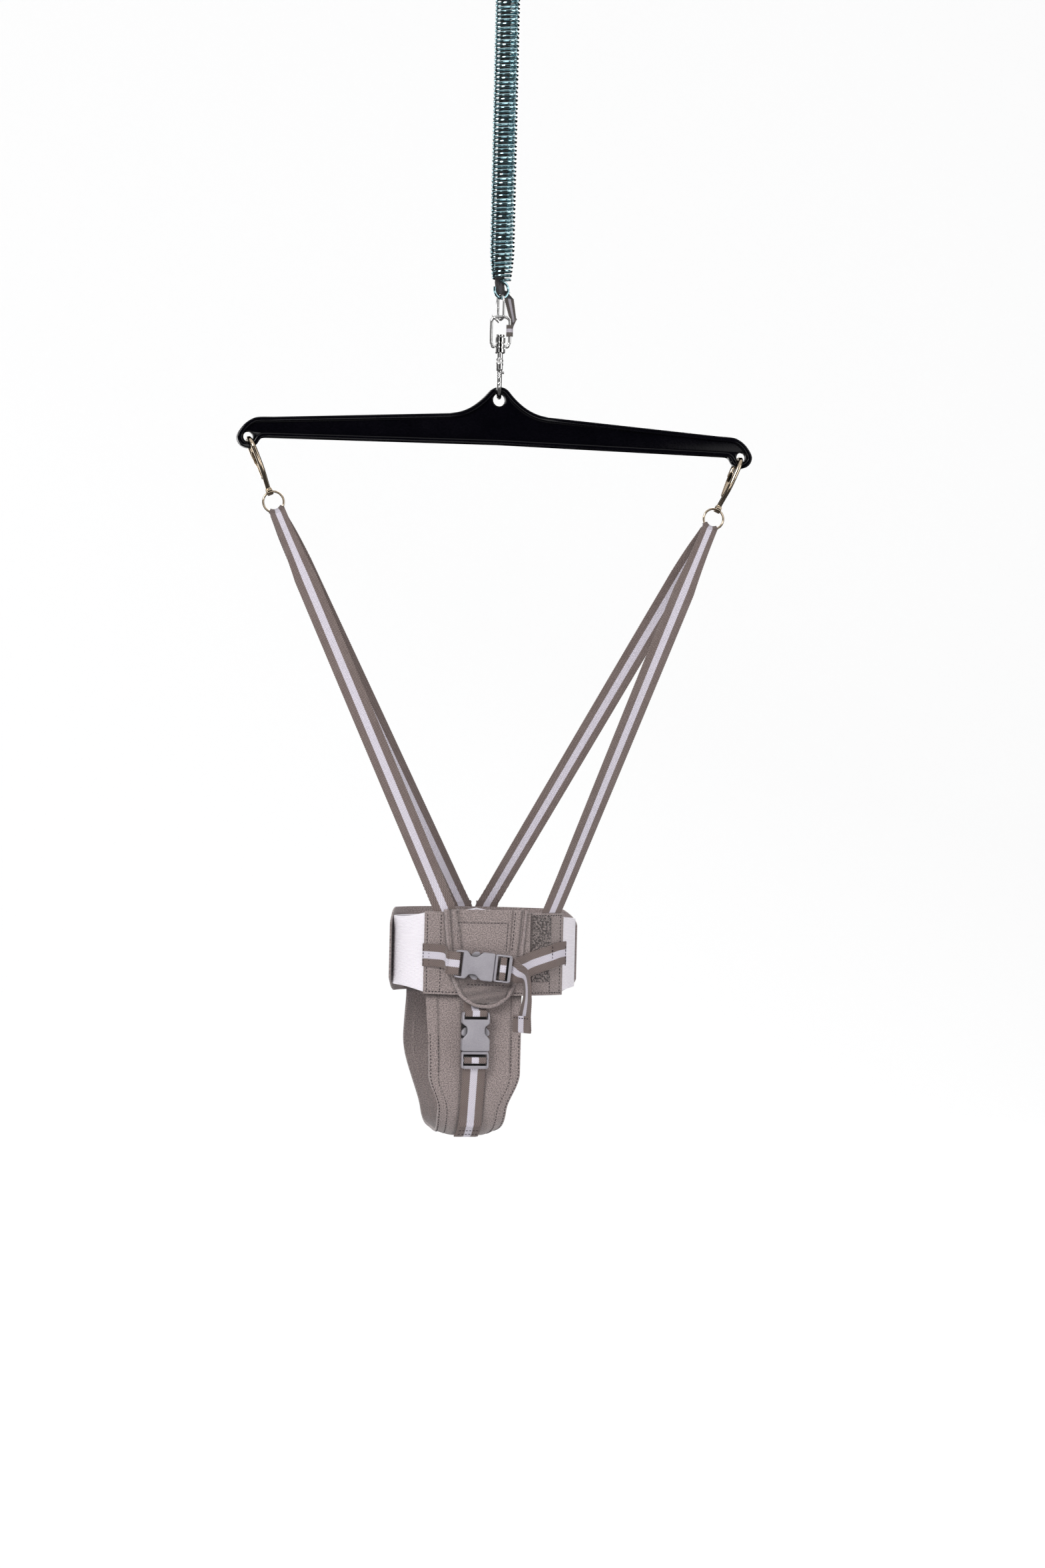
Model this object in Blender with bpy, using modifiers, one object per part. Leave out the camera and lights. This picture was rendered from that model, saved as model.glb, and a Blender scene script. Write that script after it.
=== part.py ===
"""Baby doorway jumper: door clamp, chain, bounce spring, swivel snap, spreader bar and harness.

Metres, +Z up. The origin is the centre of the clamp's grip on the door trim, X runs along the
spreader bar and the harness faces -Y. Every part below the clamp is placed from the one above it.
"""
import math

import bmesh
import bpy
from mathutils import Matrix, Vector

# Fits shared by all parts
SEAT_GAP = 0.0003
CUT_OVERRUN = 0.002
MERGE = 0.00001

# Door clamp
GRIP_WIDTH = 0.112
PAD_HEIGHT = 0.032
PAD_LENGTH = 0.034
PAD_THICKNESS = 0.006
PAD_PLATE_THICKNESS = 0.003
ARM_DROP = 0.105
ARM_HALF_WIDTH = 0.005
ARM_THICKNESS = 0.0036
TAIL_DROP = 0.048
BOLT_RADIUS = 0.003
BOLT_HEAD_RADIUS = 0.0062
BOLT_HEAD_THICKNESS = 0.0035
HANGER_THICKNESS = 0.003
HANGER_HALF_WIDTH = 0.0085
HANGER_DROP = 0.028
HANGER_HOLE_RADIUS = 0.004
TORSION_WIRE_RADIUS = 0.0008
TORSION_TURNS = 3
TORSION_LEG = 0.026

# Chain
CHAIN_LINKS = 3
CHAIN_WIRE_RADIUS = 0.0015
CHAIN_HALF_WIDTH = 0.0048
CHAIN_HEIGHT = 0.025

# Bounce spring and its hook loops
SPRING_COILS = 76
SPRING_PITCH = 0.0038
SPRING_WIRE_RADIUS = 0.0012
SPRING_RADIUS = 0.0103
SPRING_END_RADIUS = 0.0076
SPRING_TAPER_COILS = 8
SPRING_LOOP_RADIUS = 0.0076
SPRING_LOOP_ARC = math.radians(285)
LOOP_TURN = math.radians(25)
# Share of a turn in each lead-in, so that the top loop stands across the last chain link
LEAD_SHARE = (math.radians(270) - LOOP_TURN) / (2 * math.tau)

# Safety strap inside the spring
SAFETY_WIDTH = 0.010
SAFETY_THICKNESS = 0.0012
SAFETY_OFFSET = 0.0027

# Oval link
LINK_WIRE_RADIUS = 0.0011
LINK_HALF_WIDTH = 0.0042
LINK_HEIGHT = 0.0220

# Swivel bail, its jump ring and barrel
BAIL_WIRE_RADIUS = 0.0014
BAIL_HALF_WIDTH = 0.0083
BAIL_LEG = 0.0215
BAIL_TURN = math.radians(-12)
JUMP_RING_RADIUS = 0.0042
JUMP_RING_WIRE = 0.0008
BARREL_RADIUS = 0.0046
BARREL_HEIGHT = 0.0144
BARREL_DROP = 0.0186
BARREL_GROOVE = 0.0007

# Bolt snap
STEM_RADIUS = 0.0026
STEM_HEAD_RADIUS = 0.0038
STEM_HEAD_HEIGHT = 0.0024
SNAP_WIRE_RADIUS = 0.0022
SNAP_HOOK_RADIUS = 0.0105
SNAP_HEIGHT = 0.0222
SNAP_TURN = math.radians(-12)
HOUSING_RADIUS = 0.0033
HOUSING_HEIGHT = 0.0085
BOLT_PIN_RADIUS = 0.0021
BOLT_TRAVEL = 0.0050
KNOB_RADIUS = 0.0013
KNOB_REACH = 0.0042
SNAP_SPRING_WIRE = 0.0003
SNAP_SPRING_TURNS = 5

# Spreader bar
BAR_HALF_SPAN = 0.2263
BAR_HOLE_DROP = 0.0425
BAR_THICKNESS = 0.0100
BAR_END_RADIUS = 0.0100
BAR_EAR_RADIUS = 0.0116
BAR_TOP_DROP = 0.0110
BAR_TOP_FALL = 0.0145
BAR_DEPTH = 0.0292
BAR_BOTTOM_FALL = 0.0024
BAR_RIM = 0.0042
BAR_PANEL_DEPTH = 0.0026
BAR_EDGE_ROUND = 0.0012
BAR_WEB = BAR_THICKNESS - 2 * BAR_PANEL_DEPTH
CENTRE_HOLE_RADIUS = 0.0057
END_HOLE_RADIUS = 0.0044

# End hooks, gates and rings
HOOK_LEAN = math.radians(23)
HOOK_WIRE_RADIUS = 0.0022
HOOK_BEND_RADIUS = 0.0105
HOOK_LENGTH = 0.0520
HOOK_NOSE = 0.0070
HOOK_EYE_RADIUS = 0.0021
HOOK_EYE_WALL = 0.0013
HOOK_EYE_WIDTH = 0.0053
GATE_THICKNESS = 0.0007
GATE_WIDTH = 0.0040
GATE_RIVET_RADIUS = 0.0009
RING_RADIUS = 0.0092
RING_WIRE_RADIUS = 0.0010

# Webbing
WEBBING_WIDTH = 0.020
WEBBING_THICKNESS = 0.0014
RING_LOOP_WIDTH = 0.014
STRAP_TAB = 0.012
SEWN_GAP = 0.0004

# Belt
BELT_HALF_WIDTH = 0.0825
BELT_HALF_DEPTH = 0.0610
BELT_CENTRE_X = -0.0020
BELT_DROP = 0.4590
BELT_HEIGHT = 0.0730
BELT_SIDE_HEIGHT = 0.0610
BAND_THICKNESS = 0.0020
PANEL_THICKNESS = 0.0016
BAND_LEFT_END = 0.0600
BAND_RIGHT_END = 0.0500
LEFT_PANEL_LEFT = 0.0650
LEFT_PANEL_RIGHT = 0.0270
RIGHT_PANEL_LEFT = 0.0080
RIGHT_PANEL_RIGHT = 0.0600
PATCH_LEFT = 0.0285
PATCH_RIGHT = 0.0460
PATCH_THICKNESS = 0.0008
BACK_PANEL_OVERHANG = 0.0010
BACK_PANEL_EDGE_HEIGHT = 0.0490
FRONT_STRAP_X = 0.0490
REAR_STRAP_X = 0.0115

# Bib and its bound edge
BIB_CENTRE_X = -0.0135
BIB_HALF_WIDTH = 0.0335
BIB_OVERHANG = 0.0095
BIB_THICKNESS = 0.0020
BIB_TIP_HALF_WIDTH = 0.0070
BINDING_RADIUS = 0.0012

# Seat
SEAT_CENTRE_X = -0.0200
SEAT_HALF_WIDTH = 0.0410
SEAT_WAIST_HALF_WIDTH = 0.0275
SEAT_BACK_HALF_WIDTH = 0.0450
SEAT_DROP = 0.1260
SEAT_THICKNESS = 0.0024
SEAT_TUCK = 0.0560

# Side-release buckles, the same moulding twice
BUCKLE_LENGTH = 0.0500
BUCKLE_WIDTH = 0.0250
BUCKLE_THICKNESS = 0.0084
FEMALE_LENGTH = 0.0345
BUCKLE_BAR = 0.0026
BUCKLE_SLOT = 0.0038
BUCKLE_SLOT_WIDTH = 0.0212
CAVITY_WIDTH = 0.0200
CAVITY_HEIGHT = 0.0048
CAVITY_DEPTH = 0.0240
WINDOW_LENGTH = 0.0110
WINDOW_SETBACK = 0.0115
MALE_THICKNESS = 0.0056
TONGUE_WIDTH = 0.0050
TONGUE_HEIGHT = 0.0034
PRONG_LENGTH = 0.0210
PRONG_THICKNESS = 0.0022
PRONG_OFFSET = 0.0083
PRONG_HEIGHT = 0.0040
BARB_REACH = 0.0124
BARB_LENGTH = 0.0070
BUCKLE_EDGE = 0.0012
WAIST_CUT_RADIUS = 0.0120
WAIST_CUT_DEPTH = 0.0032
WAIST_BUCKLE_X = -0.0170
WAIST_BUCKLE_DROP = 0.0470
WAIST_BUCKLE_TILT = math.radians(10)
WAIST_BUCKLE_TURN = math.radians(-8)
CROTCH_BUCKLE_X = -0.0215
CROTCH_BUCKLE_OVERHANG = 0.0395
TAIL_DROP_LENGTH = 0.0500


def saddle(bend, wire, half_thickness):
    """How far the crown of a bent wire stands off the edges of the plate hole it hangs in."""
    return bend - math.sqrt((bend - wire) ** 2 - half_thickness ** 2) + SEAT_GAP


# Sizes that follow the belt's height
BACK_PANEL_HEIGHT = BELT_HEIGHT + BACK_PANEL_OVERHANG * 2
BIB_HEIGHT = BELT_HEIGHT + BIB_OVERHANG
CROTCH_BUCKLE_DROP = BELT_HEIGHT + CROTCH_BUCKLE_OVERHANG

# Places that follow from the sizes above
PIVOT_Z = -ARM_DROP
HANGER_HOLE_Z = PIVOT_Z - HANGER_DROP
CHAIN_TOP_Z = HANGER_HOLE_Z - HANGER_HOLE_RADIUS + saddle(CHAIN_HALF_WIDTH, CHAIN_WIRE_RADIUS, HANGER_THICKNESS / 2)
CHAIN_STEP = CHAIN_HEIGHT - 2 * CHAIN_WIRE_RADIUS - SEAT_GAP
CHAIN_END_Z = CHAIN_TOP_Z - (CHAIN_LINKS - 1) * CHAIN_STEP - CHAIN_HEIGHT
TOP_LOOP_Z = CHAIN_END_Z + CHAIN_WIRE_RADIUS + SPRING_WIRE_RADIUS + SEAT_GAP
COIL_TOP_Z = TOP_LOOP_Z - 2 * SPRING_LOOP_RADIUS
COIL_BOTTOM_Z = COIL_TOP_Z - SPRING_COILS * SPRING_PITCH
LOOP_BOTTOM_Z = COIL_BOTTOM_Z - 2 * SPRING_LOOP_RADIUS
LINK_TOP_Z = LOOP_BOTTOM_Z + SPRING_WIRE_RADIUS + LINK_WIRE_RADIUS + SEAT_GAP
LINK_BOTTOM_Z = LINK_TOP_Z - LINK_HEIGHT
BAIL_TOP_Z = LINK_BOTTOM_Z + LINK_WIRE_RADIUS + BAIL_WIRE_RADIUS + SEAT_GAP
BARREL_TOP_Z = BAIL_TOP_Z - BARREL_DROP
BARREL_BOTTOM_Z = BARREL_TOP_Z - BARREL_HEIGHT
HOOK_CENTRE_Z = BARREL_BOTTOM_Z - SNAP_HEIGHT - SNAP_WIRE_RADIUS * 3
BAR_PIVOT_Z = HOOK_CENTRE_Z - SNAP_HOOK_RADIUS
BAR_Z = BAR_PIVOT_Z - CENTRE_HOLE_RADIUS + saddle(SNAP_HOOK_RADIUS, SNAP_WIRE_RADIUS, BAR_WEB / 2)
END_HOLE_Z = BAR_Z - BAR_HOLE_DROP
BELT_TOP_Z = BAR_Z - BELT_DROP
BELT_MID_Z = BELT_TOP_Z - BELT_HEIGHT / 2
BELT_BOTTOM_Z = BELT_TOP_Z - BELT_HEIGHT

# Layers of the front of the belt, as heights above the band's outer face
RIGHT_PANEL_LEVEL = SEAT_GAP + PANEL_THICKNESS / 2
LEFT_PANEL_LEVEL = RIGHT_PANEL_LEVEL + PANEL_THICKNESS + SEAT_GAP
PATCH_LEVEL = SEAT_GAP * 2 + PANEL_THICKNESS + PATCH_THICKNESS / 2
BIB_LEVEL = LEFT_PANEL_LEVEL + PANEL_THICKNESS / 2 + SEAT_GAP + BIB_THICKNESS / 2
BIB_FACE = BIB_LEVEL + BIB_THICKNESS / 2
BINDING_LEVEL = LEFT_PANEL_LEVEL + PANEL_THICKNESS / 2 + SEAT_GAP + BINDING_RADIUS
BUCKLE_LEVEL = BINDING_LEVEL + BINDING_RADIUS + SEAT_GAP * 2 + BUCKLE_THICKNESS / 2
SEAT_LEVEL = -BAND_THICKNESS - SEAT_GAP * 2 - SEAT_THICKNESS / 2
BACK_LEVEL = SEAT_GAP + PANEL_THICKNESS / 2

FRONT = Vector((0, -1, 0))
UP = Vector((0, 0, 1))
ACROSS = Vector((1, 0, 0))


# Scene and materials

def clear_scene():
    for thing in list(bpy.data.objects):
        bpy.data.objects.remove(thing, do_unlink=True)


def make_collection(name):
    group = bpy.data.collections.new(name)
    bpy.context.scene.collection.children.link(group)
    return group


def make_material(name, colour, roughness, metallic=0.0):
    material = bpy.data.materials.new(name)
    material.use_nodes = True
    shader = material.node_tree.nodes["Principled BSDF"]
    shader.inputs["Base Color"].default_value = (*colour, 1.0)
    shader.inputs["Roughness"].default_value = roughness
    shader.inputs["Metallic"].default_value = metallic
    return material


clear_scene()
PARTS = make_collection("doorway_jumper")
CUTTERS = make_collection("cutters")

ZINC = make_material("zinc_plated_steel", (0.55, 0.63, 0.66), 0.28, 1.0)
CHROME = make_material("chrome", (0.78, 0.77, 0.76), 0.12, 1.0)
NICKEL = make_material("nickel_plate", (0.74, 0.69, 0.62), 0.18, 1.0)
BLACK_STEEL = make_material("black_painted_steel", (0.03, 0.03, 0.032), 0.45, 0.2)
BLACK_PLASTIC = make_material("gloss_black_plastic", (0.008, 0.007, 0.014), 0.18)
GREY_PLASTIC = make_material("grey_plastic", (0.30, 0.30, 0.32), 0.42)
RUBBER = make_material("white_rubber", (0.72, 0.72, 0.70), 0.75)
WEBBING = make_material("striped_webbing", (0.19, 0.175, 0.16), 0.85)
TWILL = make_material("grey_twill", (0.26, 0.245, 0.23), 0.9)
RIBBED = make_material("white_ribbed_cotton", (0.86, 0.85, 0.89), 0.85)
FUZZ = make_material("grey_loop_pile", (0.16, 0.15, 0.145), 0.95)


# Modelling tools

def put(name, mesh, material, place=Matrix.Identity(4)):
    thing = bpy.data.objects.new(name, mesh)
    thing.matrix_world = place
    mesh.materials.clear()
    mesh.materials.append(material)
    PARTS.objects.link(thing)
    return thing


def finish_mesh(bm, name):
    bmesh.ops.recalc_face_normals(bm, faces=bm.faces[:])
    mesh = bpy.data.meshes.new(name)
    bm.to_mesh(mesh)
    bm.free()
    return mesh


def shade(thing, angle=math.radians(35)):
    thing.data.shade_smooth()
    thing.data.set_sharp_from_angle(angle=angle)
    return thing


def add_bevel(thing, width, segments=2):
    bevel = thing.modifiers.new("edges", "BEVEL")
    bevel.width = width
    bevel.segments = segments
    bevel.limit_method = "ANGLE"
    bevel.angle_limit = math.radians(40)
    bevel.use_clamp_overlap = True
    return bevel


def baked(thing):
    """Return the evaluated mesh of an object with loose caps welded."""
    depsgraph = bpy.context.evaluated_depsgraph_get()
    mesh = bpy.data.meshes.new_from_object(thing.evaluated_get(depsgraph))
    bm = bmesh.new()
    bm.from_mesh(mesh)
    bmesh.ops.remove_doubles(bm, verts=bm.verts[:], dist=MERGE)
    bmesh.ops.recalc_face_normals(bm, faces=bm.faces[:])
    bm.to_mesh(mesh)
    bm.free()
    return mesh


def rod_curve(name, points, radius, sides_level=2, closed=False):
    curve = bpy.data.curves.new(name, "CURVE")
    curve.dimensions = "3D"
    curve.bevel_depth = radius
    curve.bevel_resolution = sides_level
    curve.use_fill_caps = True
    spline = curve.splines.new("POLY")
    spline.points.add(len(points) - 1)
    for slot, point in zip(spline.points, points):
        slot.co = (*point, 1.0)
    spline.use_cyclic_u = closed
    return curve


def make_rod(name, points, radius, material, sides_level=2, closed=False, place=Matrix.Identity(4)):
    curve = rod_curve(name, points, radius, sides_level, closed)
    thing = bpy.data.objects.new(name, curve)
    thing.matrix_world = place
    curve.materials.append(material)
    PARTS.objects.link(thing)
    return thing


def meshed_rod(name, points, radius, sides_level=2, closed=False):
    """A rod as a welded mesh, ready for a Boolean."""
    curve = rod_curve(name + "_guide", points, radius, sides_level, closed)
    guide = bpy.data.objects.new(name + "_guide", curve)
    CUTTERS.objects.link(guide)
    bpy.context.view_layer.update()
    mesh = baked(guide)
    bpy.data.objects.remove(guide, do_unlink=True)
    return mesh


def make_cutter(name, mesh, place=Matrix.Identity(4)):
    cutter = bpy.data.objects.new(name, mesh)
    cutter.matrix_world = place
    cutter.hide_render = True
    cutter.display_type = "WIRE"
    CUTTERS.objects.link(cutter)
    return cutter


def join(thing, mesh, operation="UNION", place=Matrix.Identity(4)):
    cutter = make_cutter(thing.name + "_tool", mesh, place)
    boolean = thing.modifiers.new(operation.lower(), "BOOLEAN")
    boolean.operation = operation
    boolean.object = cutter
    boolean.solver = "EXACT"
    return boolean


def box_mesh(name, low, high):
    low, high = Vector(low), Vector(high)
    bm = bmesh.new()
    bmesh.ops.create_cube(bm, size=1)
    for vert in bm.verts:
        share = vert.co + Vector((1, 1, 1)) / 2
        vert.co = Vector(a + (b - a) * s for a, b, s in zip(low, high, share))
    return finish_mesh(bm, name)


def cylinder_mesh(name, radius, start, end, sides=20):
    start, end = Vector(start), Vector(end)
    bm = bmesh.new()
    turn = (end - start).to_track_quat("Z", "Y").to_matrix().to_4x4()
    place = Matrix.Translation((start + end) / 2) @ turn
    bmesh.ops.create_cone(bm, cap_ends=True, segments=sides, radius1=radius, radius2=radius,
                          depth=(end - start).length, matrix=place)
    return finish_mesh(bm, name)


def turned_mesh(name, profile, sides=20, closed=False):
    """Spin an (radius, height) profile round Z. An open profile starts and ends on the axis."""
    bm = bmesh.new()
    verts = [bm.verts.new((radius, 0, height)) for radius, height in profile]
    edges = [bm.edges.new(pair) for pair in zip(verts, verts[1:])]
    if closed:
        edges.append(bm.edges.new((verts[-1], verts[0])))
    bmesh.ops.spin(bm, geom=verts + edges, axis=(0, 0, 1), cent=(0, 0, 0),
                   angle=math.tau, steps=sides, use_merge=True)
    bmesh.ops.remove_doubles(bm, verts=bm.verts[:], dist=MERGE)
    return finish_mesh(bm, name)


def plate_mesh(name, outline, thickness, holes=()):
    """A flat outline in XY, extruded half its thickness each way along Z."""
    curve = bpy.data.curves.new(name + "_outline", "CURVE")
    curve.dimensions = "2D"
    curve.fill_mode = "BOTH"
    curve.extrude = thickness / 2
    for ring in (outline, *holes):
        spline = curve.splines.new("POLY")
        spline.points.add(len(ring) - 1)
        for slot, (across, along) in zip(spline.points, ring):
            slot.co = (across, along, 0, 1)
        spline.use_cyclic_u = True
    guide = bpy.data.objects.new(name + "_outline", curve)
    CUTTERS.objects.link(guide)
    bpy.context.view_layer.update()
    mesh = baked(guide)
    bpy.data.objects.remove(guide, do_unlink=True)
    return mesh


def circle(radius, count=20, centre=(0, 0)):
    turns = [math.tau * step / count for step in range(count)]
    return [(centre[0] + radius * math.cos(a), centre[1] + radius * math.sin(a)) for a in turns]


def arc(centre, radius, start, end, count):
    """Points of an arc in a plane, from one angle to another in degrees."""
    turns = [math.radians(start + (end - start) * step / count) for step in range(count + 1)]
    return [(centre[0] + radius * math.cos(a), centre[1] + radius * math.sin(a)) for a in turns]


def smooth_path(points, count):
    """Even samples of a Catmull-Rom curve through the given points."""
    points = [Vector(point) for point in points]
    padded = [points[0] * 2 - points[1]] + points + [points[-1] * 2 - points[-2]]
    dense = []
    fine = 12
    for a, b, c, d in zip(padded, padded[1:], padded[2:], padded[3:]):
        for step in range(fine):
            t = step / fine
            dense.append(((b * 2) + (c - a) * t + (a * 2 - b * 5 + c * 4 - d) * t * t
                          + (b * 3 - a - c * 3 + d) * t ** 3) / 2)
    dense.append(points[-1])
    lengths = [0.0]
    for a, b in zip(dense, dense[1:]):
        lengths.append(lengths[-1] + (b - a).length)
    samples = []
    index = 0
    for step in range(count + 1):
        goal = lengths[-1] * step / count
        while index < len(dense) - 2 and lengths[index + 1] < goal:
            index += 1
        span = lengths[index + 1] - lengths[index]
        share = (goal - lengths[index]) / span if span else 0
        samples.append(dense[index].lerp(dense[index + 1], share))
    return samples


def sheet(name, shape, steps, across, thickness, material):
    """A grid bent to shape(u, v), u and v from 0 to 1, with a wall added evenly both ways."""
    bm = bmesh.new()
    bmesh.ops.create_grid(bm, x_segments=steps, y_segments=across, size=0.5)
    for vert in bm.verts:
        vert.co = shape(vert.co.x + 1 / 2, vert.co.y + 1 / 2)
    mesh = bpy.data.meshes.new(name)
    bm.to_mesh(mesh)
    bm.free()
    thing = put(name, mesh, material)
    wall = thing.modifiers.new("wall", "SOLIDIFY")
    wall.thickness = thickness
    wall.offset = 0
    wall.use_even_offset = True
    return thing


def webbing(name, stations, material=WEBBING, thickness=WEBBING_THICKNESS, across=1):
    """A strap along stations of (point, width direction, width), one column of the grid at each."""
    last = len(stations) - 1

    def shape(u, v):
        point, side, width = stations[round(u * last)]
        return Vector(point) + Vector(side).normalized() * width * (v - 1 / 2)

    return sheet(name, shape, last, across, thickness, material)


def eased(stations, steps):
    """More stations between the given ones, on a smooth path with evenly turning widths."""
    points = [Vector(station[0]) for station in stations]
    padded = [points[0] * 2 - points[1]] + points + [points[-1] * 2 - points[-2]]
    result = []
    for index in range(len(stations) - 1):
        a, b, c, d = padded[index:index + 4]
        (_, side_a, wide_a), (_, side_b, wide_b) = stations[index:index + 2]
        for step in range(steps):
            t = step / steps
            point = ((b * 2) + (c - a) * t + (a * 2 - b * 5 + c * 4 - d) * t * t
                     + (b * 3 - a - c * 3 + d) * t ** 3) / 2
            side = Vector(side_a).normalized().lerp(Vector(side_b).normalized(), t)
            result.append((point, side, wide_a + (wide_b - wide_a) * t))
    result.append(stations[-1])
    return result


# Door clamp

def arm_outline():
    """The arm's flat outline in (Y, Z) about the pivot: pad end, bowed shank, boss and tail."""
    reach = GRIP_WIDTH / 2 + PAD_THICKNESS + SEAT_GAP + PAD_PLATE_THICKNESS / 2 + ARM_HALF_WIDTH
    shank_shares = [(1.00, 1.13), (1.01, 0.85), (0.97, 0.55), (0.74, 0.24), (0.46, 0.11), (0.22, 0.045),
                    (0.09, 0.022), (0.012, 0.001)]
    tail_shares = [(-0.018, 0.11), (0.014, 0.24), (0.115, 0.40), (0.256, 0.63), (0.34, 0.83), (0.37, 1.0)]
    path = [(-reach * y, ARM_DROP * z, 0) for y, z in shank_shares]
    path += [(-reach * y, -TAIL_DROP * z, 0) for y, z in tail_shares]
    spine = [Vector(station[0]) for station in eased([(point, UP, 1) for point in path], 3)]
    left, right = [], []
    for index, point in enumerate(spine):
        ahead = spine[min(index + 1, len(spine) - 1)]
        behind = spine[max(index - 1, 0)]
        along = (ahead - behind).normalized()
        side = Vector((-along.y, along.x, 0)) * ARM_HALF_WIDTH
        left.append((point + side)[:2])
        right.append((point - side)[:2])
    return left + right[::-1]


def upright(turn=0.0):
    """Turn a flat plate drawn in XY so that its X runs along Y and its Y runs up."""
    stand = Matrix(((0, 0, 1, 0), (1, 0, 0, 0), (0, 1, 0, 0), (0, 0, 0, 1)))
    return Matrix.Rotation(turn, 4, "Z") @ stand


def clamp_arm(name, side):
    shift = -side * (HANGER_THICKNESS / 2 + SEAT_GAP + ARM_THICKNESS / 2)
    turn = 0.0 if side > 0 else math.pi
    place = Matrix.Translation((shift, 0, PIVOT_Z)) @ upright(turn)
    boss = circle(BOLT_RADIUS + SEAT_GAP, 16)
    arm = put(name, plate_mesh(name, arm_outline(), ARM_THICKNESS, [boss]), BLACK_STEEL, place)
    face = GRIP_WIDTH / 2 + PAD_THICKNESS + SEAT_GAP
    low = (-side * shift - PAD_LENGTH / 2, -face - PAD_PLATE_THICKNESS, -PAD_HEIGHT / 2)
    high = (-side * shift + PAD_LENGTH / 2, -face, PAD_HEIGHT / 2)
    plate = box_mesh(name + "_plate", low, high)
    set_back = Matrix.Rotation(turn, 4, "Z")
    spin = Matrix.Translation((shift, 0, 0)) @ set_back
    join(arm, plate, "UNION", spin)
    return arm


def clamp_pad(name, side):
    near = GRIP_WIDTH / 2
    low = (-PAD_LENGTH / 2, near, -PAD_HEIGHT / 2)
    high = (PAD_LENGTH / 2, near + PAD_THICKNESS, PAD_HEIGHT / 2)
    place = Matrix.Rotation(math.pi, 4, "Z") if side > 0 else Matrix.Identity(4)
    pad = put(name, box_mesh(name, low, high), RUBBER, place)
    add_bevel(pad, PAD_THICKNESS / 5, 2)
    return pad


def clamp_bolt():
    reach = HANGER_THICKNESS / 2 + SEAT_GAP + ARM_THICKNESS + SEAT_GAP
    coil_room = (TORSION_TURNS + 1) * TORSION_WIRE_RADIUS * 3
    start = -reach - BOLT_HEAD_THICKNESS
    end = reach + coil_room + BOLT_HEAD_THICKNESS + CUT_OVERRUN
    profile = [(0, start), (BOLT_HEAD_RADIUS, start), (BOLT_HEAD_RADIUS, -reach),
               (BOLT_RADIUS, -reach), (BOLT_RADIUS, end), (0, end)]
    along_x = Matrix.Translation((0, 0, PIVOT_Z)) @ Matrix.Rotation(math.pi / 2, 4, "Y")
    shade(put("clamp_pivot_bolt", turned_mesh("clamp_pivot_bolt", profile, 16), ZINC, along_x))
    nut = plate_mesh("clamp_pivot_nut", circle(BOLT_HEAD_RADIUS, 6), BOLT_HEAD_THICKNESS,
                     [circle(BOLT_RADIUS + SEAT_GAP, 16)])
    nut_at = reach + coil_room + BOLT_HEAD_THICKNESS / 2
    put("clamp_pivot_nut", nut, ZINC, Matrix.Translation((nut_at, 0, PIVOT_Z)) @ along_x.to_3x3().to_4x4())
    coil_radius = BOLT_RADIUS + SEAT_GAP + TORSION_WIRE_RADIUS
    first = reach + TORSION_WIRE_RADIUS
    steps = TORSION_TURNS * 10
    points = [Vector((first, -coil_radius, TORSION_LEG))]
    for step in range(steps + 1):
        angle = math.pi + math.tau * TORSION_TURNS * step / steps
        across = first + TORSION_WIRE_RADIUS * 3 * TORSION_TURNS * step / steps
        points.append(Vector((across, coil_radius * math.cos(angle), coil_radius * math.sin(angle))))
    points.append(Vector((points[-1].x, -coil_radius, -TORSION_LEG)))
    make_rod("clamp_torsion_spring", points, TORSION_WIRE_RADIUS, ZINC, 1,
             place=Matrix.Translation((0, 0, PIVOT_Z)))


def clamp_hanger():
    drop = HANGER_DROP
    outline = arc((0, 0), HANGER_HALF_WIDTH, 0, 180, 10)
    outline += arc((0, -drop), HANGER_HALF_WIDTH, 180, 360, 10)
    holes = [circle(BOLT_RADIUS + SEAT_GAP, 16), circle(HANGER_HOLE_RADIUS, 16, (0, -drop))]
    put("clamp_hanger", plate_mesh("clamp_hanger", outline, HANGER_THICKNESS, holes), ZINC,
        Matrix.Translation((0, 0, PIVOT_Z)) @ upright())


# Links and rings

def stadium(half_width, height, arc_steps=5):
    """A link's closed centreline in XZ, its top at the origin."""
    top = arc((0, -half_width), half_width, 0, 180, arc_steps)
    bottom = arc((0, half_width - height), half_width, 180, 360, arc_steps)
    return [Vector((x, 0, z)) for x, z in top + bottom]


def chain():
    for index in range(CHAIN_LINKS):
        turn = 0.0 if index % 2 == 0 else math.pi / 2
        drop = CHAIN_TOP_Z - index * CHAIN_STEP
        place = Matrix.Translation((0, 0, drop)) @ Matrix.Rotation(turn, 4, "Z")
        make_rod(f"chain_link_{index + 1}", stadium(CHAIN_HALF_WIDTH, CHAIN_HEIGHT),
                 CHAIN_WIRE_RADIUS, ZINC, 1, True, place)


def oval_link():
    place = Matrix.Translation((0, 0, LINK_TOP_Z)) @ Matrix.Rotation(LOOP_TURN + math.pi / 2, 4, "Z")
    make_rod("oval_link", stadium(LINK_HALF_WIDTH, LINK_HEIGHT, 7), LINK_WIRE_RADIUS, CHROME, 2, True, place)


# Bounce spring

def coil_radius(turn):
    """Radius of the winding at a number of turns from the top, drawn in at both ends."""
    edge = min(turn, SPRING_COILS - turn)
    share = min(max(edge / SPRING_TAPER_COILS, 0), 1)
    share = math.sin(share * math.pi / 2)
    return SPRING_END_RADIUS + (SPRING_RADIUS - SPRING_END_RADIUS) * share


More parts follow.
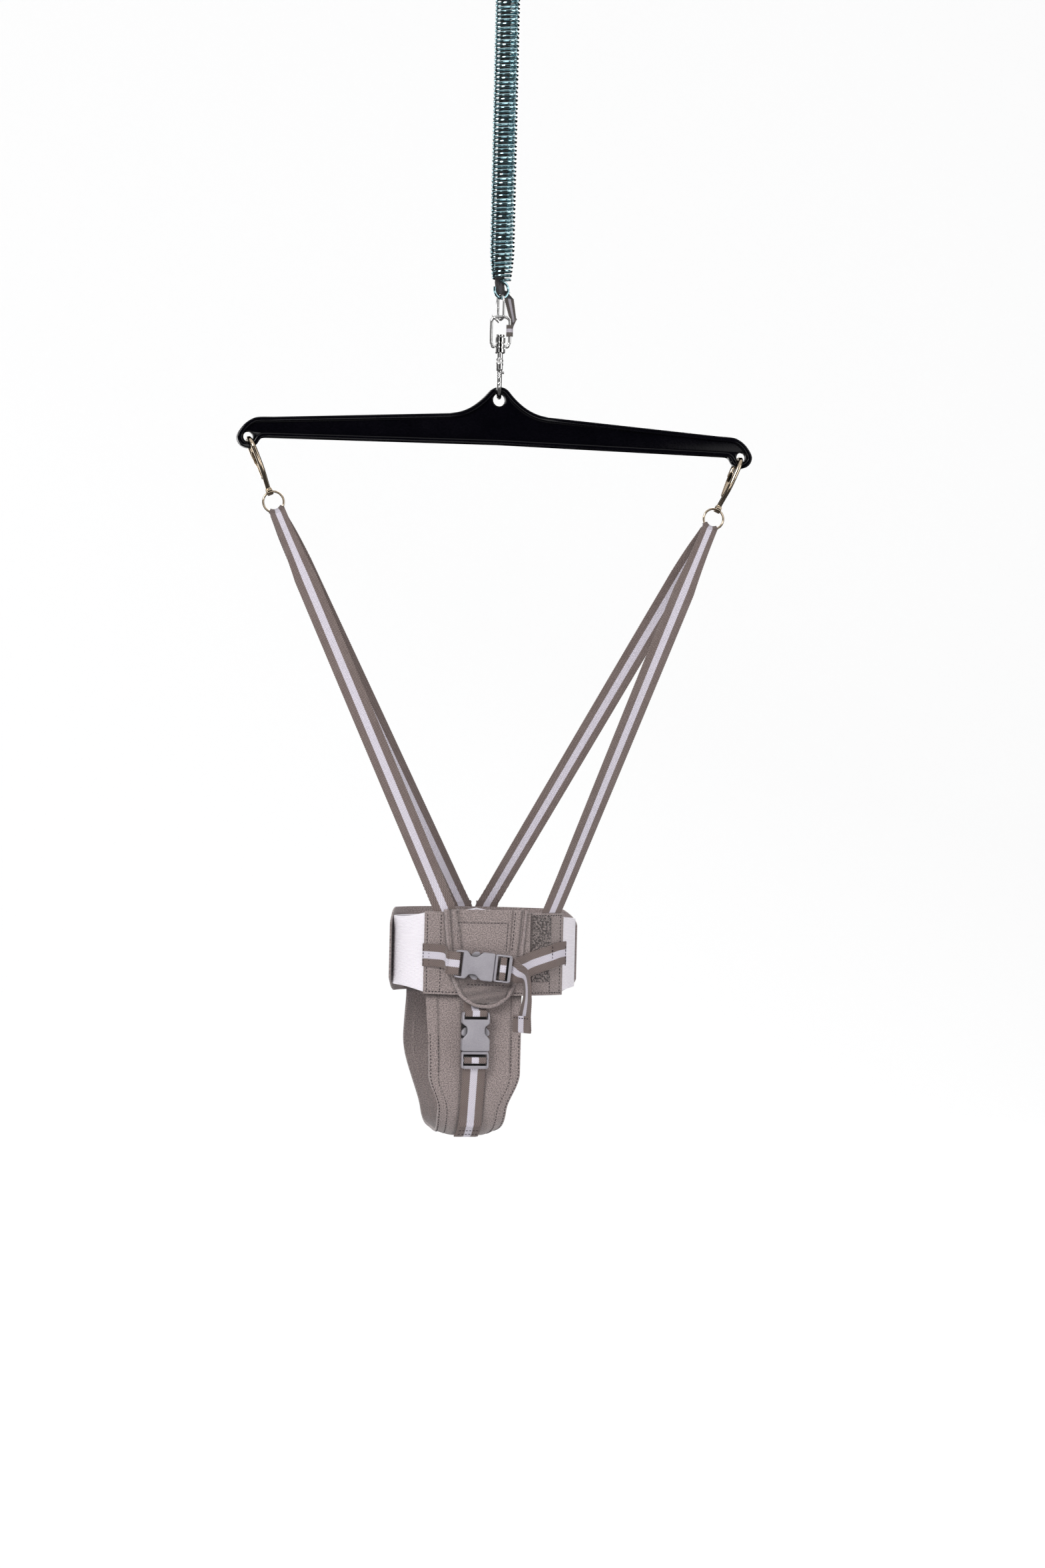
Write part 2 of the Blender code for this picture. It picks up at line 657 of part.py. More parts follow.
def spring_end(turn_angle, drop_sign):
    """Lead from the end of the winding to the axis, then the hook loop, from a local origin there.

    The wire reaches the axis heading along +X of the loop's plane and runs on round the loop.
    """
    lead_steps, loop_steps = 5, 18
    lead_drop = SPRING_PITCH * LEAD_SHARE
    points = []
    for step in range(1, lead_steps):
        share = step / lead_steps
        angle = math.pi + math.tau * LEAD_SHARE * (1 - share) * drop_sign * -1
        radius = SPRING_END_RADIUS * (1 - share)
        height = lead_drop * (1 - share)
        points.append(Vector((radius * math.cos(angle), radius * math.sin(angle), height * -drop_sign)))
    for step in range(loop_steps + 1):
        angle = SPRING_LOOP_ARC * step / loop_steps
        points.append(Vector((SPRING_LOOP_RADIUS * math.sin(angle), 0,
                              drop_sign * SPRING_LOOP_RADIUS * (1 - math.cos(angle)))))
    turned = Matrix.Rotation(turn_angle, 4, "Z")
    return [turned @ point for point in points]


def spring_points():
    lead_drop = SPRING_PITCH * LEAD_SHARE
    per_turn = 8
    # The winding is right-handed: its angle falls as it goes down. It ends where the lower lead starts
    end_angle = LOOP_TURN + math.pi + math.tau * LEAD_SHARE
    winding = []
    for step in range(SPRING_COILS * per_turn + 1):
        turn = step / per_turn
        angle = end_angle + math.tau * (SPRING_COILS - turn)
        radius = coil_radius(turn)
        winding.append(Vector((radius * math.cos(angle), radius * math.sin(angle),
                               COIL_TOP_Z - lead_drop - turn * SPRING_PITCH
                               * (SPRING_COILS * SPRING_PITCH - 2 * lead_drop)
                               / (SPRING_COILS * SPRING_PITCH))))
    lower = [Vector((0, 0, COIL_BOTTOM_Z)) + point for point in spring_end(LOOP_TURN, -1)]
    top_angle = end_angle - math.pi + math.tau * LEAD_SHARE
    upper = [Vector((0, 0, COIL_TOP_Z)) + point for point in spring_end(top_angle, 1)]
    return upper[::-1] + winding + lower


def least_gap(points, radius, apart):
    """Least clear distance of a tube to itself, between points well apart along it."""
    least = None
    for index, point in enumerate(points):
        for other in points[index + apart:index + apart * 3]:
            gap = (other - point).length - 2 * radius
            least = gap if least is None else min(least, gap)
    return least


def main_spring():
    points = spring_points()
    make_rod("main_spring", points, SPRING_WIRE_RADIUS, ZINC, 1)
    print("main_spring least gap to itself", round(least_gap(points, SPRING_WIRE_RADIUS, 5) * 1000, 2), "mm")


def safety_strap():
    plane = Matrix.Rotation(LOOP_TURN, 3, "Z")
    along, back = plane @ ACROSS, plane @ -FRONT
    bail = Matrix.Rotation(BAIL_TURN, 3, "Z")
    bail_side, bail_back = bail @ ACROSS, bail @ -FRONT
    leg = bail_side * BAIL_HALF_WIDTH + UP * (BAIL_TOP_Z - BAIL_LEG * 0.58)
    wrap = (BAIL_WIRE_RADIUS + SEAT_GAP + SAFETY_THICKNESS / 2) * 1.06
    out = back * SAFETY_OFFSET
    inside = SPRING_END_RADIUS - SPRING_WIRE_RADIUS
    mouth = COIL_BOTTOM_Z - SPRING_WIRE_RADIUS / 2
    drop = LOOP_BOTTOM_Z - COIL_BOTTOM_Z
    run = [(out + UP * (COIL_TOP_Z + (mouth - COIL_TOP_Z) * step / 6), along, SAFETY_WIDTH) for step in range(7)]
    run[0] = (out + UP * (COIL_TOP_Z - SPRING_PITCH * 2), along, SAFETY_WIDTH)
    lead = [
        run[-1],
        (out * 1.3 + along * inside * 0.75 + UP * (COIL_BOTTOM_Z + drop * 0.55), along, SAFETY_WIDTH * 0.95),
        (out * 1.7 + along * inside * 1.9 + UP * (LOOP_BOTTOM_Z + SPRING_WIRE_RADIUS), along, SAFETY_WIDTH),
        (out * 2.0 + along * inside * 2.7 + UP * (LINK_BOTTOM_Z + LINK_WIRE_RADIUS * 4), along, SAFETY_WIDTH * 0.7),
        (leg + bail_back * wrap * 2.6 + bail_side * wrap * 1.5 + UP * SAFETY_WIDTH * 0.75,
         bail_side * 0.5 + UP, SAFETY_WIDTH * 0.7),
        (leg + bail_back * wrap + bail_side * wrap * 0.4 + UP * SAFETY_WIDTH * 0.08, UP, SAFETY_WIDTH * 0.9),
    ]
    loop = []
    for step in range(7):
        angle = math.radians(100 + 45 * step)
        loop.append((leg + bail_side * wrap * math.cos(angle) + bail_back * wrap * math.sin(angle), UP, SAFETY_WIDTH))
    webbing("safety_strap", run[:-1] + eased(lead, 4)[:-1] + loop, thickness=SAFETY_THICKNESS)


# Swivel and bolt snap

def bail_points():
    half = BAIL_HALF_WIDTH
    shoulder = BAIL_WIRE_RADIUS * 4
    foot = -BARREL_DROP - BARREL_HEIGHT * 0.58
    right = [(half * 0.30, 0.0), (half * 0.72, -shoulder * 0.14), (half * 0.93, -shoulder * 0.50),
             (half, -shoulder), (half, -BAIL_LEG), (half * 0.94, (foot - BAIL_LEG) / 2), (half * 0.80, foot),
             (BARREL_RADIUS + SEAT_GAP, foot)]
    left = [(-x, z) for x, z in right]
    return [Vector((x, 0, z)) for x, z in left[::-1] + right]


def swivel():
    turn = Matrix.Rotation(BAIL_TURN, 4, "Z")
    place = Matrix.Translation((0, 0, BAIL_TOP_Z)) @ turn
    make_rod("swivel_bail", bail_points(), BAIL_WIRE_RADIUS, CHROME, 2, place=place)
    wire, groove = BARREL_RADIUS, BARREL_GROOVE
    bore = STEM_RADIUS + SEAT_GAP
    top, bottom = BARREL_TOP_Z, BARREL_BOTTOM_Z
    step = BARREL_HEIGHT / 8
    profile = [(bore, top), (wire - groove, top), (wire, top - step * 0.4), (wire, top - step * 2.4),
               (wire - groove, top - step * 2.7), (wire - groove, top - step * 3.3),
               (wire, top - step * 3.6), (wire, top - step * 4.8), (wire - groove, top - step * 5.1),
               (wire - groove, top - step * 5.6), (wire, top - step * 5.9), (wire, bottom + step * 0.4),
               (wire - groove, bottom), (bore, bottom)]
    shade(put("swivel_barrel", turned_mesh("swivel_barrel", profile, 18, True), CHROME))
    around = BAIL_HALF_WIDTH * 0.72
    ring = circle(JUMP_RING_RADIUS, 16)
    hang = JUMP_RING_RADIUS - JUMP_RING_WIRE - BAIL_WIRE_RADIUS - SEAT_GAP
    tilt = Matrix.Rotation(math.radians(-40), 4, "Y")
    spot = Matrix.Translation(Vector((-around, 0, -BAIL_WIRE_RADIUS * 0.56)) - tilt @ (UP * hang))
    make_rod("bail_jump_ring", [Vector((0, a, b)) for a, b in ring], JUMP_RING_WIRE, CHROME, 1, True,
             place @ spot @ tilt)


def bolt_snap():
    centre, reach, wire = HOOK_CENTRE_Z, SNAP_HOOK_RADIUS, SNAP_WIRE_RADIUS
    turn = Matrix.Rotation(SNAP_TURN, 4, "Z")
    neck = BARREL_BOTTOM_Z - SNAP_HEIGHT * 0.30
    bend = arc((0, centre), reach, 0, -180, 12)
    spine = [(0, neck), (reach * 0.30, neck - wire), (reach * 0.75, neck - wire * 2.6),
             (reach, neck - wire * 4.6)]
    nose = [(-reach, centre + wire / 4)]
    path = [Vector((0, y, z)) for y, z in spine + bend + nose]
    snap = put("bolt_snap", meshed_rod("bolt_snap", path, wire, 2), CHROME, turn)
    head_low = BARREL_TOP_Z + SEAT_GAP
    head_top = head_low + STEM_HEAD_HEIGHT
    stem = [(0, head_top), (STEM_HEAD_RADIUS, head_top), (STEM_HEAD_RADIUS, head_low),
            (STEM_RADIUS, head_low), (STEM_RADIUS, neck + wire), (STEM_RADIUS * 1.25, neck),
            (STEM_RADIUS, neck - wire), (0, neck - wire)]
    join(snap, turned_mesh("snap_stem", stem, 16), "UNION", turn)
    house_top = neck - wire * 0.8
    house_low = house_top - HOUSING_HEIGHT
    bridge = [Vector((0, 0, neck)), Vector((0, -reach * 0.55, neck - wire * 0.8)),
              Vector((0, -reach, house_top - wire))]
    join(snap, meshed_rod("snap_bridge", bridge, wire * 0.95, 2), "UNION", turn)
    bore = BOLT_PIN_RADIUS + SEAT_GAP
    shell = [(0, house_top), (HOUSING_RADIUS * 0.7, house_top), (HOUSING_RADIUS, house_top - wire),
             (HOUSING_RADIUS, house_low + wire / 2), (HOUSING_RADIUS * 0.85, house_low), (0, house_low)]
    front = turn @ Matrix.Translation((0, -reach, 0))
    join(snap, turned_mesh("snap_housing", shell, 16), "UNION", front)
    bore_top = house_low + BOLT_TRAVEL + wire
    slot = box_mesh("snap_slot", (bore / 2, -reach - KNOB_RADIUS - SEAT_GAP, house_low - CUT_OVERRUN / 2),
                    (KNOB_REACH + CUT_OVERRUN, -reach + KNOB_RADIUS + SEAT_GAP, house_low + BOLT_TRAVEL))
    join(snap, slot, "DIFFERENCE", turn)
    join(snap, cylinder_mesh("snap_bore", bore, (0, -reach, house_low - CUT_OVERRUN), (0, -reach, bore_top), 16),
         "DIFFERENCE", turn)
    shade(snap)
    # Sliding bolt, its foot just above the hook's nose
    foot = centre + wire / 4 + SEAT_GAP
    crown = house_low + wire - SNAP_SPRING_WIRE * 4
    ring = BOLT_PIN_RADIUS
    ridge = (house_low - foot) / 9
    profile = [(0, crown), (ring, crown), (ring, house_low - ridge)]
    for index in range(3):
        level = house_low - ridge * (1.6 + index * 1.6)
        profile += [(ring * 0.86, level + ridge * 0.3), (ring, level - ridge * 0.3)]
    profile += [(ring, foot + ridge), (ring * 0.9, foot), (0, foot)]
    bolt = put("snap_sliding_bolt", turned_mesh("snap_sliding_bolt", profile, 14), CHROME, front)
    knob_z = house_low - KNOB_RADIUS - SEAT_GAP
    knob = cylinder_mesh("snap_knob", KNOB_RADIUS, (0, 0, knob_z), (KNOB_REACH, 0, knob_z), 12)
    join(bolt, knob, "UNION", front)
    shade(bolt)
    room = bore_top - crown - SNAP_SPRING_WIRE * 2 - SEAT_GAP
    turns = SNAP_SPRING_TURNS
    coil = ring - SNAP_SPRING_WIRE
    points = []
    for step in range(turns * 8 + 1):
        angle = math.tau * step / 8
        rise = crown + SNAP_SPRING_WIRE + SEAT_GAP / 2 + room * step / (turns * 8)
        points.append(Vector((coil * math.cos(angle), coil * math.sin(angle), rise)))
    make_rod("snap_bolt_spring", points, SNAP_SPRING_WIRE, ZINC, 0, place=front)


# Spreader bar

def bar_outline():
    """The bar's outline in (X, Z) about its centre hole: ear, flare, straight edges, end lobes."""
    ear, end = BAR_EAR_RADIUS, BAR_END_RADIUS
    flare_shares = [(1.14, 0.22), (1.60, -0.20), (2.07, -0.55), (2.62, -0.85), (3.2, -1.06)]
    right = arc((0, 0), ear, 90, 45, 4) + [(ear * x, ear * z) for x, z in flare_shares]
    for share in (0.20, 0.55, 0.90):
        right.append((BAR_HALF_SPAN * share, -BAR_TOP_DROP - BAR_TOP_FALL * share))
    crown_shares = [(-0.83, 1.77), (-0.20, 1.54), (0.30, 1.17), (0.66, 0.74), (0.90, 0.34)]
    right += [(BAR_HALF_SPAN + end * x, end * z - BAR_HOLE_DROP) for x, z in crown_shares]
    right += arc((BAR_HALF_SPAN, -BAR_HOLE_DROP), end, 2, -150, 8)
    bottom = -BAR_TOP_DROP - BAR_DEPTH
    low = bottom - BAR_BOTTOM_FALL
    right += [(BAR_HALF_SPAN - end * 1.05, low - end * 0.20), (BAR_HALF_SPAN - end * 1.32, low - end * 0.03),
              (BAR_HALF_SPAN - end * 1.8, low), (0, bottom)]
    left = [(-x, z) for x, z in right[1:-1]]
    return right + left[::-1]


def inset(outline, margin):
    """A clockwise outline moved inward by a margin."""
    moved = []
    for index, point in enumerate(outline):
        point = Vector(point)
        before = (point - Vector(outline[index - 1])).normalized()
        after = (Vector(outline[(index + 1) % len(outline)]) - point).normalized()
        inward = Vector((before.y + after.y, -before.x - after.x)).normalized()
        square = Vector((before.y, -before.x))
        moved.append(tuple(point + inward * margin / max(inward.dot(square), 1 / 2)))
    return moved


def spreader_bar():
    stand = Matrix.Translation((0, 0, BAR_Z)) @ Matrix.Rotation(math.pi / 2, 4, "X")
    outline = bar_outline()
    bar = put("spreader_bar", plate_mesh("spreader_bar", outline, BAR_THICKNESS), BLACK_PLASTIC, stand)
    add_bevel(bar, BAR_EDGE_ROUND, 1)
    recess = inset(outline, BAR_RIM)
    for side in (1, -1):
        middle = side * (BAR_THICKNESS / 2 + CUT_OVERRUN / 2 - BAR_PANEL_DEPTH / 2)
        pocket = plate_mesh("bar_pocket", recess, BAR_PANEL_DEPTH + CUT_OVERRUN)
        join(bar, pocket, "DIFFERENCE", stand @ Matrix.Translation((0, 0, middle)))
    reach = BAR_THICKNESS / 2 + CUT_OVERRUN
    holes = [(0, 0, CENTRE_HOLE_RADIUS), (-BAR_HALF_SPAN, -BAR_HOLE_DROP, END_HOLE_RADIUS),
             (BAR_HALF_SPAN, -BAR_HOLE_DROP, END_HOLE_RADIUS)]
    for x, z, radius in holes:
        drill = cylinder_mesh("bar_hole", radius, (x, -reach, BAR_Z + z), (x, reach, BAR_Z + z), 24)
        join(bar, drill, "DIFFERENCE")
    shade(bar)


# End hooks, gates and rings

def end_place(side):
    """Local frame at an end hole: its -Z runs down the leaning hook, X stays in the bar's plane."""
    return Matrix.Translation((side * BAR_HALF_SPAN, 0, END_HOLE_Z)) @ Matrix.Rotation(side * HOOK_LEAN, 4, "Y")


HOOK_SEAT = END_HOLE_RADIUS - saddle(HOOK_BEND_RADIUS, HOOK_WIRE_RADIUS, BAR_WEB / 2)
HOOK_BEND_CENTRE = HOOK_SEAT + HOOK_BEND_RADIUS
RING_CENTRE = HOOK_LENGTH + HOOK_EYE_RADIUS - RING_WIRE_RADIUS - SEAT_GAP * 2 + RING_RADIUS


def end_hook(name, side):
    bend, centre = HOOK_BEND_RADIUS, HOOK_BEND_CENTRE
    eye_top = HOOK_LENGTH - HOOK_EYE_RADIUS - HOOK_EYE_WALL
    shank = HOOK_LENGTH - centre
    nose = [(bend * 0.96, -centre - HOOK_NOSE), (bend, -centre - HOOK_NOSE * 0.4)]
    over = [(y, z - centre) for y, z in arc((0, 0), bend, 0, 180, 10)]
    down = [(-bend, -centre - shank * 0.28), (-bend * 0.82, -centre - shank * 0.52),
            (-bend * 0.34, -centre - shank * 0.74), (-bend * 0.05, -eye_top + HOOK_WIRE_RADIUS * 0.6),
            (0, -eye_top - HOOK_EYE_WALL * 0.4)]
    path = [Vector((0, y, z)) for y, z in nose + over + down]
    hook = put(name, meshed_rod(name, path, HOOK_WIRE_RADIUS, 2), NICKEL, end_place(side))
    outer = HOOK_EYE_RADIUS + HOOK_EYE_WALL
    eye = [(HOOK_EYE_RADIUS, -HOOK_EYE_WIDTH / 2), (outer, -HOOK_EYE_WIDTH / 2),
           (outer, HOOK_EYE_WIDTH / 2), (HOOK_EYE_RADIUS, HOOK_EYE_WIDTH / 2)]
    eye_place = end_place(side) @ Matrix.Translation((0, 0, -HOOK_LENGTH)) @ Matrix.Rotation(math.pi / 2, 4, "Y")
    join(hook, turned_mesh(name + "_eye", eye, 16, True), "UNION", eye_place)
    bore = cylinder_mesh(name + "_bore", HOOK_EYE_RADIUS, (0, 0, -HOOK_EYE_WIDTH), (0, 0, HOOK_EYE_WIDTH), 16)
    join(hook, bore, "DIFFERENCE", eye_place)
    shade(hook)


def gate_root():
    """Where the gate is riveted to the shank, as (Y, Z) in the hook's frame."""
    shank = HOOK_LENGTH - HOOK_BEND_CENTRE
    return HOOK_BEND_RADIUS * 0.26, -HOOK_BEND_CENTRE - shank * 0.66


def hook_gate(name, side):
    root_y, root_z = gate_root()
    tip_y = HOOK_BEND_RADIUS - HOOK_WIRE_RADIUS - SEAT_GAP - GATE_THICKNESS
    tip_z = -HOOK_BEND_CENTRE - HOOK_NOSE * 0.35
    spots = [(root_y, root_z), (root_y + (tip_y - root_y) * 0.42, root_z + (tip_z - root_z) * 0.28),
             (tip_y * 0.97, root_z + (tip_z - root_z) * 0.62), (tip_y, tip_z)]
    place = end_place(side)
    turn = place.to_3x3()
    stations = [(place @ Vector((0, y, z)), turn @ ACROSS, GATE_WIDTH) for y, z in spots]
    webbing(name, eased(stations, 2), NICKEL, GATE_THICKNESS)
    # Rivet boss on the shank side of the gate
    rivet_y = root_y - GATE_THICKNESS / 2 - SEAT_GAP
    rivet = cylinder_mesh(name + "_rivet", GATE_RIVET_RADIUS * 1.6,
                          (-GATE_WIDTH / 2, rivet_y - GATE_RIVET_RADIUS * 1.6, root_z),
                          (GATE_WIDTH / 2, rivet_y - GATE_RIVET_RADIUS * 1.6, root_z), 12)
    put(name + "_rivet", rivet, NICKEL, place)


def strap_ring(name, side):
    place = end_place(side) @ Matrix.Translation((0, 0, -RING_CENTRE))
    points = [Vector((a, 0, b)) for a, b in circle(RING_RADIUS, 24)]
    make_rod(name, points, RING_WIRE_RADIUS, NICKEL, 1, True, place)


# Belt, placed round an oval torso

def belt_angle(x, level=0.0):
    return math.asin(max(-1, min(1, (x - BELT_CENTRE_X) / (BELT_HALF_WIDTH + level))))


def belt_point(angle, z, level):
    """A point at an angle from the front, towards +X, at a height above the band's outer face."""
    return Vector((BELT_CENTRE_X + (BELT_HALF_WIDTH + level) * math.sin(angle),
                   -(BELT_HALF_DEPTH + level) * math.cos(angle), z))


def belt_normal(angle):
    return Vector((math.sin(angle) / BELT_HALF_WIDTH, -math.cos(angle) / BELT_HALF_DEPTH, 0)).normalized()


def belt_tangent(angle):
    return UP.cross(belt_normal(angle))


def belt_columns(start, end, step):
    """Angles from start to end that fall on shared marks, so that layers stay parallel."""
    step = math.radians(step)
    marks = range(math.floor(start / step) + 1, math.ceil(end / step))
    inner = [mark * step for mark in marks]
    return [start] + [a for a in inner if a - start > step / 4 and end - a > step / 4] + [end]


def belt_sheet(name, start, end, level, thickness, material, step, low=BELT_BOTTOM_Z, high=BELT_TOP_Z):
    columns = belt_columns(start, end, step)
    last = len(columns) - 1

    def shape(u, v):
        return belt_point(columns[round(u * last)], low + (high - low) * v, level)
    return sheet(name, shape, last, 1, thickness, material)


def belt_band():
    start, end = belt_angle(BAND_RIGHT_END), math.tau + belt_angle(-BAND_LEFT_END)
    columns = belt_columns(start, end, 10)
    last = len(columns) - 1

    def shape(u, v):
        share = min(u, 1 - u) * 2
        narrow = math.sin(math.pi / 2 * min(1, math.sin(math.pi * share) * 1.4))
        height = BELT_HEIGHT + (BELT_SIDE_HEIGHT - BELT_HEIGHT) * narrow
        return belt_point(columns[round(u * last)], BELT_MID_Z + height * (v - 1 / 2), -BAND_THICKNESS / 2)
    sheet("belt_band", shape, last, 1, BAND_THICKNESS, RIBBED)


def belt_panels():
    belt_sheet("left_belt_panel", belt_angle(-LEFT_PANEL_LEFT, LEFT_PANEL_LEVEL),
               belt_angle(LEFT_PANEL_RIGHT, LEFT_PANEL_LEVEL),
               LEFT_PANEL_LEVEL, PANEL_THICKNESS, TWILL, 5)
    belt_sheet("right_belt_panel", belt_angle(-RIGHT_PANEL_LEFT), belt_angle(RIGHT_PANEL_RIGHT),
               RIGHT_PANEL_LEVEL, PANEL_THICKNESS, TWILL, 5)
    trim = BELT_HEIGHT / 30
    belt_sheet("closure_patch", belt_angle(PATCH_LEFT), belt_angle(PATCH_RIGHT), PATCH_LEVEL,
               PATCH_THICKNESS, FUZZ, 5, BELT_BOTTOM_Z + trim * 5, BELT_TOP_Z - trim)


def back_panel():
    columns = belt_columns(math.radians(84), math.radians(278), 10)
    last = len(columns) - 1

    def shape(u, v):
        edge = math.sin(math.pi * u)
        height = BACK_PANEL_EDGE_HEIGHT + (BACK_PANEL_HEIGHT - BACK_PANEL_EDGE_HEIGHT) * min(1, edge * 2.2)
        flare = BACK_LEVEL + PANEL_THICKNESS * 3 * max(0, (u - 0.9) * 10) ** 2
        return belt_point(columns[round(u * last)], BELT_MID_Z + height * (v - 1 / 2), flare)
    sheet("back_panel", shape, last, 1, PANEL_THICKNESS, TWILL)


def bib_half_width(share):
    """Half-width of the bib at a share of its height from the top: straight, then rounded in."""
    if share < 0.45:
        return BIB_HALF_WIDTH * (1 - 0.10 * share / 0.45)
    part = (share - 0.45) / 0.55
    wide = BIB_HALF_WIDTH * 0.90
    return BIB_TIP_HALF_WIDTH + (wide - BIB_TIP_HALF_WIDTH) * math.sqrt(max(0, 1 - part ** 1.6))


def bib_spot(across, share, level):
    x = BIB_CENTRE_X + across * bib_half_width(share)
    top = BELT_TOP_Z + BELT_HEIGHT / 30
    return belt_point(belt_angle(x, level), top - BIB_HEIGHT * share, level)


def bib():
    def shape(u, v):
        return bib_spot(v * 2 - 1, u, BIB_LEVEL)
    sheet("bib_panel", shape, 12, 8, BIB_THICKNESS, TWILL)
    away = BINDING_RADIUS + SEAT_GAP * 2
    centre = Vector((BIB_CENTRE_X, 0, BELT_MID_Z))
    shares = [step / 12 for step in range(13)]
    left = [bib_spot(-1, share, BINDING_LEVEL) for share in shares]
    right = [bib_spot(1, share, BINDING_LEVEL) for share in shares]
    loop = left + right[::-1]
    points = []
    for index, point in enumerate(loop):
        ahead = loop[min(index + 1, len(loop) - 1)]
        behind = loop[max(index - 1, 0)]
        along = (ahead - behind).normalized()
        outward = along.cross(belt_normal(belt_angle(point.x))).normalized()
        if outward.dot(point - centre) < 0:
            outward = -outward
        points.append(point + outward * away)
    make_rod("bib_binding", smooth_path(points, 40), BINDING_RADIUS, TWILL, 1)


def seat_path():
    """Side view of the seat's centreline: up inside the belt at both ends, round under the crotch."""
    front = BELT_HALF_DEPTH + SEAT_LEVEL
    shares = [(-1, -0.78), (-1, 0.0), (-1, 0.42), (-0.95, 0.72), (-0.76, 0.92), (-0.42, 1.0), (0, 1.0),
              (0.42, 0.94), (0.80, 0.70), (0.98, 0.36), (1, 0.0), (1, -0.78)]
    points = []
    for y_share, z_share in shares:
        drop = SEAT_DROP * z_share if z_share > 0 else -SEAT_TUCK * z_share * -1
        points.append(Vector((0, front * y_share, BELT_BOTTOM_Z - drop)))
    return points


def seat_half_width(share):
    """Half-width along the seat, from the front tuck to the rear tuck."""
    waist, back = SEAT_WAIST_HALF_WIDTH / SEAT_HALF_WIDTH, SEAT_BACK_HALF_WIDTH / SEAT_HALF_WIDTH
    width_shares = [(0.0, 1), (0.14, 1), (0.29, 1), (0.375, waist * 1.12), (0.485, waist),
                    (0.60, waist * 1.15), (0.78, back), (1.0, back)]
    for (a, wide_a), (b, wide_b) in zip(width_shares, width_shares[1:]):
        if share <= b:
            part = (share - a) / (b - a)
            part = part * part * (3 - 2 * part)
            return SEAT_HALF_WIDTH * (wide_a + (wide_b - wide_a) * part)
    return SEAT_HALF_WIDTH * back


SEAT_STEPS = 34


def seat_columns(half_width):
    """Shares across the seat, -1 to 1, that meet the belt band's marks where it runs up inside."""
    inner_radius = BELT_HALF_WIDTH + SEAT_LEVEL
    left = math.asin((SEAT_CENTRE_X - half_width - BELT_CENTRE_X) / inner_radius)
    right = math.asin((SEAT_CENTRE_X + half_width - BELT_CENTRE_X) / inner_radius)
    xs = [BELT_CENTRE_X + inner_radius * math.sin(a) for a in belt_columns(left, right, 10)]
    return [(x - SEAT_CENTRE_X) / half_width for x in xs]


def seat():
    spine = smooth_path(seat_path(), SEAT_STEPS)
    front_shares, back_shares = seat_columns(SEAT_HALF_WIDTH), seat_columns(SEAT_BACK_HALF_WIDTH)
    last = len(front_shares) - 1
    inner_radius = BELT_HALF_WIDTH + SEAT_LEVEL

    def shape(u, v):
        point = spine[round(u * SEAT_STEPS)]
        column = round(v * last)
        across = front_shares[column] + (back_shares[column] - front_shares[column]) * min(max(u * 2 - 1 / 2, 0), 1)
        x = SEAT_CENTRE_X + across * seat_half_width(u)
        # Where the seat runs up inside the belt it keeps to the belt's oval
        fit = min(1, max(0, (point.z - (BELT_BOTTOM_Z - SEAT_DROP * 0.5)) / (SEAT_DROP * 0.45)))
        oval = math.sqrt(1 - ((x - BELT_CENTRE_X) / inner_radius) ** 2)
        bend = 1 + (oval - 1) * fit
        cup = SEAT_THICKNESS * 2 * (1 - fit) * across ** 2
        return Vector((x, point.y * bend, point.z + cup))
    sheet("seat_panel", shape, SEAT_STEPS, last, SEAT_THICKNESS, TWILL)


# Side-release buckles

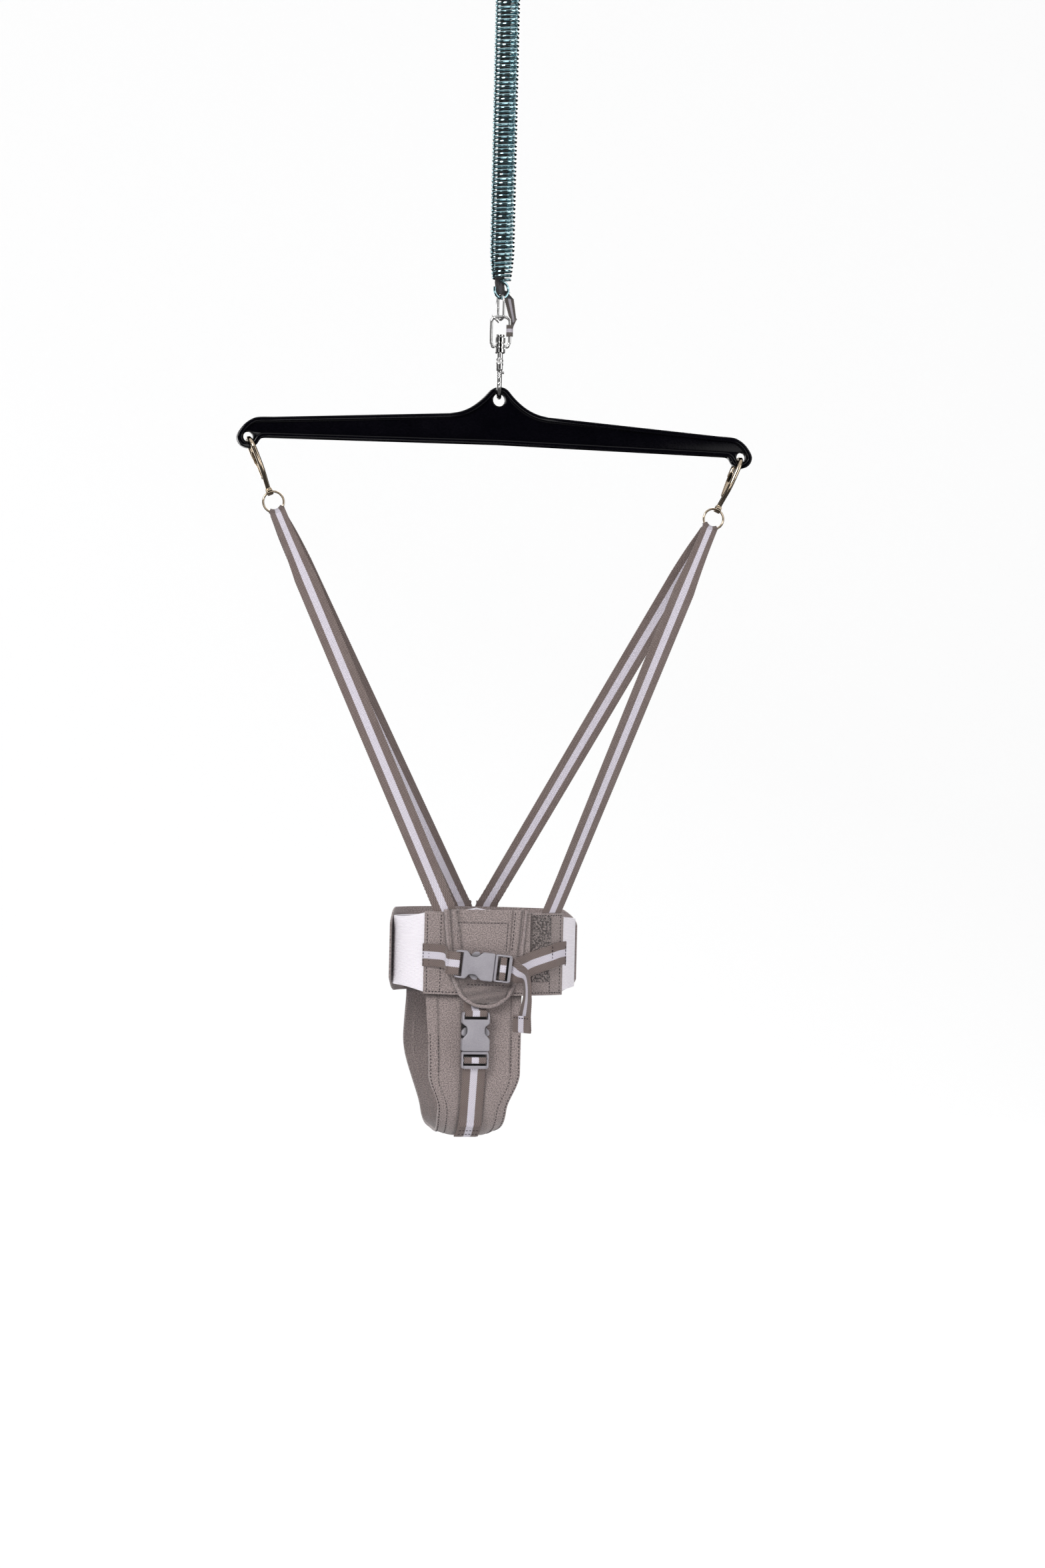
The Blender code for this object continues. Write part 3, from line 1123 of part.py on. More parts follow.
def buckle_body(prefix, place):
    half = BUCKLE_LENGTH / 2
    mouth = -half + FEMALE_LENGTH
    wide, thick = BUCKLE_WIDTH / 2, BUCKLE_THICKNESS / 2
    female = put(prefix + "_female", box_mesh(prefix, (-half, -wide, -thick), (mouth, wide, thick)),
                 GREY_PLASTIC, place)
    add_bevel(female, BUCKLE_EDGE, 2)
    cavity = box_mesh("buckle_cavity", (mouth - CAVITY_DEPTH, -CAVITY_WIDTH / 2, -CAVITY_HEIGHT / 2),
                      (mouth + CUT_OVERRUN, CAVITY_WIDTH / 2, CAVITY_HEIGHT / 2))
    join(female, cavity, "DIFFERENCE", place)
    window_end = mouth - WINDOW_SETBACK
    window = box_mesh("buckle_windows", (window_end - WINDOW_LENGTH, -wide - CUT_OVERRUN, -CAVITY_HEIGHT / 2),
                      (window_end, wide + CUT_OVERRUN, CAVITY_HEIGHT / 2))
    join(female, window, "DIFFERENCE", place)
    # The sides draw in at the windows, so that the prongs' heads show and can be pressed
    waist_x = window_end - WINDOW_LENGTH * 0.55
    for side in (1, -1):
        waist_y = side * (wide + WAIST_CUT_RADIUS - WAIST_CUT_DEPTH)
        scoop = cylinder_mesh("buckle_scoop", WAIST_CUT_RADIUS, (waist_x, waist_y, -thick - CUT_OVERRUN),
                              (waist_x, waist_y, thick + CUT_OVERRUN), 32)
        join(female, scoop, "DIFFERENCE", place)
    slot_start = -half + BUCKLE_BAR
    slot = box_mesh("buckle_slot", (slot_start, -BUCKLE_SLOT_WIDTH / 2, -thick - CUT_OVERRUN),
                    (slot_start + BUCKLE_SLOT, BUCKLE_SLOT_WIDTH / 2, thick + CUT_OVERRUN))
    join(female, slot, "DIFFERENCE", place)
    for side in (1, -1):
        low, high = sorted((side * BUCKLE_BAR / 2, side * (thick + CUT_OVERRUN)))
        relief = box_mesh("bar_relief", (-half - CUT_OVERRUN, -BUCKLE_SLOT_WIDTH / 2, low),
                          (slot_start + CUT_OVERRUN / 4, BUCKLE_SLOT_WIDTH / 2, high))
        join(female, relief, "DIFFERENCE", place)
    # Male frame with two webbing slots, and the guide tongue that enters the female
    start = mouth + SEAT_GAP
    male = put(prefix + "_male", box_mesh(prefix, (start, -wide * 0.97, -MALE_THICKNESS / 2),
                                          (half, wide * 0.97, MALE_THICKNESS / 2)), GREY_PLASTIC, place)
    add_bevel(male, BUCKLE_EDGE, 2)
    tongue = box_mesh("buckle_tongue", (mouth - PRONG_LENGTH, -TONGUE_WIDTH / 2, -TONGUE_HEIGHT / 2),
                      (start + CUT_OVERRUN, TONGUE_WIDTH / 2, TONGUE_HEIGHT / 2))
    join(male, tongue, "UNION", place)
    bar_end = male_bar(0)
    for low, high in ((bar_end - BUCKLE_BAR - BUCKLE_SLOT, bar_end - BUCKLE_BAR),
                      (bar_end, half - BUCKLE_BAR)):
        gap = box_mesh("buckle_slot", (low, -BUCKLE_SLOT_WIDTH / 2, -thick), (high, BUCKLE_SLOT_WIDTH / 2, thick))
        join(male, gap, "DIFFERENCE", place)
    for side in (1, -1):
        low, high = sorted((side * BUCKLE_BAR / 2, side * thick))
        relief = box_mesh("bar_relief", (bar_end - BUCKLE_BAR - CUT_OVERRUN / 4, -BUCKLE_SLOT_WIDTH / 2, low),
                          (half + CUT_OVERRUN, BUCKLE_SLOT_WIDTH / 2, high))
        join(male, relief, "DIFFERENCE", place)


def male_bar(share):
    """The male's crossbar: its far edge at share 0, its near edge at share 1."""
    half = BUCKLE_LENGTH / 2
    return half - BUCKLE_BAR - BUCKLE_SLOT * 0.95 - BUCKLE_BAR * share


def prong_outline():
    """One prong in the buckle's plane, from its root beside the male frame to its barb."""
    root, tip = -SEAT_GAP, -PRONG_LENGTH
    inner, outer = PRONG_OFFSET - PRONG_THICKNESS / 2, PRONG_OFFSET + PRONG_THICKNESS / 2
    barb_back = tip + BARB_LENGTH
    return [(root, inner), (root, outer), (barb_back + PRONG_THICKNESS / 2, outer),
            (barb_back, BARB_REACH), (barb_back - BARB_LENGTH * 0.55, BARB_REACH),
            (tip, outer), (tip, inner)]


def buckle_prongs(prefix, place):
    mouth = -BUCKLE_LENGTH / 2 + FEMALE_LENGTH
    for word, side in (("upper", 1), ("lower", -1)):
        outline = [(x, side * y) for x, y in prong_outline()]
        if side < 0:
            outline = outline[::-1]
        name = f"{prefix}_{word}_prong"
        prong = put(name, plate_mesh(name, outline, PRONG_HEIGHT), GREY_PLASTIC,
                    place @ Matrix.Translation((mouth, 0, 0)))
        add_bevel(prong, BUCKLE_EDGE / 4, 1)


def waist_buckle_place():
    angle = belt_angle(WAIST_BUCKLE_X, BUCKLE_LEVEL)
    spot = belt_point(angle, BELT_TOP_Z - WAIST_BUCKLE_DROP, BUCKLE_LEVEL)
    stand = Matrix.Rotation(math.pi / 2, 4, "X")
    return (Matrix.Translation(spot) @ Matrix.Rotation(WAIST_BUCKLE_TURN, 4, "Z")
            @ Matrix.Rotation(WAIST_BUCKLE_TILT, 4, "Y") @ stand)


def crotch_buckle_place():
    y = -BELT_HALF_DEPTH - SEAT_LEVEL - SEAT_THICKNESS / 2 - WEBBING_THICKNESS * 2 - BUCKLE_THICKNESS / 2
    spot = Vector((CROTCH_BUCKLE_X, y, BELT_TOP_Z - CROTCH_BUCKLE_DROP))
    return (Matrix.Translation(spot) @ Matrix.Rotation(math.pi / 2, 4, "Y")
            @ Matrix.Rotation(math.pi / 2, 4, "X"))


WRAP = SEAT_GAP + WEBBING_THICKNESS / 2
BAR_LIFT = BUCKLE_BAR / 2 + WRAP


def bar_turn(middle, side):
    """Webbing (x, z) round one side of a square bar, from behind it to in front of it."""
    corner = middle + side * BUCKLE_BAR / 2
    slant = WRAP * math.sqrt(1 / 2)
    return [(corner, -BAR_LIFT), (corner + side * slant, -BUCKLE_BAR / 2 - slant),
            (corner + side * WRAP, -BUCKLE_BAR / 2), (corner + side * WRAP, BUCKLE_BAR / 2),
            (corner + side * slant, BUCKLE_BAR / 2 + slant), (corner, BAR_LIFT)]


def round_male_bar():
    """Webbing (x, z) in behind the male's end bar, up round its crossbar, and out behind the end bar again."""
    bar = (male_bar(0) + male_bar(1)) / 2
    under = -BAR_LIFT - WEBBING_THICKNESS - SEAT_GAP
    end = BUCKLE_LENGTH / 2 + WEBBING_THICKNESS
    climb = bar - BUCKLE_BAR / 2 - WRAP
    inward = [(end, under), (bar + WEBBING_THICKNESS, under), (climb + WRAP, under), (climb, under + WRAP)]
    over = bar_turn(bar, -1)[3:] + bar_turn(bar, 1)[::-1][:4]
    return inward + over + [(bar + BUCKLE_BAR / 2 + WRAP * 2, -BAR_LIFT), (end, -BAR_LIFT)]


def on_buckle(place, spots):
    side = place.to_3x3() @ Vector((0, 1, 0))
    return [(place @ Vector((x, 0, z)), side, WEBBING_WIDTH) for x, z in spots]


def waist_straps():
    place = waist_buckle_place()
    half = BUCKLE_LENGTH / 2
    bar = -half + BUCKLE_BAR / 2
    near = -half - WEBBING_THICKNESS * 2
    loop = [(near - WEBBING_THICKNESS * 3, -BAR_LIFT), (near, -BAR_LIFT)] + bar_turn(bar, 1)
    loop += [(near, BAR_LIFT), (near - WEBBING_THICKNESS * 2, BAR_LIFT - WEBBING_THICKNESS)]
    first = belt_angle(-LEFT_PANEL_LEFT, LEFT_PANEL_LEVEL)
    sewn = LEFT_PANEL_LEVEL + PANEL_THICKNESS / 2 + SEAT_GAP + WEBBING_THICKNESS / 2
    over_binding = BINDING_LEVEL + BINDING_RADIUS + SEAT_GAP + WEBBING_THICKNESS / 2
    height = BELT_TOP_Z - WAIST_BUCKLE_DROP + WEBBING_WIDTH * 0.42
    second = belt_angle(BIB_CENTRE_X - BIB_HALF_WIDTH - BINDING_RADIUS, BINDING_LEVEL)
    start = [(belt_point(first, height, sewn), UP, WEBBING_WIDTH),
             (belt_point(first * 0.7 + second * 0.3, height, sewn + SEAT_GAP), UP, WEBBING_WIDTH),
             (belt_point(second, height - SEAT_GAP * 3, over_binding + SEAT_GAP), UP, WEBBING_WIDTH)]
    webbing("left_waist_strap", eased(start, 2) + on_buckle(place, loop))
    # Right strap: over the bib's edge, up round the male's crossbar, down behind the end bar, tail
    end = half + WEBBING_THICKNESS
    third = belt_angle(RIGHT_PANEL_RIGHT)
    fourth = belt_angle(BIB_CENTRE_X + BIB_HALF_WIDTH, BINDING_LEVEL)
    high = BELT_TOP_Z - BELT_HEIGHT * 0.52
    flat = PATCH_LEVEL + PATCH_THICKNESS / 2 + SEAT_GAP * 3 + WEBBING_THICKNESS / 2
    lead = [(belt_point(third, high, flat), UP, WEBBING_WIDTH),
            (belt_point(belt_angle(PATCH_RIGHT), high, flat), UP, WEBBING_WIDTH),
            (belt_point(belt_angle(PATCH_LEFT), high - WEBBING_WIDTH * 0.2, flat + SEAT_GAP), UP, WEBBING_WIDTH),
            (belt_point(fourth, high - WEBBING_WIDTH * 0.55, over_binding + SEAT_GAP * 2), UP, WEBBING_WIDTH)]
    side = place.to_3x3() @ Vector((0, 1, 0))
    bend = place @ Vector((end + STRAP_TAB * 0.9, -WEBBING_WIDTH * 0.2, BAR_LIFT))
    hang = bend + Vector((STRAP_TAB * 0.2, 0, -TAIL_DROP_LENGTH * 0.35))
    tip = bend + Vector((-STRAP_TAB * 0.1, 0, -TAIL_DROP_LENGTH))
    tail = [(place @ Vector((end, 0, -BAR_LIFT)), side, WEBBING_WIDTH), (bend, side * 0.8 + FRONT * 0.6, WEBBING_WIDTH),
            (hang, FRONT, WEBBING_WIDTH), (hang.lerp(tip, 0.5), FRONT, WEBBING_WIDTH), (tip, FRONT, WEBBING_WIDTH)]
    webbing("right_waist_strap", eased(lead, 2) + on_buckle(place, round_male_bar()) + eased(tail, 3)[1:])


def crotch_straps():
    place = crotch_buckle_place()
    half = BUCKLE_LENGTH / 2
    bar = -half + BUCKLE_BAR / 2
    tab = -half - WEBBING_THICKNESS
    root_z = BELT_BOTTOM_Z - BIB_HEIGHT * 0.03
    behind = place.inverted() @ Vector((CROTCH_BUCKLE_X, -BELT_HALF_DEPTH - SEAT_LEVEL - SEAT_THICKNESS / 2
                                        - WEBBING_THICKNESS, root_z))
    loop = [(behind.x, behind.z), (tab - WEBBING_THICKNESS * 2, behind.z), (tab, -BAR_LIFT)]
    loop += bar_turn(bar, 1) + [(tab, BAR_LIFT)]
    webbing("upper_crotch_strap", on_buckle(place, loop))
    end = half + WEBBING_THICKNESS
    spine = smooth_path(seat_path(), SEAT_STEPS)
    out = SEAT_THICKNESS / 2 + SEAT_GAP * 2 + WEBBING_THICKNESS / 2
    run = []
    for share in (0.36, 0.39, 0.42, 0.45):
        index = round(share * SEAT_STEPS)
        along = (spine[index + 1] - spine[index - 1]).normalized()
        outward = Vector((0, along.z, -along.y))
        run.append((spine[index] + Vector((CROTCH_BUCKLE_X, 0, 0)) + outward * out, ACROSS, WEBBING_WIDTH))
    round_bar = [(end + WEBBING_THICKNESS * 3, -BAR_LIFT)] + round_male_bar()[::-1]
    side = place.to_3x3() @ Vector((0, 1, 0))
    lower = [(point, side if side.dot(ACROSS) > 0 else -side, width) for point, _, width in on_buckle(place, round_bar)]
    webbing("lower_crotch_strap", lower + run)


# Shoulder straps

def shoulder_straps():
    for word, side in (("left", -1), ("right", 1)):
        place = end_place(side)
        turn = place.to_3x3()
        tube = RING_WIRE_RADIUS + SEAT_GAP + WEBBING_THICKNESS / 2
        foot_angle = belt_angle(side * FRONT_STRAP_X)
        level = LEFT_PANEL_LEVEL if side < 0 else RIGHT_PANEL_LEVEL
        foot = belt_point(foot_angle, BELT_TOP_Z + SEAT_GAP + WEBBING_THICKNESS + WEBBING_WIDTH / 4, level)
        front_start = place @ Vector((0, -tube, -RING_CENTRE - RING_RADIUS - STRAP_TAB * 0.5))
        along = (foot - front_start).normalized()
        end_side = belt_tangent(foot_angle)
        end_side = (end_side - along * end_side.dot(along)).normalized() * -1
        start_side = turn @ ACROSS
        if start_side.dot(end_side) < 0:
            end_side = -end_side
        loop_steps, run_steps = 10, 14
        total = loop_steps + run_steps

        def ring_spot(turned, across):
            """A point of the loop: carried round the ring's wire and along its arc."""
            bend = across / RING_RADIUS
            radius = RING_RADIUS - tube * math.sin(turned)
            return place @ Vector((radius * math.sin(bend), -tube * math.cos(turned) * -1,
                                   -RING_CENTRE - radius * math.cos(bend)))

        def shape(u, v, foot=foot, start_side=start_side, end_side=end_side):
            index = round(u * total)
            across = (v - 1 / 2) * RING_LOOP_WIDTH
            if index <= loop_steps:
                # From behind the ring, up through it and over its wire to the front
                turned = math.radians(-35) + math.radians(250) * index / loop_steps
                return ring_spot(turned, across)
            part = (index - loop_steps) / run_steps
            last = ring_spot(math.radians(215), 0)
            side_now = start_side.lerp(end_side, part).normalized()
            width = RING_LOOP_WIDTH + (WEBBING_WIDTH - RING_LOOP_WIDTH) * min(1, part * 6)
            centre = last.lerp(foot, part)
            dip = 1 - min(1, part * 6)
            corner = ring_spot(math.radians(215), across) - ring_spot(math.radians(215), 0)
            flat = side_now * width * (v - 1 / 2)
            return centre + flat.lerp(corner, dip)

        sheet(f"{word}_front_strap", shape, total, 4, WEBBING_THICKNESS, WEBBING)
        back_angle = math.pi - math.asin((side * REAR_STRAP_X - BELT_CENTRE_X) / BELT_HALF_WIDTH)
        rear_foot = belt_point(back_angle, BELT_MID_Z + BACK_PANEL_HEIGHT / 2 + SEAT_GAP + WEBBING_THICKNESS / 2,
                               BACK_LEVEL)
        tail_end = ring_spot(math.radians(-35), 0)
        behind = tail_end + (rear_foot - tail_end).normalized() * SEAT_GAP * 2
        rear_side = ACROSS
        middle = behind.lerp(rear_foot, 0.5)
        stations = [(behind, start_side, RING_LOOP_WIDTH), (middle, start_side.lerp(rear_side, 0.5), WEBBING_WIDTH),
                    (rear_foot, rear_side, WEBBING_WIDTH)]
        webbing(f"{word}_rear_strap", eased(stations, 4))


for clamp_name, clamp_side in (("clamp_front", 1), ("clamp_rear", -1)):
    clamp_arm(clamp_name + "_arm", clamp_side)
    clamp_pad(clamp_name + "_pad", clamp_side)
clamp_bolt()
clamp_hanger()
chain()
main_spring()
safety_strap()
oval_link()
swivel()
bolt_snap()
spreader_bar()
for end_name, end_side in (("left", -1), ("right", 1)):
    end_hook(end_name + "_hook", end_side)
    hook_gate(end_name + "_hook_gate", end_side)
    strap_ring(end_name + "_ring", end_side)
shoulder_straps()
belt_band()
belt_panels()
back_panel()
seat()
bib()
for buckle_name, buckle_place in (("waist_buckle", waist_buckle_place()), ("crotch_buckle", crotch_buckle_place())):
    buckle_body(buckle_name, buckle_place)
    buckle_prongs(buckle_name, buckle_place)
waist_straps()
crotch_straps()
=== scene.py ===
"""Finished look of the doorway jumper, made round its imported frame. Metres, +Z up."""
from math import asin, cos, exp, pi, radians, sin, sqrt, tau

import bmesh
import bpy
from mathutils import Matrix, Vector, noise


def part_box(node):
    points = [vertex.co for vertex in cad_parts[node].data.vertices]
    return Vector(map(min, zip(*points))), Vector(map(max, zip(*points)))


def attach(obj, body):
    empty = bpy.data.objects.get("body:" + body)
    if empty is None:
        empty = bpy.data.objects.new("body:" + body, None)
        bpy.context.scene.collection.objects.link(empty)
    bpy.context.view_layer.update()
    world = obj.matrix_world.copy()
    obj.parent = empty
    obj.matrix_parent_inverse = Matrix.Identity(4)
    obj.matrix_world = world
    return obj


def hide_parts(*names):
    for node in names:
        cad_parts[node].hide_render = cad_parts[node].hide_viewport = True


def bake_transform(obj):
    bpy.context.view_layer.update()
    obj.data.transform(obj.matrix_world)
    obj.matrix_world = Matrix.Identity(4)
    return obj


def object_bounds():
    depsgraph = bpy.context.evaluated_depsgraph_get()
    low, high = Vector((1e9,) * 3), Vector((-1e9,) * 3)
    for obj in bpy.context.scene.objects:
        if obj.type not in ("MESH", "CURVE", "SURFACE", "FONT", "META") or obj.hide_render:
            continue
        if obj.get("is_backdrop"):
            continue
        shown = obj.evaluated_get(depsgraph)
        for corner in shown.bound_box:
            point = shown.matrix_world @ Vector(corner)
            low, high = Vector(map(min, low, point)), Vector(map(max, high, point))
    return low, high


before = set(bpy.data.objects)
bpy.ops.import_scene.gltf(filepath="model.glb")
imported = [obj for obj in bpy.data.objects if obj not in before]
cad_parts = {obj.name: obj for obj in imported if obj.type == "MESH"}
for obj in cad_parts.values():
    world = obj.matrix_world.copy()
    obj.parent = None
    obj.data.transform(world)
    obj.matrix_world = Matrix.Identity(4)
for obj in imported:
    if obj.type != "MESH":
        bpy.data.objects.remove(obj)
cad_low, cad_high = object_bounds()

# The studio: a white sweep of paper, large soft lights and a long lens.
# The jumper hangs free, turned about twelve degrees from the camera, 24 centimetres above the floor.
BAR_EAR_RADIUS = 0.0116
bar_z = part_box("spreader_bar")[1].z - BAR_EAR_RADIUS
CAMERA_YAW, CAMERA_ROLL = radians(12), radians(1.3)
CAMERA_SPOT = Vector((-0.6368, -3.1361, bar_z - 0.3448))
FOCAL_PIXELS, FRAME_HEIGHT_PIXELS, SENSOR = 5333.3, 2352, 36
FLOOR_Z = cad_low.z - 0.24


def linked(name, data):
    """A new object in the scene."""
    made = bpy.data.objects.new(name, data)
    bpy.context.scene.collection.objects.link(made)
    return made


def shares(count):
    """0 to 1 in that many equal steps."""
    return [step / count for step in range(count + 1)]


def at(spot):
    """A move to a spot."""
    return Matrix.Translation(spot)


def about(axis, angle=pi / 2):
    """A turn about an axis, a quarter turn if no angle is given."""
    return Matrix.Rotation(angle, 4, axis)


def add(tree, kind, inputs=None, **settings):
    """A shader node of that kind: settings are its attributes, inputs its sockets' values or links."""
    made = tree.nodes.new("ShaderNode" + kind)
    for key, value in settings.items():
        setattr(made, key, value)
    for socket, value in (inputs or {}).items():
        if isinstance(value, bpy.types.NodeSocket):
            tree.links.new(value, made.inputs[socket])
        else:
            made.inputs[socket].default_value = value
    return made


def maths(tree, operation, *values, clamp=False):
    """The result of a Math node on values or links."""
    inputs = dict(enumerate(values))
    return add(tree, "Math", inputs, operation=operation, use_clamp=clamp).outputs[0]


def ranged(tree, value, low, high=1.0, to_low=0.0, to_high=1.0):
    """A value from low to high, mapped to 0 to 1 or to another range."""
    return add(tree, "MapRange", {"Value": value, "From Min": low, "From Max": high,
                                  "To Min": to_low, "To Max": to_high}).outputs["Result"]


def axes(tree, vector):
    """A vector's X, Y and Z."""
    return add(tree, "SeparateXYZ", {"Vector": vector}).outputs


def mixed_colour(tree, factor, first, second):
    return add(tree, "Mix", {"Factor": factor, "A": first, "B": second},
               data_type="RGBA").outputs["Result"]


def colour(red, green, blue):
    """A colour seen under plain light, 0 to 255 a channel, as the shader's linear values."""
    channels = [value / 255 for value in (red, green, blue)]
    return [((c + 0.055) / 1.055) ** 2.4 if c > 0.04045 else c / 12.92 for c in channels] + [1.0]


def mesh_of(bm, name):
    """The bmesh as a mesh of its own."""
    mesh = bpy.data.meshes.new(name)
    bm.to_mesh(mesh)
    bm.free()
    return mesh


camera_data = bpy.data.cameras.new("camera")
camera_data.sensor_width = SENSOR
camera_data.lens = SENSOR * FOCAL_PIXELS / FRAME_HEIGHT_PIXELS
camera_data.clip_end = 50
camera = linked("camera", camera_data)
ahead = Vector((sin(CAMERA_YAW), cos(CAMERA_YAW), 0))
sideways = Vector((cos(CAMERA_ROLL) * cos(CAMERA_YAW),
                   -cos(CAMERA_ROLL) * sin(CAMERA_YAW), sin(CAMERA_ROLL)))
aim = Matrix((sideways, sideways.cross(ahead), -ahead)).transposed().to_4x4()
camera.matrix_world = at(CAMERA_SPOT) @ aim
bpy.context.scene.camera = camera
bpy.context.scene.view_settings.view_transform = "Standard"

# The paper glows for rays that look at it, straight or through glass, and is plain matt for all others
PAPER_GLOW, PAPER_SHADE, PAPER_BOUNCE = 0.825, 0.22, 0.8
paper = bpy.data.materials.new("white_paper_sweep")
paper.use_nodes = True
tree = paper.node_tree
tree.nodes.clear()
path = add(tree, "LightPath").outputs
looked_at = maths(tree, "MAXIMUM", maths(tree, "MAXIMUM", path["Is Camera Ray"], path["Is Glossy Ray"]),
                  path["Is Transmission Ray"])
lit = add(tree, "BsdfDiffuse", {"Color": (PAPER_SHADE,) * 3 + (1,)})
matt = add(tree, "BsdfDiffuse", {"Color": (PAPER_BOUNCE,) * 3 + (1,)})
glow = add(tree, "Emission", {"Strength": PAPER_GLOW})
seen = add(tree, "AddShader", {0: lit.outputs[0], 1: glow.outputs[0]})
both = add(tree, "MixShader", {0: looked_at, 1: matt.outputs[0], 2: seen.outputs[0]})
add(tree, "OutputMaterial", {"Surface": both.outputs[0]})

SWEEP_HALF_WIDTH, SWEEP_FRONT, SWEEP_BACK, SWEEP_BEND, SWEEP_HEIGHT = 2.6, -2.4, 2.6, 1.2, 3.4
BEND_STEPS = 16
bm = bmesh.new()
line = [Vector((-SWEEP_HALF_WIDTH, SWEEP_FRONT, FLOOR_Z)), Vector((-SWEEP_HALF_WIDTH, SWEEP_BACK, FLOOR_Z))]
for share in shares(BEND_STEPS)[1:]:
    bend = pi / 2 * share
    line.append(Vector((-SWEEP_HALF_WIDTH, SWEEP_BACK + SWEEP_BEND * sin(bend),
                        FLOOR_Z + SWEEP_BEND * (1 - cos(bend)))))
line.append(line[-1] + Vector((0, 0, SWEEP_HEIGHT)))
verts = [bm.verts.new(point) for point in line]
edges = [bm.edges.new(pair) for pair in zip(verts, verts[1:])]
grown = bmesh.ops.extrude_edge_only(bm, edges=edges)["geom"]
bmesh.ops.translate(bm, vec=(SWEEP_HALF_WIDTH * 2, 0, 0),
                    verts=[item for item in grown if isinstance(item, bmesh.types.BMVert)])
bmesh.ops.recalc_face_normals(bm, faces=bm.faces[:])
sweep_mesh = mesh_of(bm, "paper_sweep")
sweep_mesh.materials.append(paper)
sweep_mesh.shade_smooth()
sweep = linked("paper_sweep", sweep_mesh)
sweep.visible_glossy = False
sweep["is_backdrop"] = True

# Bright plating and gloss see a room of white and black screens: brightness by the share of a half turn
# from the front, then a pale ceiling and a dark floor
AMBIENT, CEILING_TONE, FLOOR_TONE = 0.40, 1.1, 0.10
SCREENS = [(0.0, 0.003), (0.13, 0.003), (0.15, 1.2), (0.23, 1.2), (0.25, 0.01), (0.45, 0.01), (0.49, 0.7),
           (0.54, 0.7), (0.58, 0.0), (0.95, 0.0), (0.97, 1.0)]
world = bpy.data.worlds.new("studio")
bpy.context.scene.world = world
world.use_nodes = True
tree = world.node_tree
tree.nodes.clear()
ambient = add(tree, "Background", {"Color": (0.97, 0.98, 1, 1), "Strength": AMBIENT})
white = add(tree, "Background", {"Color": (1, 1, 1, 1), "Strength": 1.0})
look = axes(tree, add(tree, "TexCoord").outputs["Generated"])
from_front = maths(tree, "ARCTAN2", look["X"], maths(tree, "MULTIPLY", look["Y"], -1.0))
screens = add(tree, "ValToRGB",
              {"Fac": maths(tree, "DIVIDE", maths(tree, "ABSOLUTE", from_front), pi)})
while len(screens.color_ramp.elements) < len(SCREENS):
    screens.color_ramp.elements.new(1.0)
for stop, (share, value) in zip(screens.color_ramp.elements, SCREENS):
    stop.position, stop.color = share, (value, value, value, 1)
roofed = mixed_colour(tree, ranged(tree, look["Z"], 0.42, 0.58), screens.outputs["Color"],
                      (CEILING_TONE,) * 3 + (1,))
whole = mixed_colour(tree, ranged(tree, look["Z"], -0.35, -0.60), roofed, (FLOOR_TONE,) * 3 + (1,))
room = add(tree, "Background", {"Color": whole, "Strength": 1.0})
path = add(tree, "LightPath").outputs
lit = add(tree, "MixShader", {0: path["Is Glossy Ray"], 1: ambient.outputs[0], 2: room.outputs[0]})
looked_at = maths(tree, "MAXIMUM", path["Is Camera Ray"], path["Is Transmission Ray"])
both = add(tree, "MixShader", {0: looked_at, 1: lit.outputs[0], 2: white.outputs[0]})
add(tree, "OutputWorld", {"Surface": both.outputs[0]})

# Each light's place, width, height and power
SOFT_LIGHTS = {"key": ((-2.3, -2.9, 0.9), 1.5, 1.5, 96), "fill": ((2.6, -2.2, -0.2), 1.6, 2.2, 30),
               "front": ((-0.4, -3.6, -1.4), 2.4, 0.9, 18), "back_rim": ((1.2, 2.2, 0.9), 1.6, 1.0, 34),
               "back_fill": ((-1.5, 2.3, -0.7), 1.6, 1.6, 22)}
look_at = Vector((0, 0, (bar_z + cad_low.z) / 2))
for name, (spot, wide, high, power) in SOFT_LIGHTS.items():
    lamp = bpy.data.lights.new(name, "AREA")
    lamp.shape, lamp.size, lamp.size_y, lamp.energy = "RECTANGLE", wide, high, power
    facing = (look_at - Vector(spot)).to_track_quat("-Z", "Y").to_matrix().to_4x4()
    linked(name, lamp).matrix_world = at(spot) @ facing

# Door clamp: two black painted steel arms that meet on a pivot bolt, a rubber pad on each, a zinc-plated
# hanger plate between them and a torsion spring that keeps the pads on the trim.
bolt_low, bolt_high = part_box("clamp_pivot_bolt")
PIVOT_Z = (bolt_low.z + bolt_high.z) / 2
ARM_THICKNESS, ARM_HALF_WIDTH, PAD_PLATE_THICKNESS, HANGER_THICKNESS = 0.0036, 0.005, 0.003, 0.003
TAIL_DROP, BOLT_RADIUS = 0.048, 0.003
TORSION_WIRE_RADIUS, TORSION_TURNS, TORSION_STEPS, TORSION_LEG = 0.0008, 3, 36, 0.026
SEAT_GAP, MERGE = 0.0003, 0.00001
UP, ACROSS, FRONT = Vector((0, 0, 1)), Vector((1, 0, 0)), Vector((0, -1, 0))


def shader_group(name, inputs, outputs):
    """An empty shader node group with its input and output nodes; inputs give each socket's default."""
    made = bpy.data.node_groups.new(name, "ShaderNodeTree")
    for word, default in inputs.items():
        kind = "NodeSocketVector" if word == "Vector" else "NodeSocketFloat"
        socket = made.interface.new_socket(word, in_out="INPUT", socket_type=kind)
        if default is not None:
            socket.default_value = default
    for word in outputs:
        made.interface.new_socket(word, in_out="OUTPUT", socket_type="NodeSocketFloat")
    return made, made.nodes.new("NodeGroupInput").outputs, made.nodes.new("NodeGroupOutput").inputs


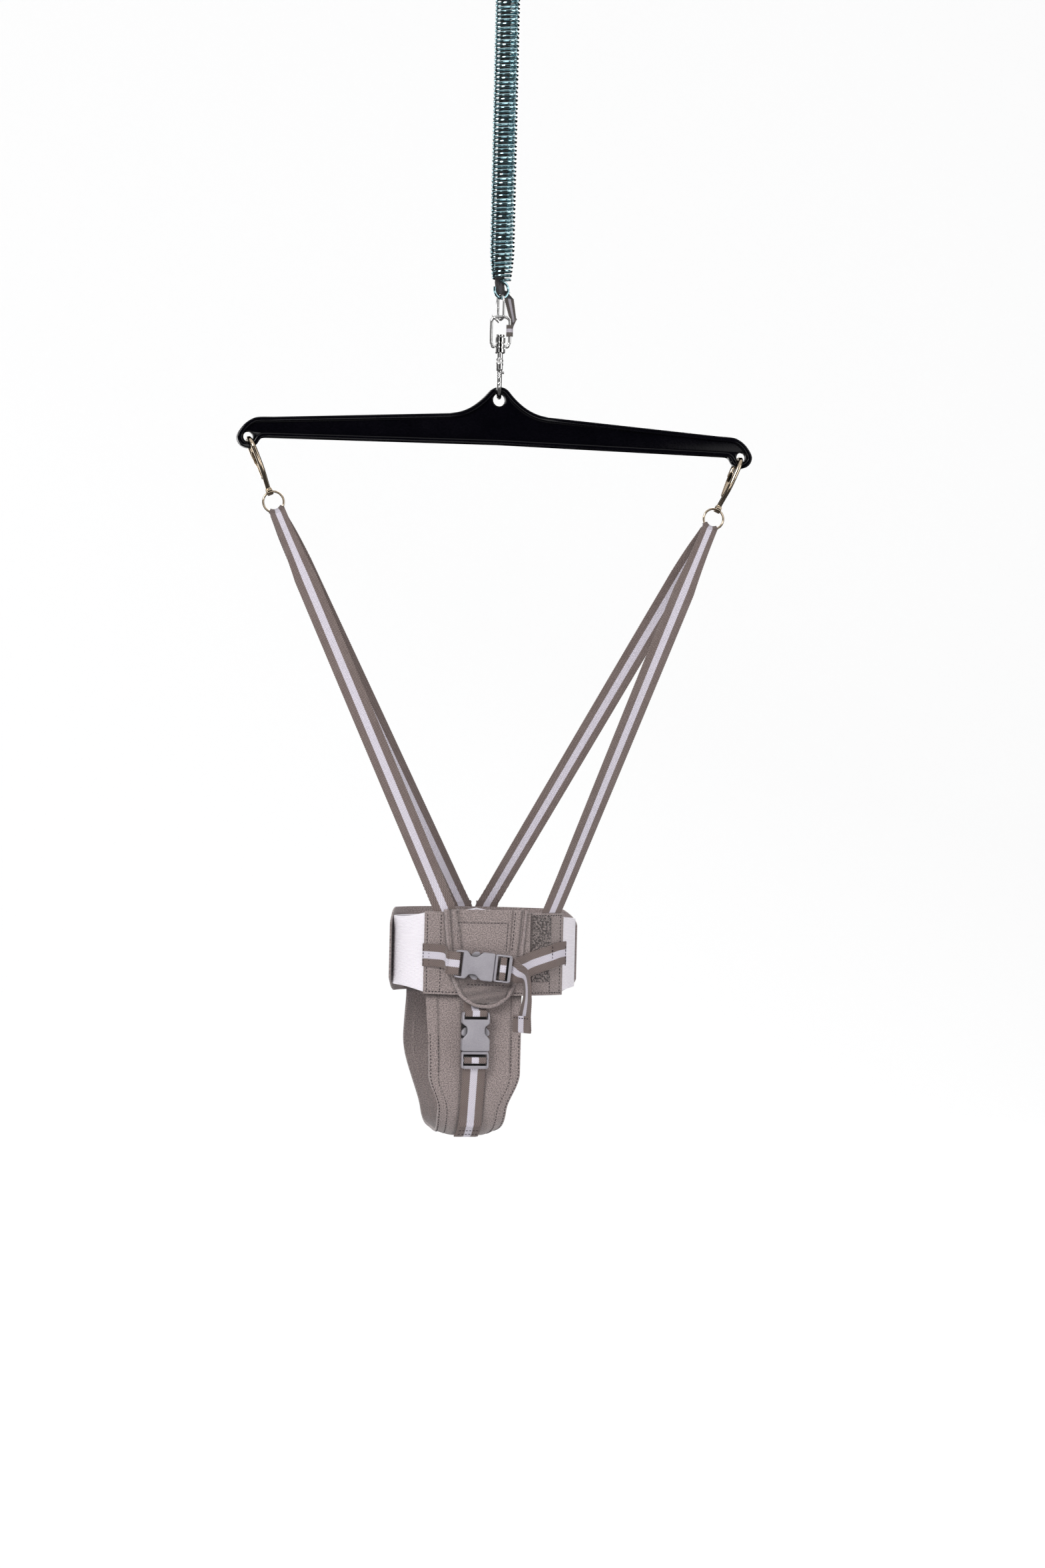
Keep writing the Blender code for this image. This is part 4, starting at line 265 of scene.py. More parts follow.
# Soft mottling from handling: slow clouds with fine specks in them, 0 to 1, and the same as a height
handling, given, result = shader_group("handling_marks", {"Vector": None, "Clouds": 60.0, "Specks": 1800.0},
                                       ("Mask", "Height"))
clouds, specks = (add(handling, "TexNoise", {"Vector": given["Vector"], "Scale": given[size],
                                             "Detail": detail}).outputs["Fac"]
                  for size, detail in (("Clouds", 3.0), ("Specks", 2.0)))
handling.links.new(ranged(handling, maths(handling, "MULTIPLY", clouds, specks), 0.12, 0.42), result["Mask"])
handling.links.new(specks, result["Height"])

# Lighter, rubbed edges: a narrow bevel's normal against the true one, 0 in the open and 1 on an edge
rubbed, given, result = shader_group("rubbed_edges", {"Radius": 0.0004, "Gain": 4.0}, ("Mask",))
rounded = add(rubbed, "Bevel", {"Radius": given["Radius"]}, samples=4)
agree = add(rubbed, "VectorMath",
            {0: rounded.outputs[0], 1: add(rubbed, "NewGeometry").outputs["Normal"]},
            operation="DOT_PRODUCT")
apart = maths(rubbed, "SUBTRACT", 1.0, agree.outputs["Value"])
rubbed.links.new(maths(rubbed, "MULTIPLY", apart, given["Gain"], clamp=True), result["Mask"])


def raised(tree, shader, height, distance, strength, **settings):
    """Relief on a material: a bump of that height that feeds the shader's normal."""
    bump = add(tree, "Bump", {"Height": height, "Distance": distance, "Strength": strength},
               **settings)
    tree.links.new(bump.outputs["Normal"], shader.inputs["Normal"])


def hard_finish(name, base, tired, rough, metallic=0.0, clouds=60.0, specks=1800.0, bump=0.00002, edges=0.0,
                spread=0.12, coat=0.0):
    """Metal, paint or moulding: base colour mottled towards a tired one, and worn lighter on the edges."""
    material = bpy.data.materials.new(name)
    material.use_nodes = True
    tree = material.node_tree
    shader = tree.nodes["Principled BSDF"]
    marks = add(tree, "Group", {"Vector": add(tree, "TexCoord").outputs["Object"],
                                "Clouds": clouds, "Specks": specks}, node_tree=handling).outputs
    tone = mixed_colour(tree, marks["Mask"], base, tired)
    if edges:
        worn = maths(tree, "MULTIPLY", add(tree, "Group", node_tree=rubbed).outputs["Mask"], edges)
        pale = [min(1.0, channel * 2.2 + 0.02) for channel in base[:3]] + [1.0]
        tone = mixed_colour(tree, worn, tone, pale)
    tree.links.new(tone, shader.inputs["Base Color"])
    tree.links.new(ranged(tree, marks["Mask"], 0.0, 1.0, rough, rough + spread), shader.inputs["Roughness"])
    shader.inputs["Metallic"].default_value = metallic
    shader.inputs["Coat Weight"].default_value = coat
    raised(tree, shader, marks["Height"], bump, 0.6)
    return material


zinc = hard_finish("zinc_plating", colour(178, 208, 214), colour(108, 144, 154), 0.10, 1.0, 90, 2600,
                   spread=0.08)
black_paint = hard_finish("black_paint", colour(30, 30, 31), colour(44, 44, 45), 0.38, 0.0, 50, 2200, 0.00006,
                          0.7)
pad_rubber = hard_finish("white_pad_rubber", colour(222, 221, 216), colour(200, 198, 192), 0.72, 0.0, 40, 900,
                         0.00008, 0.1)


def piece(name, mesh, material, place=Matrix.Identity(4), sharp=radians(35)):
    """A finished object at the origin, its place in its mesh, smooth up to the sharp angle."""
    mesh.transform(place)
    mesh.materials.clear()
    mesh.materials.append(material)
    mesh.shade_smooth()
    mesh.set_sharp_from_angle(angle=sharp)
    return linked(name, mesh)


def fitted(made, body, nodes=()):
    """Put a finished piece on its body, in place of its plain solids."""
    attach(made, body)
    if nodes:
        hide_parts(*nodes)
    return made


def closed_mesh(bm, name):
    bmesh.ops.remove_doubles(bm, verts=bm.verts[:], dist=MERGE)
    bmesh.ops.recalc_face_normals(bm, faces=bm.faces[:])
    return mesh_of(bm, name)


def settled(guide, *tools):
    """The mesh that an object's curve or modifiers give; the object and its tools are removed."""
    bpy.context.view_layer.update()
    mesh = bpy.data.meshes.new_from_object(guide.evaluated_get(bpy.context.evaluated_depsgraph_get()))
    for thing in (guide, *tools):
        bpy.data.objects.remove(thing, do_unlink=True)
    return mesh


def meshed(curve):
    """The closed mesh of a curve."""
    mesh = settled(linked(curve.name, curve))
    bm = bmesh.new()
    bm.from_mesh(mesh)
    bpy.data.meshes.remove(mesh)
    return closed_mesh(bm, curve.name)


def wire(name, points, radius, closed=False, fineness=4, radii=None):
    """Round wire along points; radii, if given, are shares of the radius at each point."""
    curve = bpy.data.curves.new(name, "CURVE")
    curve.dimensions = "3D"
    curve.bevel_depth, curve.bevel_resolution, curve.use_fill_caps = radius, fineness, True
    run = curve.splines.new("POLY")
    run.points.add(len(points) - 1)
    for index, (slot, point) in enumerate(zip(run.points, points)):
        slot.co = (*point, 1.0)
        slot.radius = radii[index] if radii else 1.0
    run.use_cyclic_u = closed
    return meshed(curve)


def plate(name, outline, thickness, holes=(), edge=0.0004):
    """Sheet metal or moulding: an outline in XY with holes and rounded edges, half its thickness each way."""
    curve = bpy.data.curves.new(name, "CURVE")
    curve.dimensions, curve.fill_mode = "2D", "BOTH"
    curve.extrude, curve.bevel_depth = thickness / 2 - edge, edge
    curve.offset, curve.bevel_resolution = -edge, 2
    for ring in (outline, *holes):
        run = curve.splines.new("POLY")
        run.points.add(len(ring) - 1)
        for slot, (across, along) in zip(run.points, ring):
            slot.co = (across, along, 0, 1)
        run.use_cyclic_u = True
    return meshed(curve)


def turned(name, profile, sides=48, ring=False):
    """A lathe-turned piece: (radius, height) points spun round Z."""
    bm = bmesh.new()
    verts = [bm.verts.new((radius, 0, height)) for radius, height in profile]
    edges = [bm.edges.new(pair) for pair in zip(verts, verts[1:])]
    if ring:
        edges.append(bm.edges.new((verts[-1], verts[0])))
    bmesh.ops.spin(bm, geom=verts + edges, axis=(0, 0, 1), cent=(0, 0, 0), angle=tau, steps=sides,
                   use_merge=True)
    return closed_mesh(bm, name)


def block(name, corner, opposite, edge=0.0):
    """A block between two opposite corners, with its edges rounded."""
    low, high = (Vector([pick(pair) for pair in zip(corner, opposite)]) for pick in (min, max))
    bm = bmesh.new()
    bmesh.ops.create_cube(bm, size=1, matrix=at((low + high) / 2) @ Matrix.Diagonal((*(high - low), 1)))
    if edge:
        bmesh.ops.bevel(bm, geom=bm.edges[:], offset=edge, segments=3, profile=0.5, affect="EDGES",
                        material=-1)
    return closed_mesh(bm, name)


def circle(radius, count=48, centre=(0, 0)):
    turns = [tau * step / count for step in range(count)]
    return [(centre[0] + radius * cos(a), centre[1] + radius * sin(a)) for a in turns]


def arc(centre, radius, start, end, count):
    """Points of an arc in a plane, from one angle to another in degrees."""
    turns = [radians(start + (end - start) * share) for share in shares(count)]
    return [(centre[0] + radius * cos(a), centre[1] + radius * sin(a)) for a in turns]


def through(points, steps):
    """A Catmull-Rom curve through points, with that many steps between each two."""
    points = [Vector(point) for point in points]
    ends = [points[0] * 2 - points[1]] + points + [points[-1] * 2 - points[-2]]
    run = []
    for a, b, c, d in zip(ends, ends[1:], ends[2:], ends[3:]):
        for step in range(steps):
            t = step / steps
            run.append((b * 2 + (c - a) * t + (a * 2 - b * 5 + c * 4 - d) * t * t
                        + (b * 3 - a - c * 3 + d) * t ** 3) / 2)
    return run + [points[-1]]


def together(name, meshes):
    """Several meshes as one."""
    bm = bmesh.new()
    for mesh in meshes:
        bm.from_mesh(mesh)
        bpy.data.meshes.remove(mesh)
    return mesh_of(bm, name)


def upright(turn=0.0):
    """Stands a flat plate up: its X runs along Y and its Y runs up."""
    return about("Z", turn) @ Matrix(((0, 0, 1, 0), (1, 0, 0, 0), (0, 1, 0, 0), (0, 0, 0, 1)))


pad_low, pad_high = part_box("clamp_front_pad")
PAD_FACE, PAD_BACK = -pad_high.y, -pad_low.y
PAD_RIBS = 6
arm_reach = PAD_BACK + SEAT_GAP + PAD_PLATE_THICKNESS / 2 + ARM_HALF_WIDTH
SHANK_SHARES = [(1.00, 1.13), (1.01, 0.85), (0.97, 0.55), (0.74, 0.24), (0.46, 0.11), (0.22, 0.045),
                (0.09, 0.022), (0.012, 0.001)]
TAIL_SHARES = [(-0.018, 0.11), (0.014, 0.24), (0.115, 0.40), (0.256, 0.63), (0.34, 0.83), (0.37, 1.0)]
spine = through([(-arm_reach * y, -PIVOT_Z * z, 0) for y, z in SHANK_SHARES]
                + [(-arm_reach * y, -TAIL_DROP * z, 0) for y, z in TAIL_SHARES], 8)
left_edge, right_edge = [], []
for index, point in enumerate(spine):
    along = (spine[min(index + 1, len(spine) - 1)] - spine[max(index - 1, 0)]).normalized()
    side = Vector((-along.y, along.x, 0)) * ARM_HALF_WIDTH
    left_edge.append(tuple((point + side)[:2]))
    right_edge.append(tuple((point - side)[:2]))
for word, side in (("front", 1), ("rear", -1)):
    shift = -side * (HANGER_THICKNESS / 2 + SEAT_GAP + ARM_THICKNESS / 2)
    arm = plate("arm", left_edge + right_edge[::-1], ARM_THICKNESS, [circle(BOLT_RADIUS + SEAT_GAP)])
    arm.transform(at((shift, 0, PIVOT_Z)) @ upright(0.0 if side > 0 else pi))
    pad_low, pad_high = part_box(f"clamp_{word}_pad")
    face = side * -(PAD_BACK + SEAT_GAP)
    backing = block("pad_plate", (pad_low.x, face, pad_low.z),
                    (pad_high.x, face - side * PAD_PLATE_THICKNESS, pad_high.z), 0.0006)
    fitted(piece(f"{word}_tong_arm", together("arm", [arm, backing]), black_paint),
           f"{word}_jaw", [f"clamp_{word}_arm"])
    # Moulded pad with grip ribs across its face
    inner = side * -PAD_FACE
    pad = [block("slab", (pad_low.x, inner - side * 0.0012, pad_low.z),
                 (pad_high.x, face + side * SEAT_GAP, pad_high.z), 0.0011)]
    for index in range(PAD_RIBS):
        middle = pad_low.z + (pad_high.z - pad_low.z) * (index + 0.5) / PAD_RIBS
        pad.append(block("rib", (pad_low.x + 0.002, inner, middle - 0.0016),
                         (pad_high.x - 0.002, inner - side * 0.002, middle + 0.0016), 0.0007))
    fitted(piece(f"{word}_grip_pad", together("pad", pad), pad_rubber),
           f"{word}_jaw", [f"clamp_{word}_pad"])

nut_low, nut_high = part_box("clamp_pivot_nut")
HEAD_RADIUS = (bolt_high.z - bolt_low.z) / 2
HEAD_THICKNESS = nut_high.x - nut_low.x
head_face = bolt_low.x + HEAD_THICKNESS
HEAD_EDGE, BOLT_CHAMFER = 0.0003, 0.0005
bolt_profile = [(0, bolt_low.x), (HEAD_RADIUS * 0.62, bolt_low.x), (HEAD_RADIUS * 0.88, bolt_low.x + 0.0007),
                (HEAD_RADIUS, bolt_low.x + 0.0018), (HEAD_RADIUS, head_face - HEAD_EDGE),
                (HEAD_RADIUS - HEAD_EDGE, head_face), (BOLT_RADIUS, head_face),
                (BOLT_RADIUS, bolt_high.x - BOLT_CHAMFER), (BOLT_RADIUS - BOLT_CHAMFER, bolt_high.x),
                (0, bolt_high.x)]
along_x = at((0, 0, PIVOT_Z)) @ about("Y")
fitted(piece("pivot_bolt", turned("pivot_bolt", bolt_profile), zinc, along_x), "door_clamp",
       ["clamp_pivot_bolt"])
nut = plate("pivot_nut", circle(HEAD_RADIUS, 6), HEAD_THICKNESS, [circle(BOLT_RADIUS + SEAT_GAP)], 0.0005)
nut_middle = (nut_low.x + nut_high.x) / 2
fitted(piece("pivot_lock_nut", nut, zinc, at((nut_middle, 0, 0)) @ along_x), "door_clamp",
       ["clamp_pivot_nut"])
hanger_low, hanger_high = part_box("clamp_hanger")
HANGER_HALF_WIDTH = (hanger_high.y - hanger_low.y) / 2
hanger_drop = PIVOT_Z - hanger_low.z - HANGER_HALF_WIDTH
HANGER_HOLE_RADIUS = 0.004
hanger = plate("hanger", arc((0, 0), HANGER_HALF_WIDTH, 0, 180, 24)
               + arc((0, -hanger_drop), HANGER_HALF_WIDTH, 180, 360, 24), HANGER_THICKNESS,
               [circle(BOLT_RADIUS + SEAT_GAP), circle(HANGER_HOLE_RADIUS, 48, (0, -hanger_drop))], 0.0005)
fitted(piece("hanger_plate", hanger, zinc, at((0, 0, PIVOT_Z)) @ upright()), "door_clamp",
       ["clamp_hanger"])
torsion_low, torsion_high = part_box("clamp_torsion_spring")
coil = BOLT_RADIUS + SEAT_GAP + TORSION_WIRE_RADIUS
first = torsion_low.x + TORSION_WIRE_RADIUS
span = torsion_high.x - torsion_low.x - 2 * TORSION_WIRE_RADIUS
points = [Vector((first, -coil, TORSION_LEG))]
for share in shares(TORSION_TURNS * TORSION_STEPS):
    angle = pi + tau * TORSION_TURNS * share
    points.append(Vector((first + span * share, coil * cos(angle), coil * sin(angle))))
points.append(Vector((points[-1].x, -coil, -TORSION_LEG)))
fitted(piece("closing_spring", wire("closing_spring", points, TORSION_WIRE_RADIUS), zinc,
             at((0, 0, PIVOT_Z))), "door_clamp", ["clamp_torsion_spring"])

# Chain: three short zinc-plated links of round wire, each butt-welded on one side, hung at right angles
# to the one above.
CHAIN_WIRE_RADIUS = 0.0015


def long_ring(half_width, height, steps=18):
    """A link's centreline in XZ, its top at the origin."""
    top = arc((0, -half_width), half_width, 0, 180, steps)
    bottom = arc((0, half_width - height), half_width, 180, 360, steps)
    return [Vector((x, 0, z)) for x, z in top + bottom]


def bead(spot, radius, half_length):
    """The smooth swelling of a weld or a brazed seam on a wire that runs along Z."""
    bm = bmesh.new()
    bmesh.ops.create_icosphere(bm, subdivisions=3, radius=1,
                               matrix=at(spot) @ Matrix.Diagonal((radius, radius, half_length, 1)))
    return closed_mesh(bm, "bead")


for index in range(3):
    low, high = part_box(f"chain_link_{index + 1}")
    wide = max(high.x - low.x, high.y - low.y) / 2 - CHAIN_WIRE_RADIUS
    tall = high.z - low.z - 2 * CHAIN_WIRE_RADIUS
    place = at((0, 0, high.z - CHAIN_WIRE_RADIUS)) @ about("Z", pi / 2 * (index % 2))
    link = wire("link", long_ring(wide, tall), CHAIN_WIRE_RADIUS, True)
    weld = bead((wide, 0, -tall / 2), CHAIN_WIRE_RADIUS * 1.16, CHAIN_WIRE_RADIUS * 0.8)
    fitted(piece(f"welded_link_{index + 1}", together("link", [link, weld]), zinc, place),
           f"link_{index + 1}", [f"chain_link_{index + 1}"])

# Bounce spring: one length of zinc-plated spring wire wound into open coils that draw in at both ends,
# each end turned into a hook loop across the axis. It stretches between the chain and the oval link.
SPRING_WIRE_RADIUS, SPRING_LOOP_RADIUS, SPRING_END_RADIUS = 0.0012, 0.0076, 0.0076
SPRING_COILS, SPRING_TAPER_COILS, PER_TURN = 76, 8, 24
LEAD_STEPS, LOOP_STEPS = 15, 48
SPRING_LOOP_ARC, LOOP_TURN = radians(285), radians(25)
LEAD_SHARE = (radians(270) - LOOP_TURN) / (2 * tau)
spring_low, spring_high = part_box("main_spring")
SPRING_RADIUS = (spring_high.x - spring_low.x) / 2 - SPRING_WIRE_RADIUS
top_loop_z = spring_high.z - SPRING_WIRE_RADIUS
loop_bottom_z = spring_low.z + SPRING_WIRE_RADIUS
coil_top_z = top_loop_z - 2 * SPRING_LOOP_RADIUS
coil_bottom_z = loop_bottom_z + 2 * SPRING_LOOP_RADIUS
spring_pitch = (coil_top_z - coil_bottom_z) / SPRING_COILS
lead_drop = spring_pitch * LEAD_SHARE


def polar(radius, angle, height=0.0):
    """A point at an angle round Z."""
    return Vector((radius * cos(angle), radius * sin(angle), height))


def spring_end(turn_angle, way):
    """The lead from the winding to the axis and the hook loop after it, from an origin on the axis."""
    points = []
    for left in shares(LEAD_STEPS)[-2:0:-1]:
        angle = pi + tau * LEAD_SHARE * left * -way
        points.append(polar(SPRING_END_RADIUS * left, angle, lead_drop * left * -way))
    for share in shares(LOOP_STEPS):
        angle = SPRING_LOOP_ARC * share
        points.append(Vector((SPRING_LOOP_RADIUS * sin(angle), 0,
                              way * SPRING_LOOP_RADIUS * (1 - cos(angle)))))
    return [about("Z", turn_angle) @ point for point in points]


def joining(made, nodes):
    """Apply a finished piece's transform and hide the plain solids that it replaces."""
    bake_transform(made)
    if nodes:
        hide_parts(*nodes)


end_angle = LOOP_TURN + pi + tau * LEAD_SHARE
winding = []
for step in range(SPRING_COILS * PER_TURN + 1):
    turns_down = step / PER_TURN
    angle = end_angle + tau * (SPRING_COILS - turns_down)
    taper = min(1.0, min(turns_down, SPRING_COILS - turns_down) / SPRING_TAPER_COILS)
    radius = SPRING_END_RADIUS + (SPRING_RADIUS - SPRING_END_RADIUS) * sin(taper * pi / 2)
    drop = lead_drop + turns_down * (coil_top_z - coil_bottom_z - 2 * lead_drop) / SPRING_COILS
    winding.append(polar(radius, angle, coil_top_z - drop))
lower = [Vector((0, 0, coil_bottom_z)) + point for point in spring_end(LOOP_TURN, -1)]
upper = [Vector((0, 0, coil_top_z)) + point
         for point in spring_end(end_angle - pi + tau * LEAD_SHARE, 1)]
spring = piece("coiled_bounce_spring",
               wire("coil", upper[::-1] + winding + lower, SPRING_WIRE_RADIUS, fineness=3), zinc)
joining(spring, ["main_spring"])

# Safety strap: narrow striped webbing that runs up inside the spring and is sewn round the bail, so that
# the seat is still held if the spring breaks. Woven taupe polyester with a pale centre stripe.
SAFETY_WIDTH, SAFETY_THICKNESS, SAFETY_OFFSET = 0.010, 0.0012, 0.0027
BAIL_WIRE_RADIUS, BAIL_HALF_WIDTH, BAIL_LEG, BAIL_TURN = 0.0014, 0.0083, 0.0215, radians(-12)
LINK_WIRE_RADIUS, WEBBING_WIDTH = 0.0011, 0.020
bail_top_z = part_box("swivel_bail")[1].z - BAIL_WIRE_RADIUS
link_low, link_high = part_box("oval_link")

# Over-and-under weave on a cloth's own lengths in metres: Height and Light swell on each thread's crown
weave, given, result = shader_group("woven_threads", {"Vector": None, "Along": 0.0017, "Across": 0.0016},
                                    ("Height", "Light"))
waves = []
for axis, pitch in (("X", "Along"), ("Y", "Across")):
    turns = maths(weave, "DIVIDE", axes(weave, given["Vector"])[axis], given[pitch])
    waves.append(maths(weave, "SINE", maths(weave, "MULTIPLY", turns, tau)))
level = ranged(weave, maths(weave, "MULTIPLY", *waves), -1.0)
weave.links.new(level, result["Height"])
# Light gives the cloths' colours a painted highlight on each thread's crown and painted shade between threads
weave.links.new(maths(weave, "POWER", level, 1.6), result["Light"])


def soft_finish(name, sheen=0.25, rough=0.88):
    """A cloth's bare material, its cloth coordinates in metres and its mottling, for the caller to fill."""
    material = bpy.data.materials.new(name)
    material.use_nodes = True
    tree = material.node_tree
    shader = tree.nodes["Principled BSDF"]
    for socket, value in (("Roughness", rough), ("Sheen Weight", sheen), ("Sheen Roughness", 0.5)):
        shader.inputs[socket].default_value = value
    lengths = add(tree, "UVMap", uv_map="cloth").outputs["UV"]
    marks = add(tree, "Group", {"Vector": add(tree, "TexCoord").outputs["Object"]},
                node_tree=handling).outputs["Mask"]
    return material, tree, shader, lengths, marks


def threads_of(tree, lengths, along, across):
    """The weave group's outputs on a cloth's lengths, with the pitch of its threads both ways."""
    return add(tree, "Group", {"Vector": lengths, "Along": along, "Across": across},
               node_tree=weave).outputs


def darken_by_painted_shade(tree, tone):
    """The colour, greyed and darkened towards near-black where its "crevice" mask is set: painted shade in
    gaps, grooves and under parts.
    """
    mask = add(tree, "Attribute", attribute_name="crevice").outputs["Fac"]
    return mixed_colour(tree, mask, tone, colour(24, 21, 22))


def clamped(value):
    return max(0.0, min(1.0, value))


def bell(distance, width):
    """1 at no distance, falling smoothly to nothing past the width."""
    return exp(-(distance / width) ** 2)


def write_painted_shade(made, amount):
    """Write a piece's crevice mask of painted shade, amount(point) from 0 in the open to 1 in a deep gap."""
    mask = made.data.attributes.new("crevice", "FLOAT", "POINT")
    for vert, value in zip(made.data.vertices, mask.data):
        value.value = clamped(amount(vert.co))


def striped_webbing(name, width, dark, light, stripe, stripe_shade, along=0.0017, across=0.0016):
    """Webbing with a pale stripe a third of its width, its border toothed by the weave, its colour painted
    lighter on thread crowns and darker between them as highlight and shade.
    """
    material, tree, shader, lengths, marks = soft_finish(name, 0.15)
    threads = threads_of(tree, lengths, along, across)
    from_middle = maths(tree, "ABSOLUTE", maths(tree, "SUBTRACT", axes(tree, lengths)["Y"], width / 2))
    teeth = maths(tree, "MULTIPLY_ADD", threads["Height"], width * 0.02, from_middle)
    woven = mixed_colour(tree, maths(tree, "LESS_THAN", teeth, width * 0.172),
                         mixed_colour(tree, threads["Light"], dark, light),
                         mixed_colour(tree, threads["Light"], stripe_shade, stripe))
    dusty = mixed_colour(tree, maths(tree, "MULTIPLY", marks, 0.10), woven, colour(176, 166, 162))
    tree.links.new(darken_by_painted_shade(tree, dusty), shader.inputs["Base Color"])
    raised(tree, shader, threads["Height"], 0.0003, 0.9)
    return material


strap_dark, strap_light = colour(70, 57, 54), colour(148, 131, 126)
strap_pale, strap_pale_shade = colour(236, 230, 241), colour(178, 172, 183)
wide_webbing = striped_webbing("striped_webbing", WEBBING_WIDTH, strap_dark, strap_light, strap_pale,
                               strap_pale_shade)
NARROW_PITCH = (0.0014, 0.0012)
narrow_webbing = striped_webbing("narrow_striped_webbing", SAFETY_WIDTH, colour(44, 38, 36),
                                 colour(112, 103, 97), colour(206, 200, 208), colour(150, 144, 152),
                                 *NARROW_PITCH)
# A darker copy of the narrow webbing for the part inside the spring: painted shade inside the coils
shaded_webbing = striped_webbing("painted_shade_webbing", SAFETY_WIDTH, colour(26, 24, 25), colour(48, 46, 47),
                                 colour(70, 70, 76), colour(50, 50, 55), *NARROW_PITCH)
sewing_thread = hard_finish("sewing_thread", colour(40, 34, 38), colour(56, 49, 53), 0.8, 0.0, 300, 3000)


def cloth(name, shape, steps, across, thickness, length, width, rounded=0.0):
    """A sheet bent to shape(u, v), u and v from 0 to 1, thickened both ways, with its lengths as UVs."""
    bm = bmesh.new()
    bmesh.ops.create_grid(bm, x_segments=steps, y_segments=across, size=0.5)
    lengths = bm.loops.layers.uv.new("cloth")
    for face in bm.faces:
        for corner in face.loops:
            corner[lengths].uv = ((corner.vert.co.x + 0.5) * length, (corner.vert.co.y + 0.5) * width)
    for vert in bm.verts:
        vert.co = shape(vert.co.x + 0.5, vert.co.y + 0.5)
    guide = linked(name, mesh_of(bm, name))
    wall = guide.modifiers.new("wall", "SOLIDIFY")
    wall.thickness, wall.offset, wall.use_even_offset = thickness, 0, True
    if rounded:
        edge = guide.modifiers.new("edge", "BEVEL")
        edge.width, edge.segments, edge.limit_method, edge.angle_limit = rounded, 2, "ANGLE", radians(60)
    solid = settled(guide)
    bm = bmesh.new()
    bm.from_mesh(solid)
    bmesh.ops.recalc_face_normals(bm, faces=bm.faces[:])
    bm.to_mesh(solid)
    bm.free()
    return solid


def sheet(made, nodes, flat):
    """Put a finished sheet on the harness, in place of its plain solids; its flat size is not used."""
    fitted(made, "harness", nodes)
    return made


def run_of(stations, spacing):
    """Stations of (point, side, width) at an even spacing on a smooth path through the given ones."""
    points = [Vector(station[0]) for station in stations]
    ends = [points[0] * 2 - points[1]] + points + [points[-1] * 2 - points[-2]]
    run = []
    for index in range(len(stations) - 1):
        a, b, c, d = ends[index:index + 4]
        (_, side_a, wide_a), (_, side_b, wide_b) = stations[index:index + 2]
        steps = max(1, round((c - b).length / spacing))
        for step in range(steps):
            t = step / steps
            point = (b * 2 + (c - a) * t + (a * 2 - b * 5 + c * 4 - d) * t * t
                     + (b * 3 - a - c * 3 + d) * t ** 3) / 2
            side = Vector(side_a).normalized().lerp(Vector(side_b).normalized(), t).normalized()
            run.append((point, side, wide_a + (wide_b - wide_a) * t))
    last, side, wide = stations[-1]
    return run + [(Vector(last), Vector(side).normalized(), wide)]


def length_of(run):
    return sum((b[0] - a[0]).length for a, b in zip(run, run[1:]))


PICOT_PITCH, PICOT_DEPTH = 0.0017, 0.00022
STITCH_PITCH, STITCH_RADIUS = 0.0031, 0.00048


def strap(name, run, thickness, full_width, across=6):
    """Webbing along a run of stations, its edges scalloped by the turns of the weft."""
    long = length_of(run)
    last = len(run) - 1

    def shape(u, v):
        point, side, width = run[round(u * last)]
        reach = width / 2
        if abs(v - 0.5) > 0.49:
            reach += PICOT_DEPTH * sin(tau * u * long / PICOT_PITCH)
        return point + side * reach * (v * 2 - 1)
    return cloth(name, shape, last, across, thickness, long, full_width, thickness * 0.22)


def stitches(name, lines):
    """Rows of sewn stitches: a small pulled-in bead of thread for each, along lines of points."""
    bm = bmesh.new()
    for points in lines:
        travelled, goal = 0.0, STITCH_PITCH / 2
        for a, b in zip(points, points[1:]):
            gap = (b - a).length
            while gap and travelled + gap >= goal:
                spot = a.lerp(b, (goal - travelled) / gap)
                place = (at(spot) @ (b - a).to_track_quat("Z", "Y").to_matrix().to_4x4()
                         @ Matrix.Diagonal((STITCH_RADIUS, STITCH_RADIUS, STITCH_PITCH * 0.36, 1)))
                bmesh.ops.create_uvsphere(bm, u_segments=6, v_segments=4, radius=1, matrix=place)
                goal += STITCH_PITCH
            travelled += gap
    return piece(name, mesh_of(bm, name), sewing_thread)


loop_turn, bail_turn = about("Z", LOOP_TURN), about("Z", BAIL_TURN)
along_loop, behind_loop = loop_turn @ ACROSS, loop_turn @ -FRONT
bail_side, bail_back = bail_turn @ ACROSS, bail_turn @ -FRONT
leg = bail_side * BAIL_HALF_WIDTH + UP * (bail_top_z - BAIL_LEG * 0.58)
wrap = (BAIL_WIRE_RADIUS + SEAT_GAP + SAFETY_THICKNESS / 2) * 1.06
strap_out = behind_loop * SAFETY_OFFSET
inside = SPRING_END_RADIUS - SPRING_WIRE_RADIUS
mouth_z = coil_bottom_z - SPRING_WIRE_RADIUS / 2
loop_drop = loop_bottom_z - coil_bottom_z
link_bottom_z = link_low.z + LINK_WIRE_RADIUS
inner_run = [(strap_out + UP * (coil_top_z - spring_pitch * 2), along_loop, SAFETY_WIDTH)]
inner_run += [(strap_out + UP * (coil_top_z + (mouth_z - coil_top_z) * share), along_loop, SAFETY_WIDTH)
              for share in (1 / 3, 2 / 3, 1)]
for away, aside, height, width in ((1.3, 0.75, coil_bottom_z + loop_drop * 0.55, SAFETY_WIDTH * 0.95),
                                   (1.7, 1.9, loop_bottom_z + SPRING_WIRE_RADIUS, SAFETY_WIDTH),
                                   (2.0, 2.7, link_bottom_z + LINK_WIRE_RADIUS * 4, SAFETY_WIDTH * 0.7)):
    inner_run.append((strap_out * away + along_loop * inside * aside + UP * height, along_loop, width))
past_link = inner_run.pop()
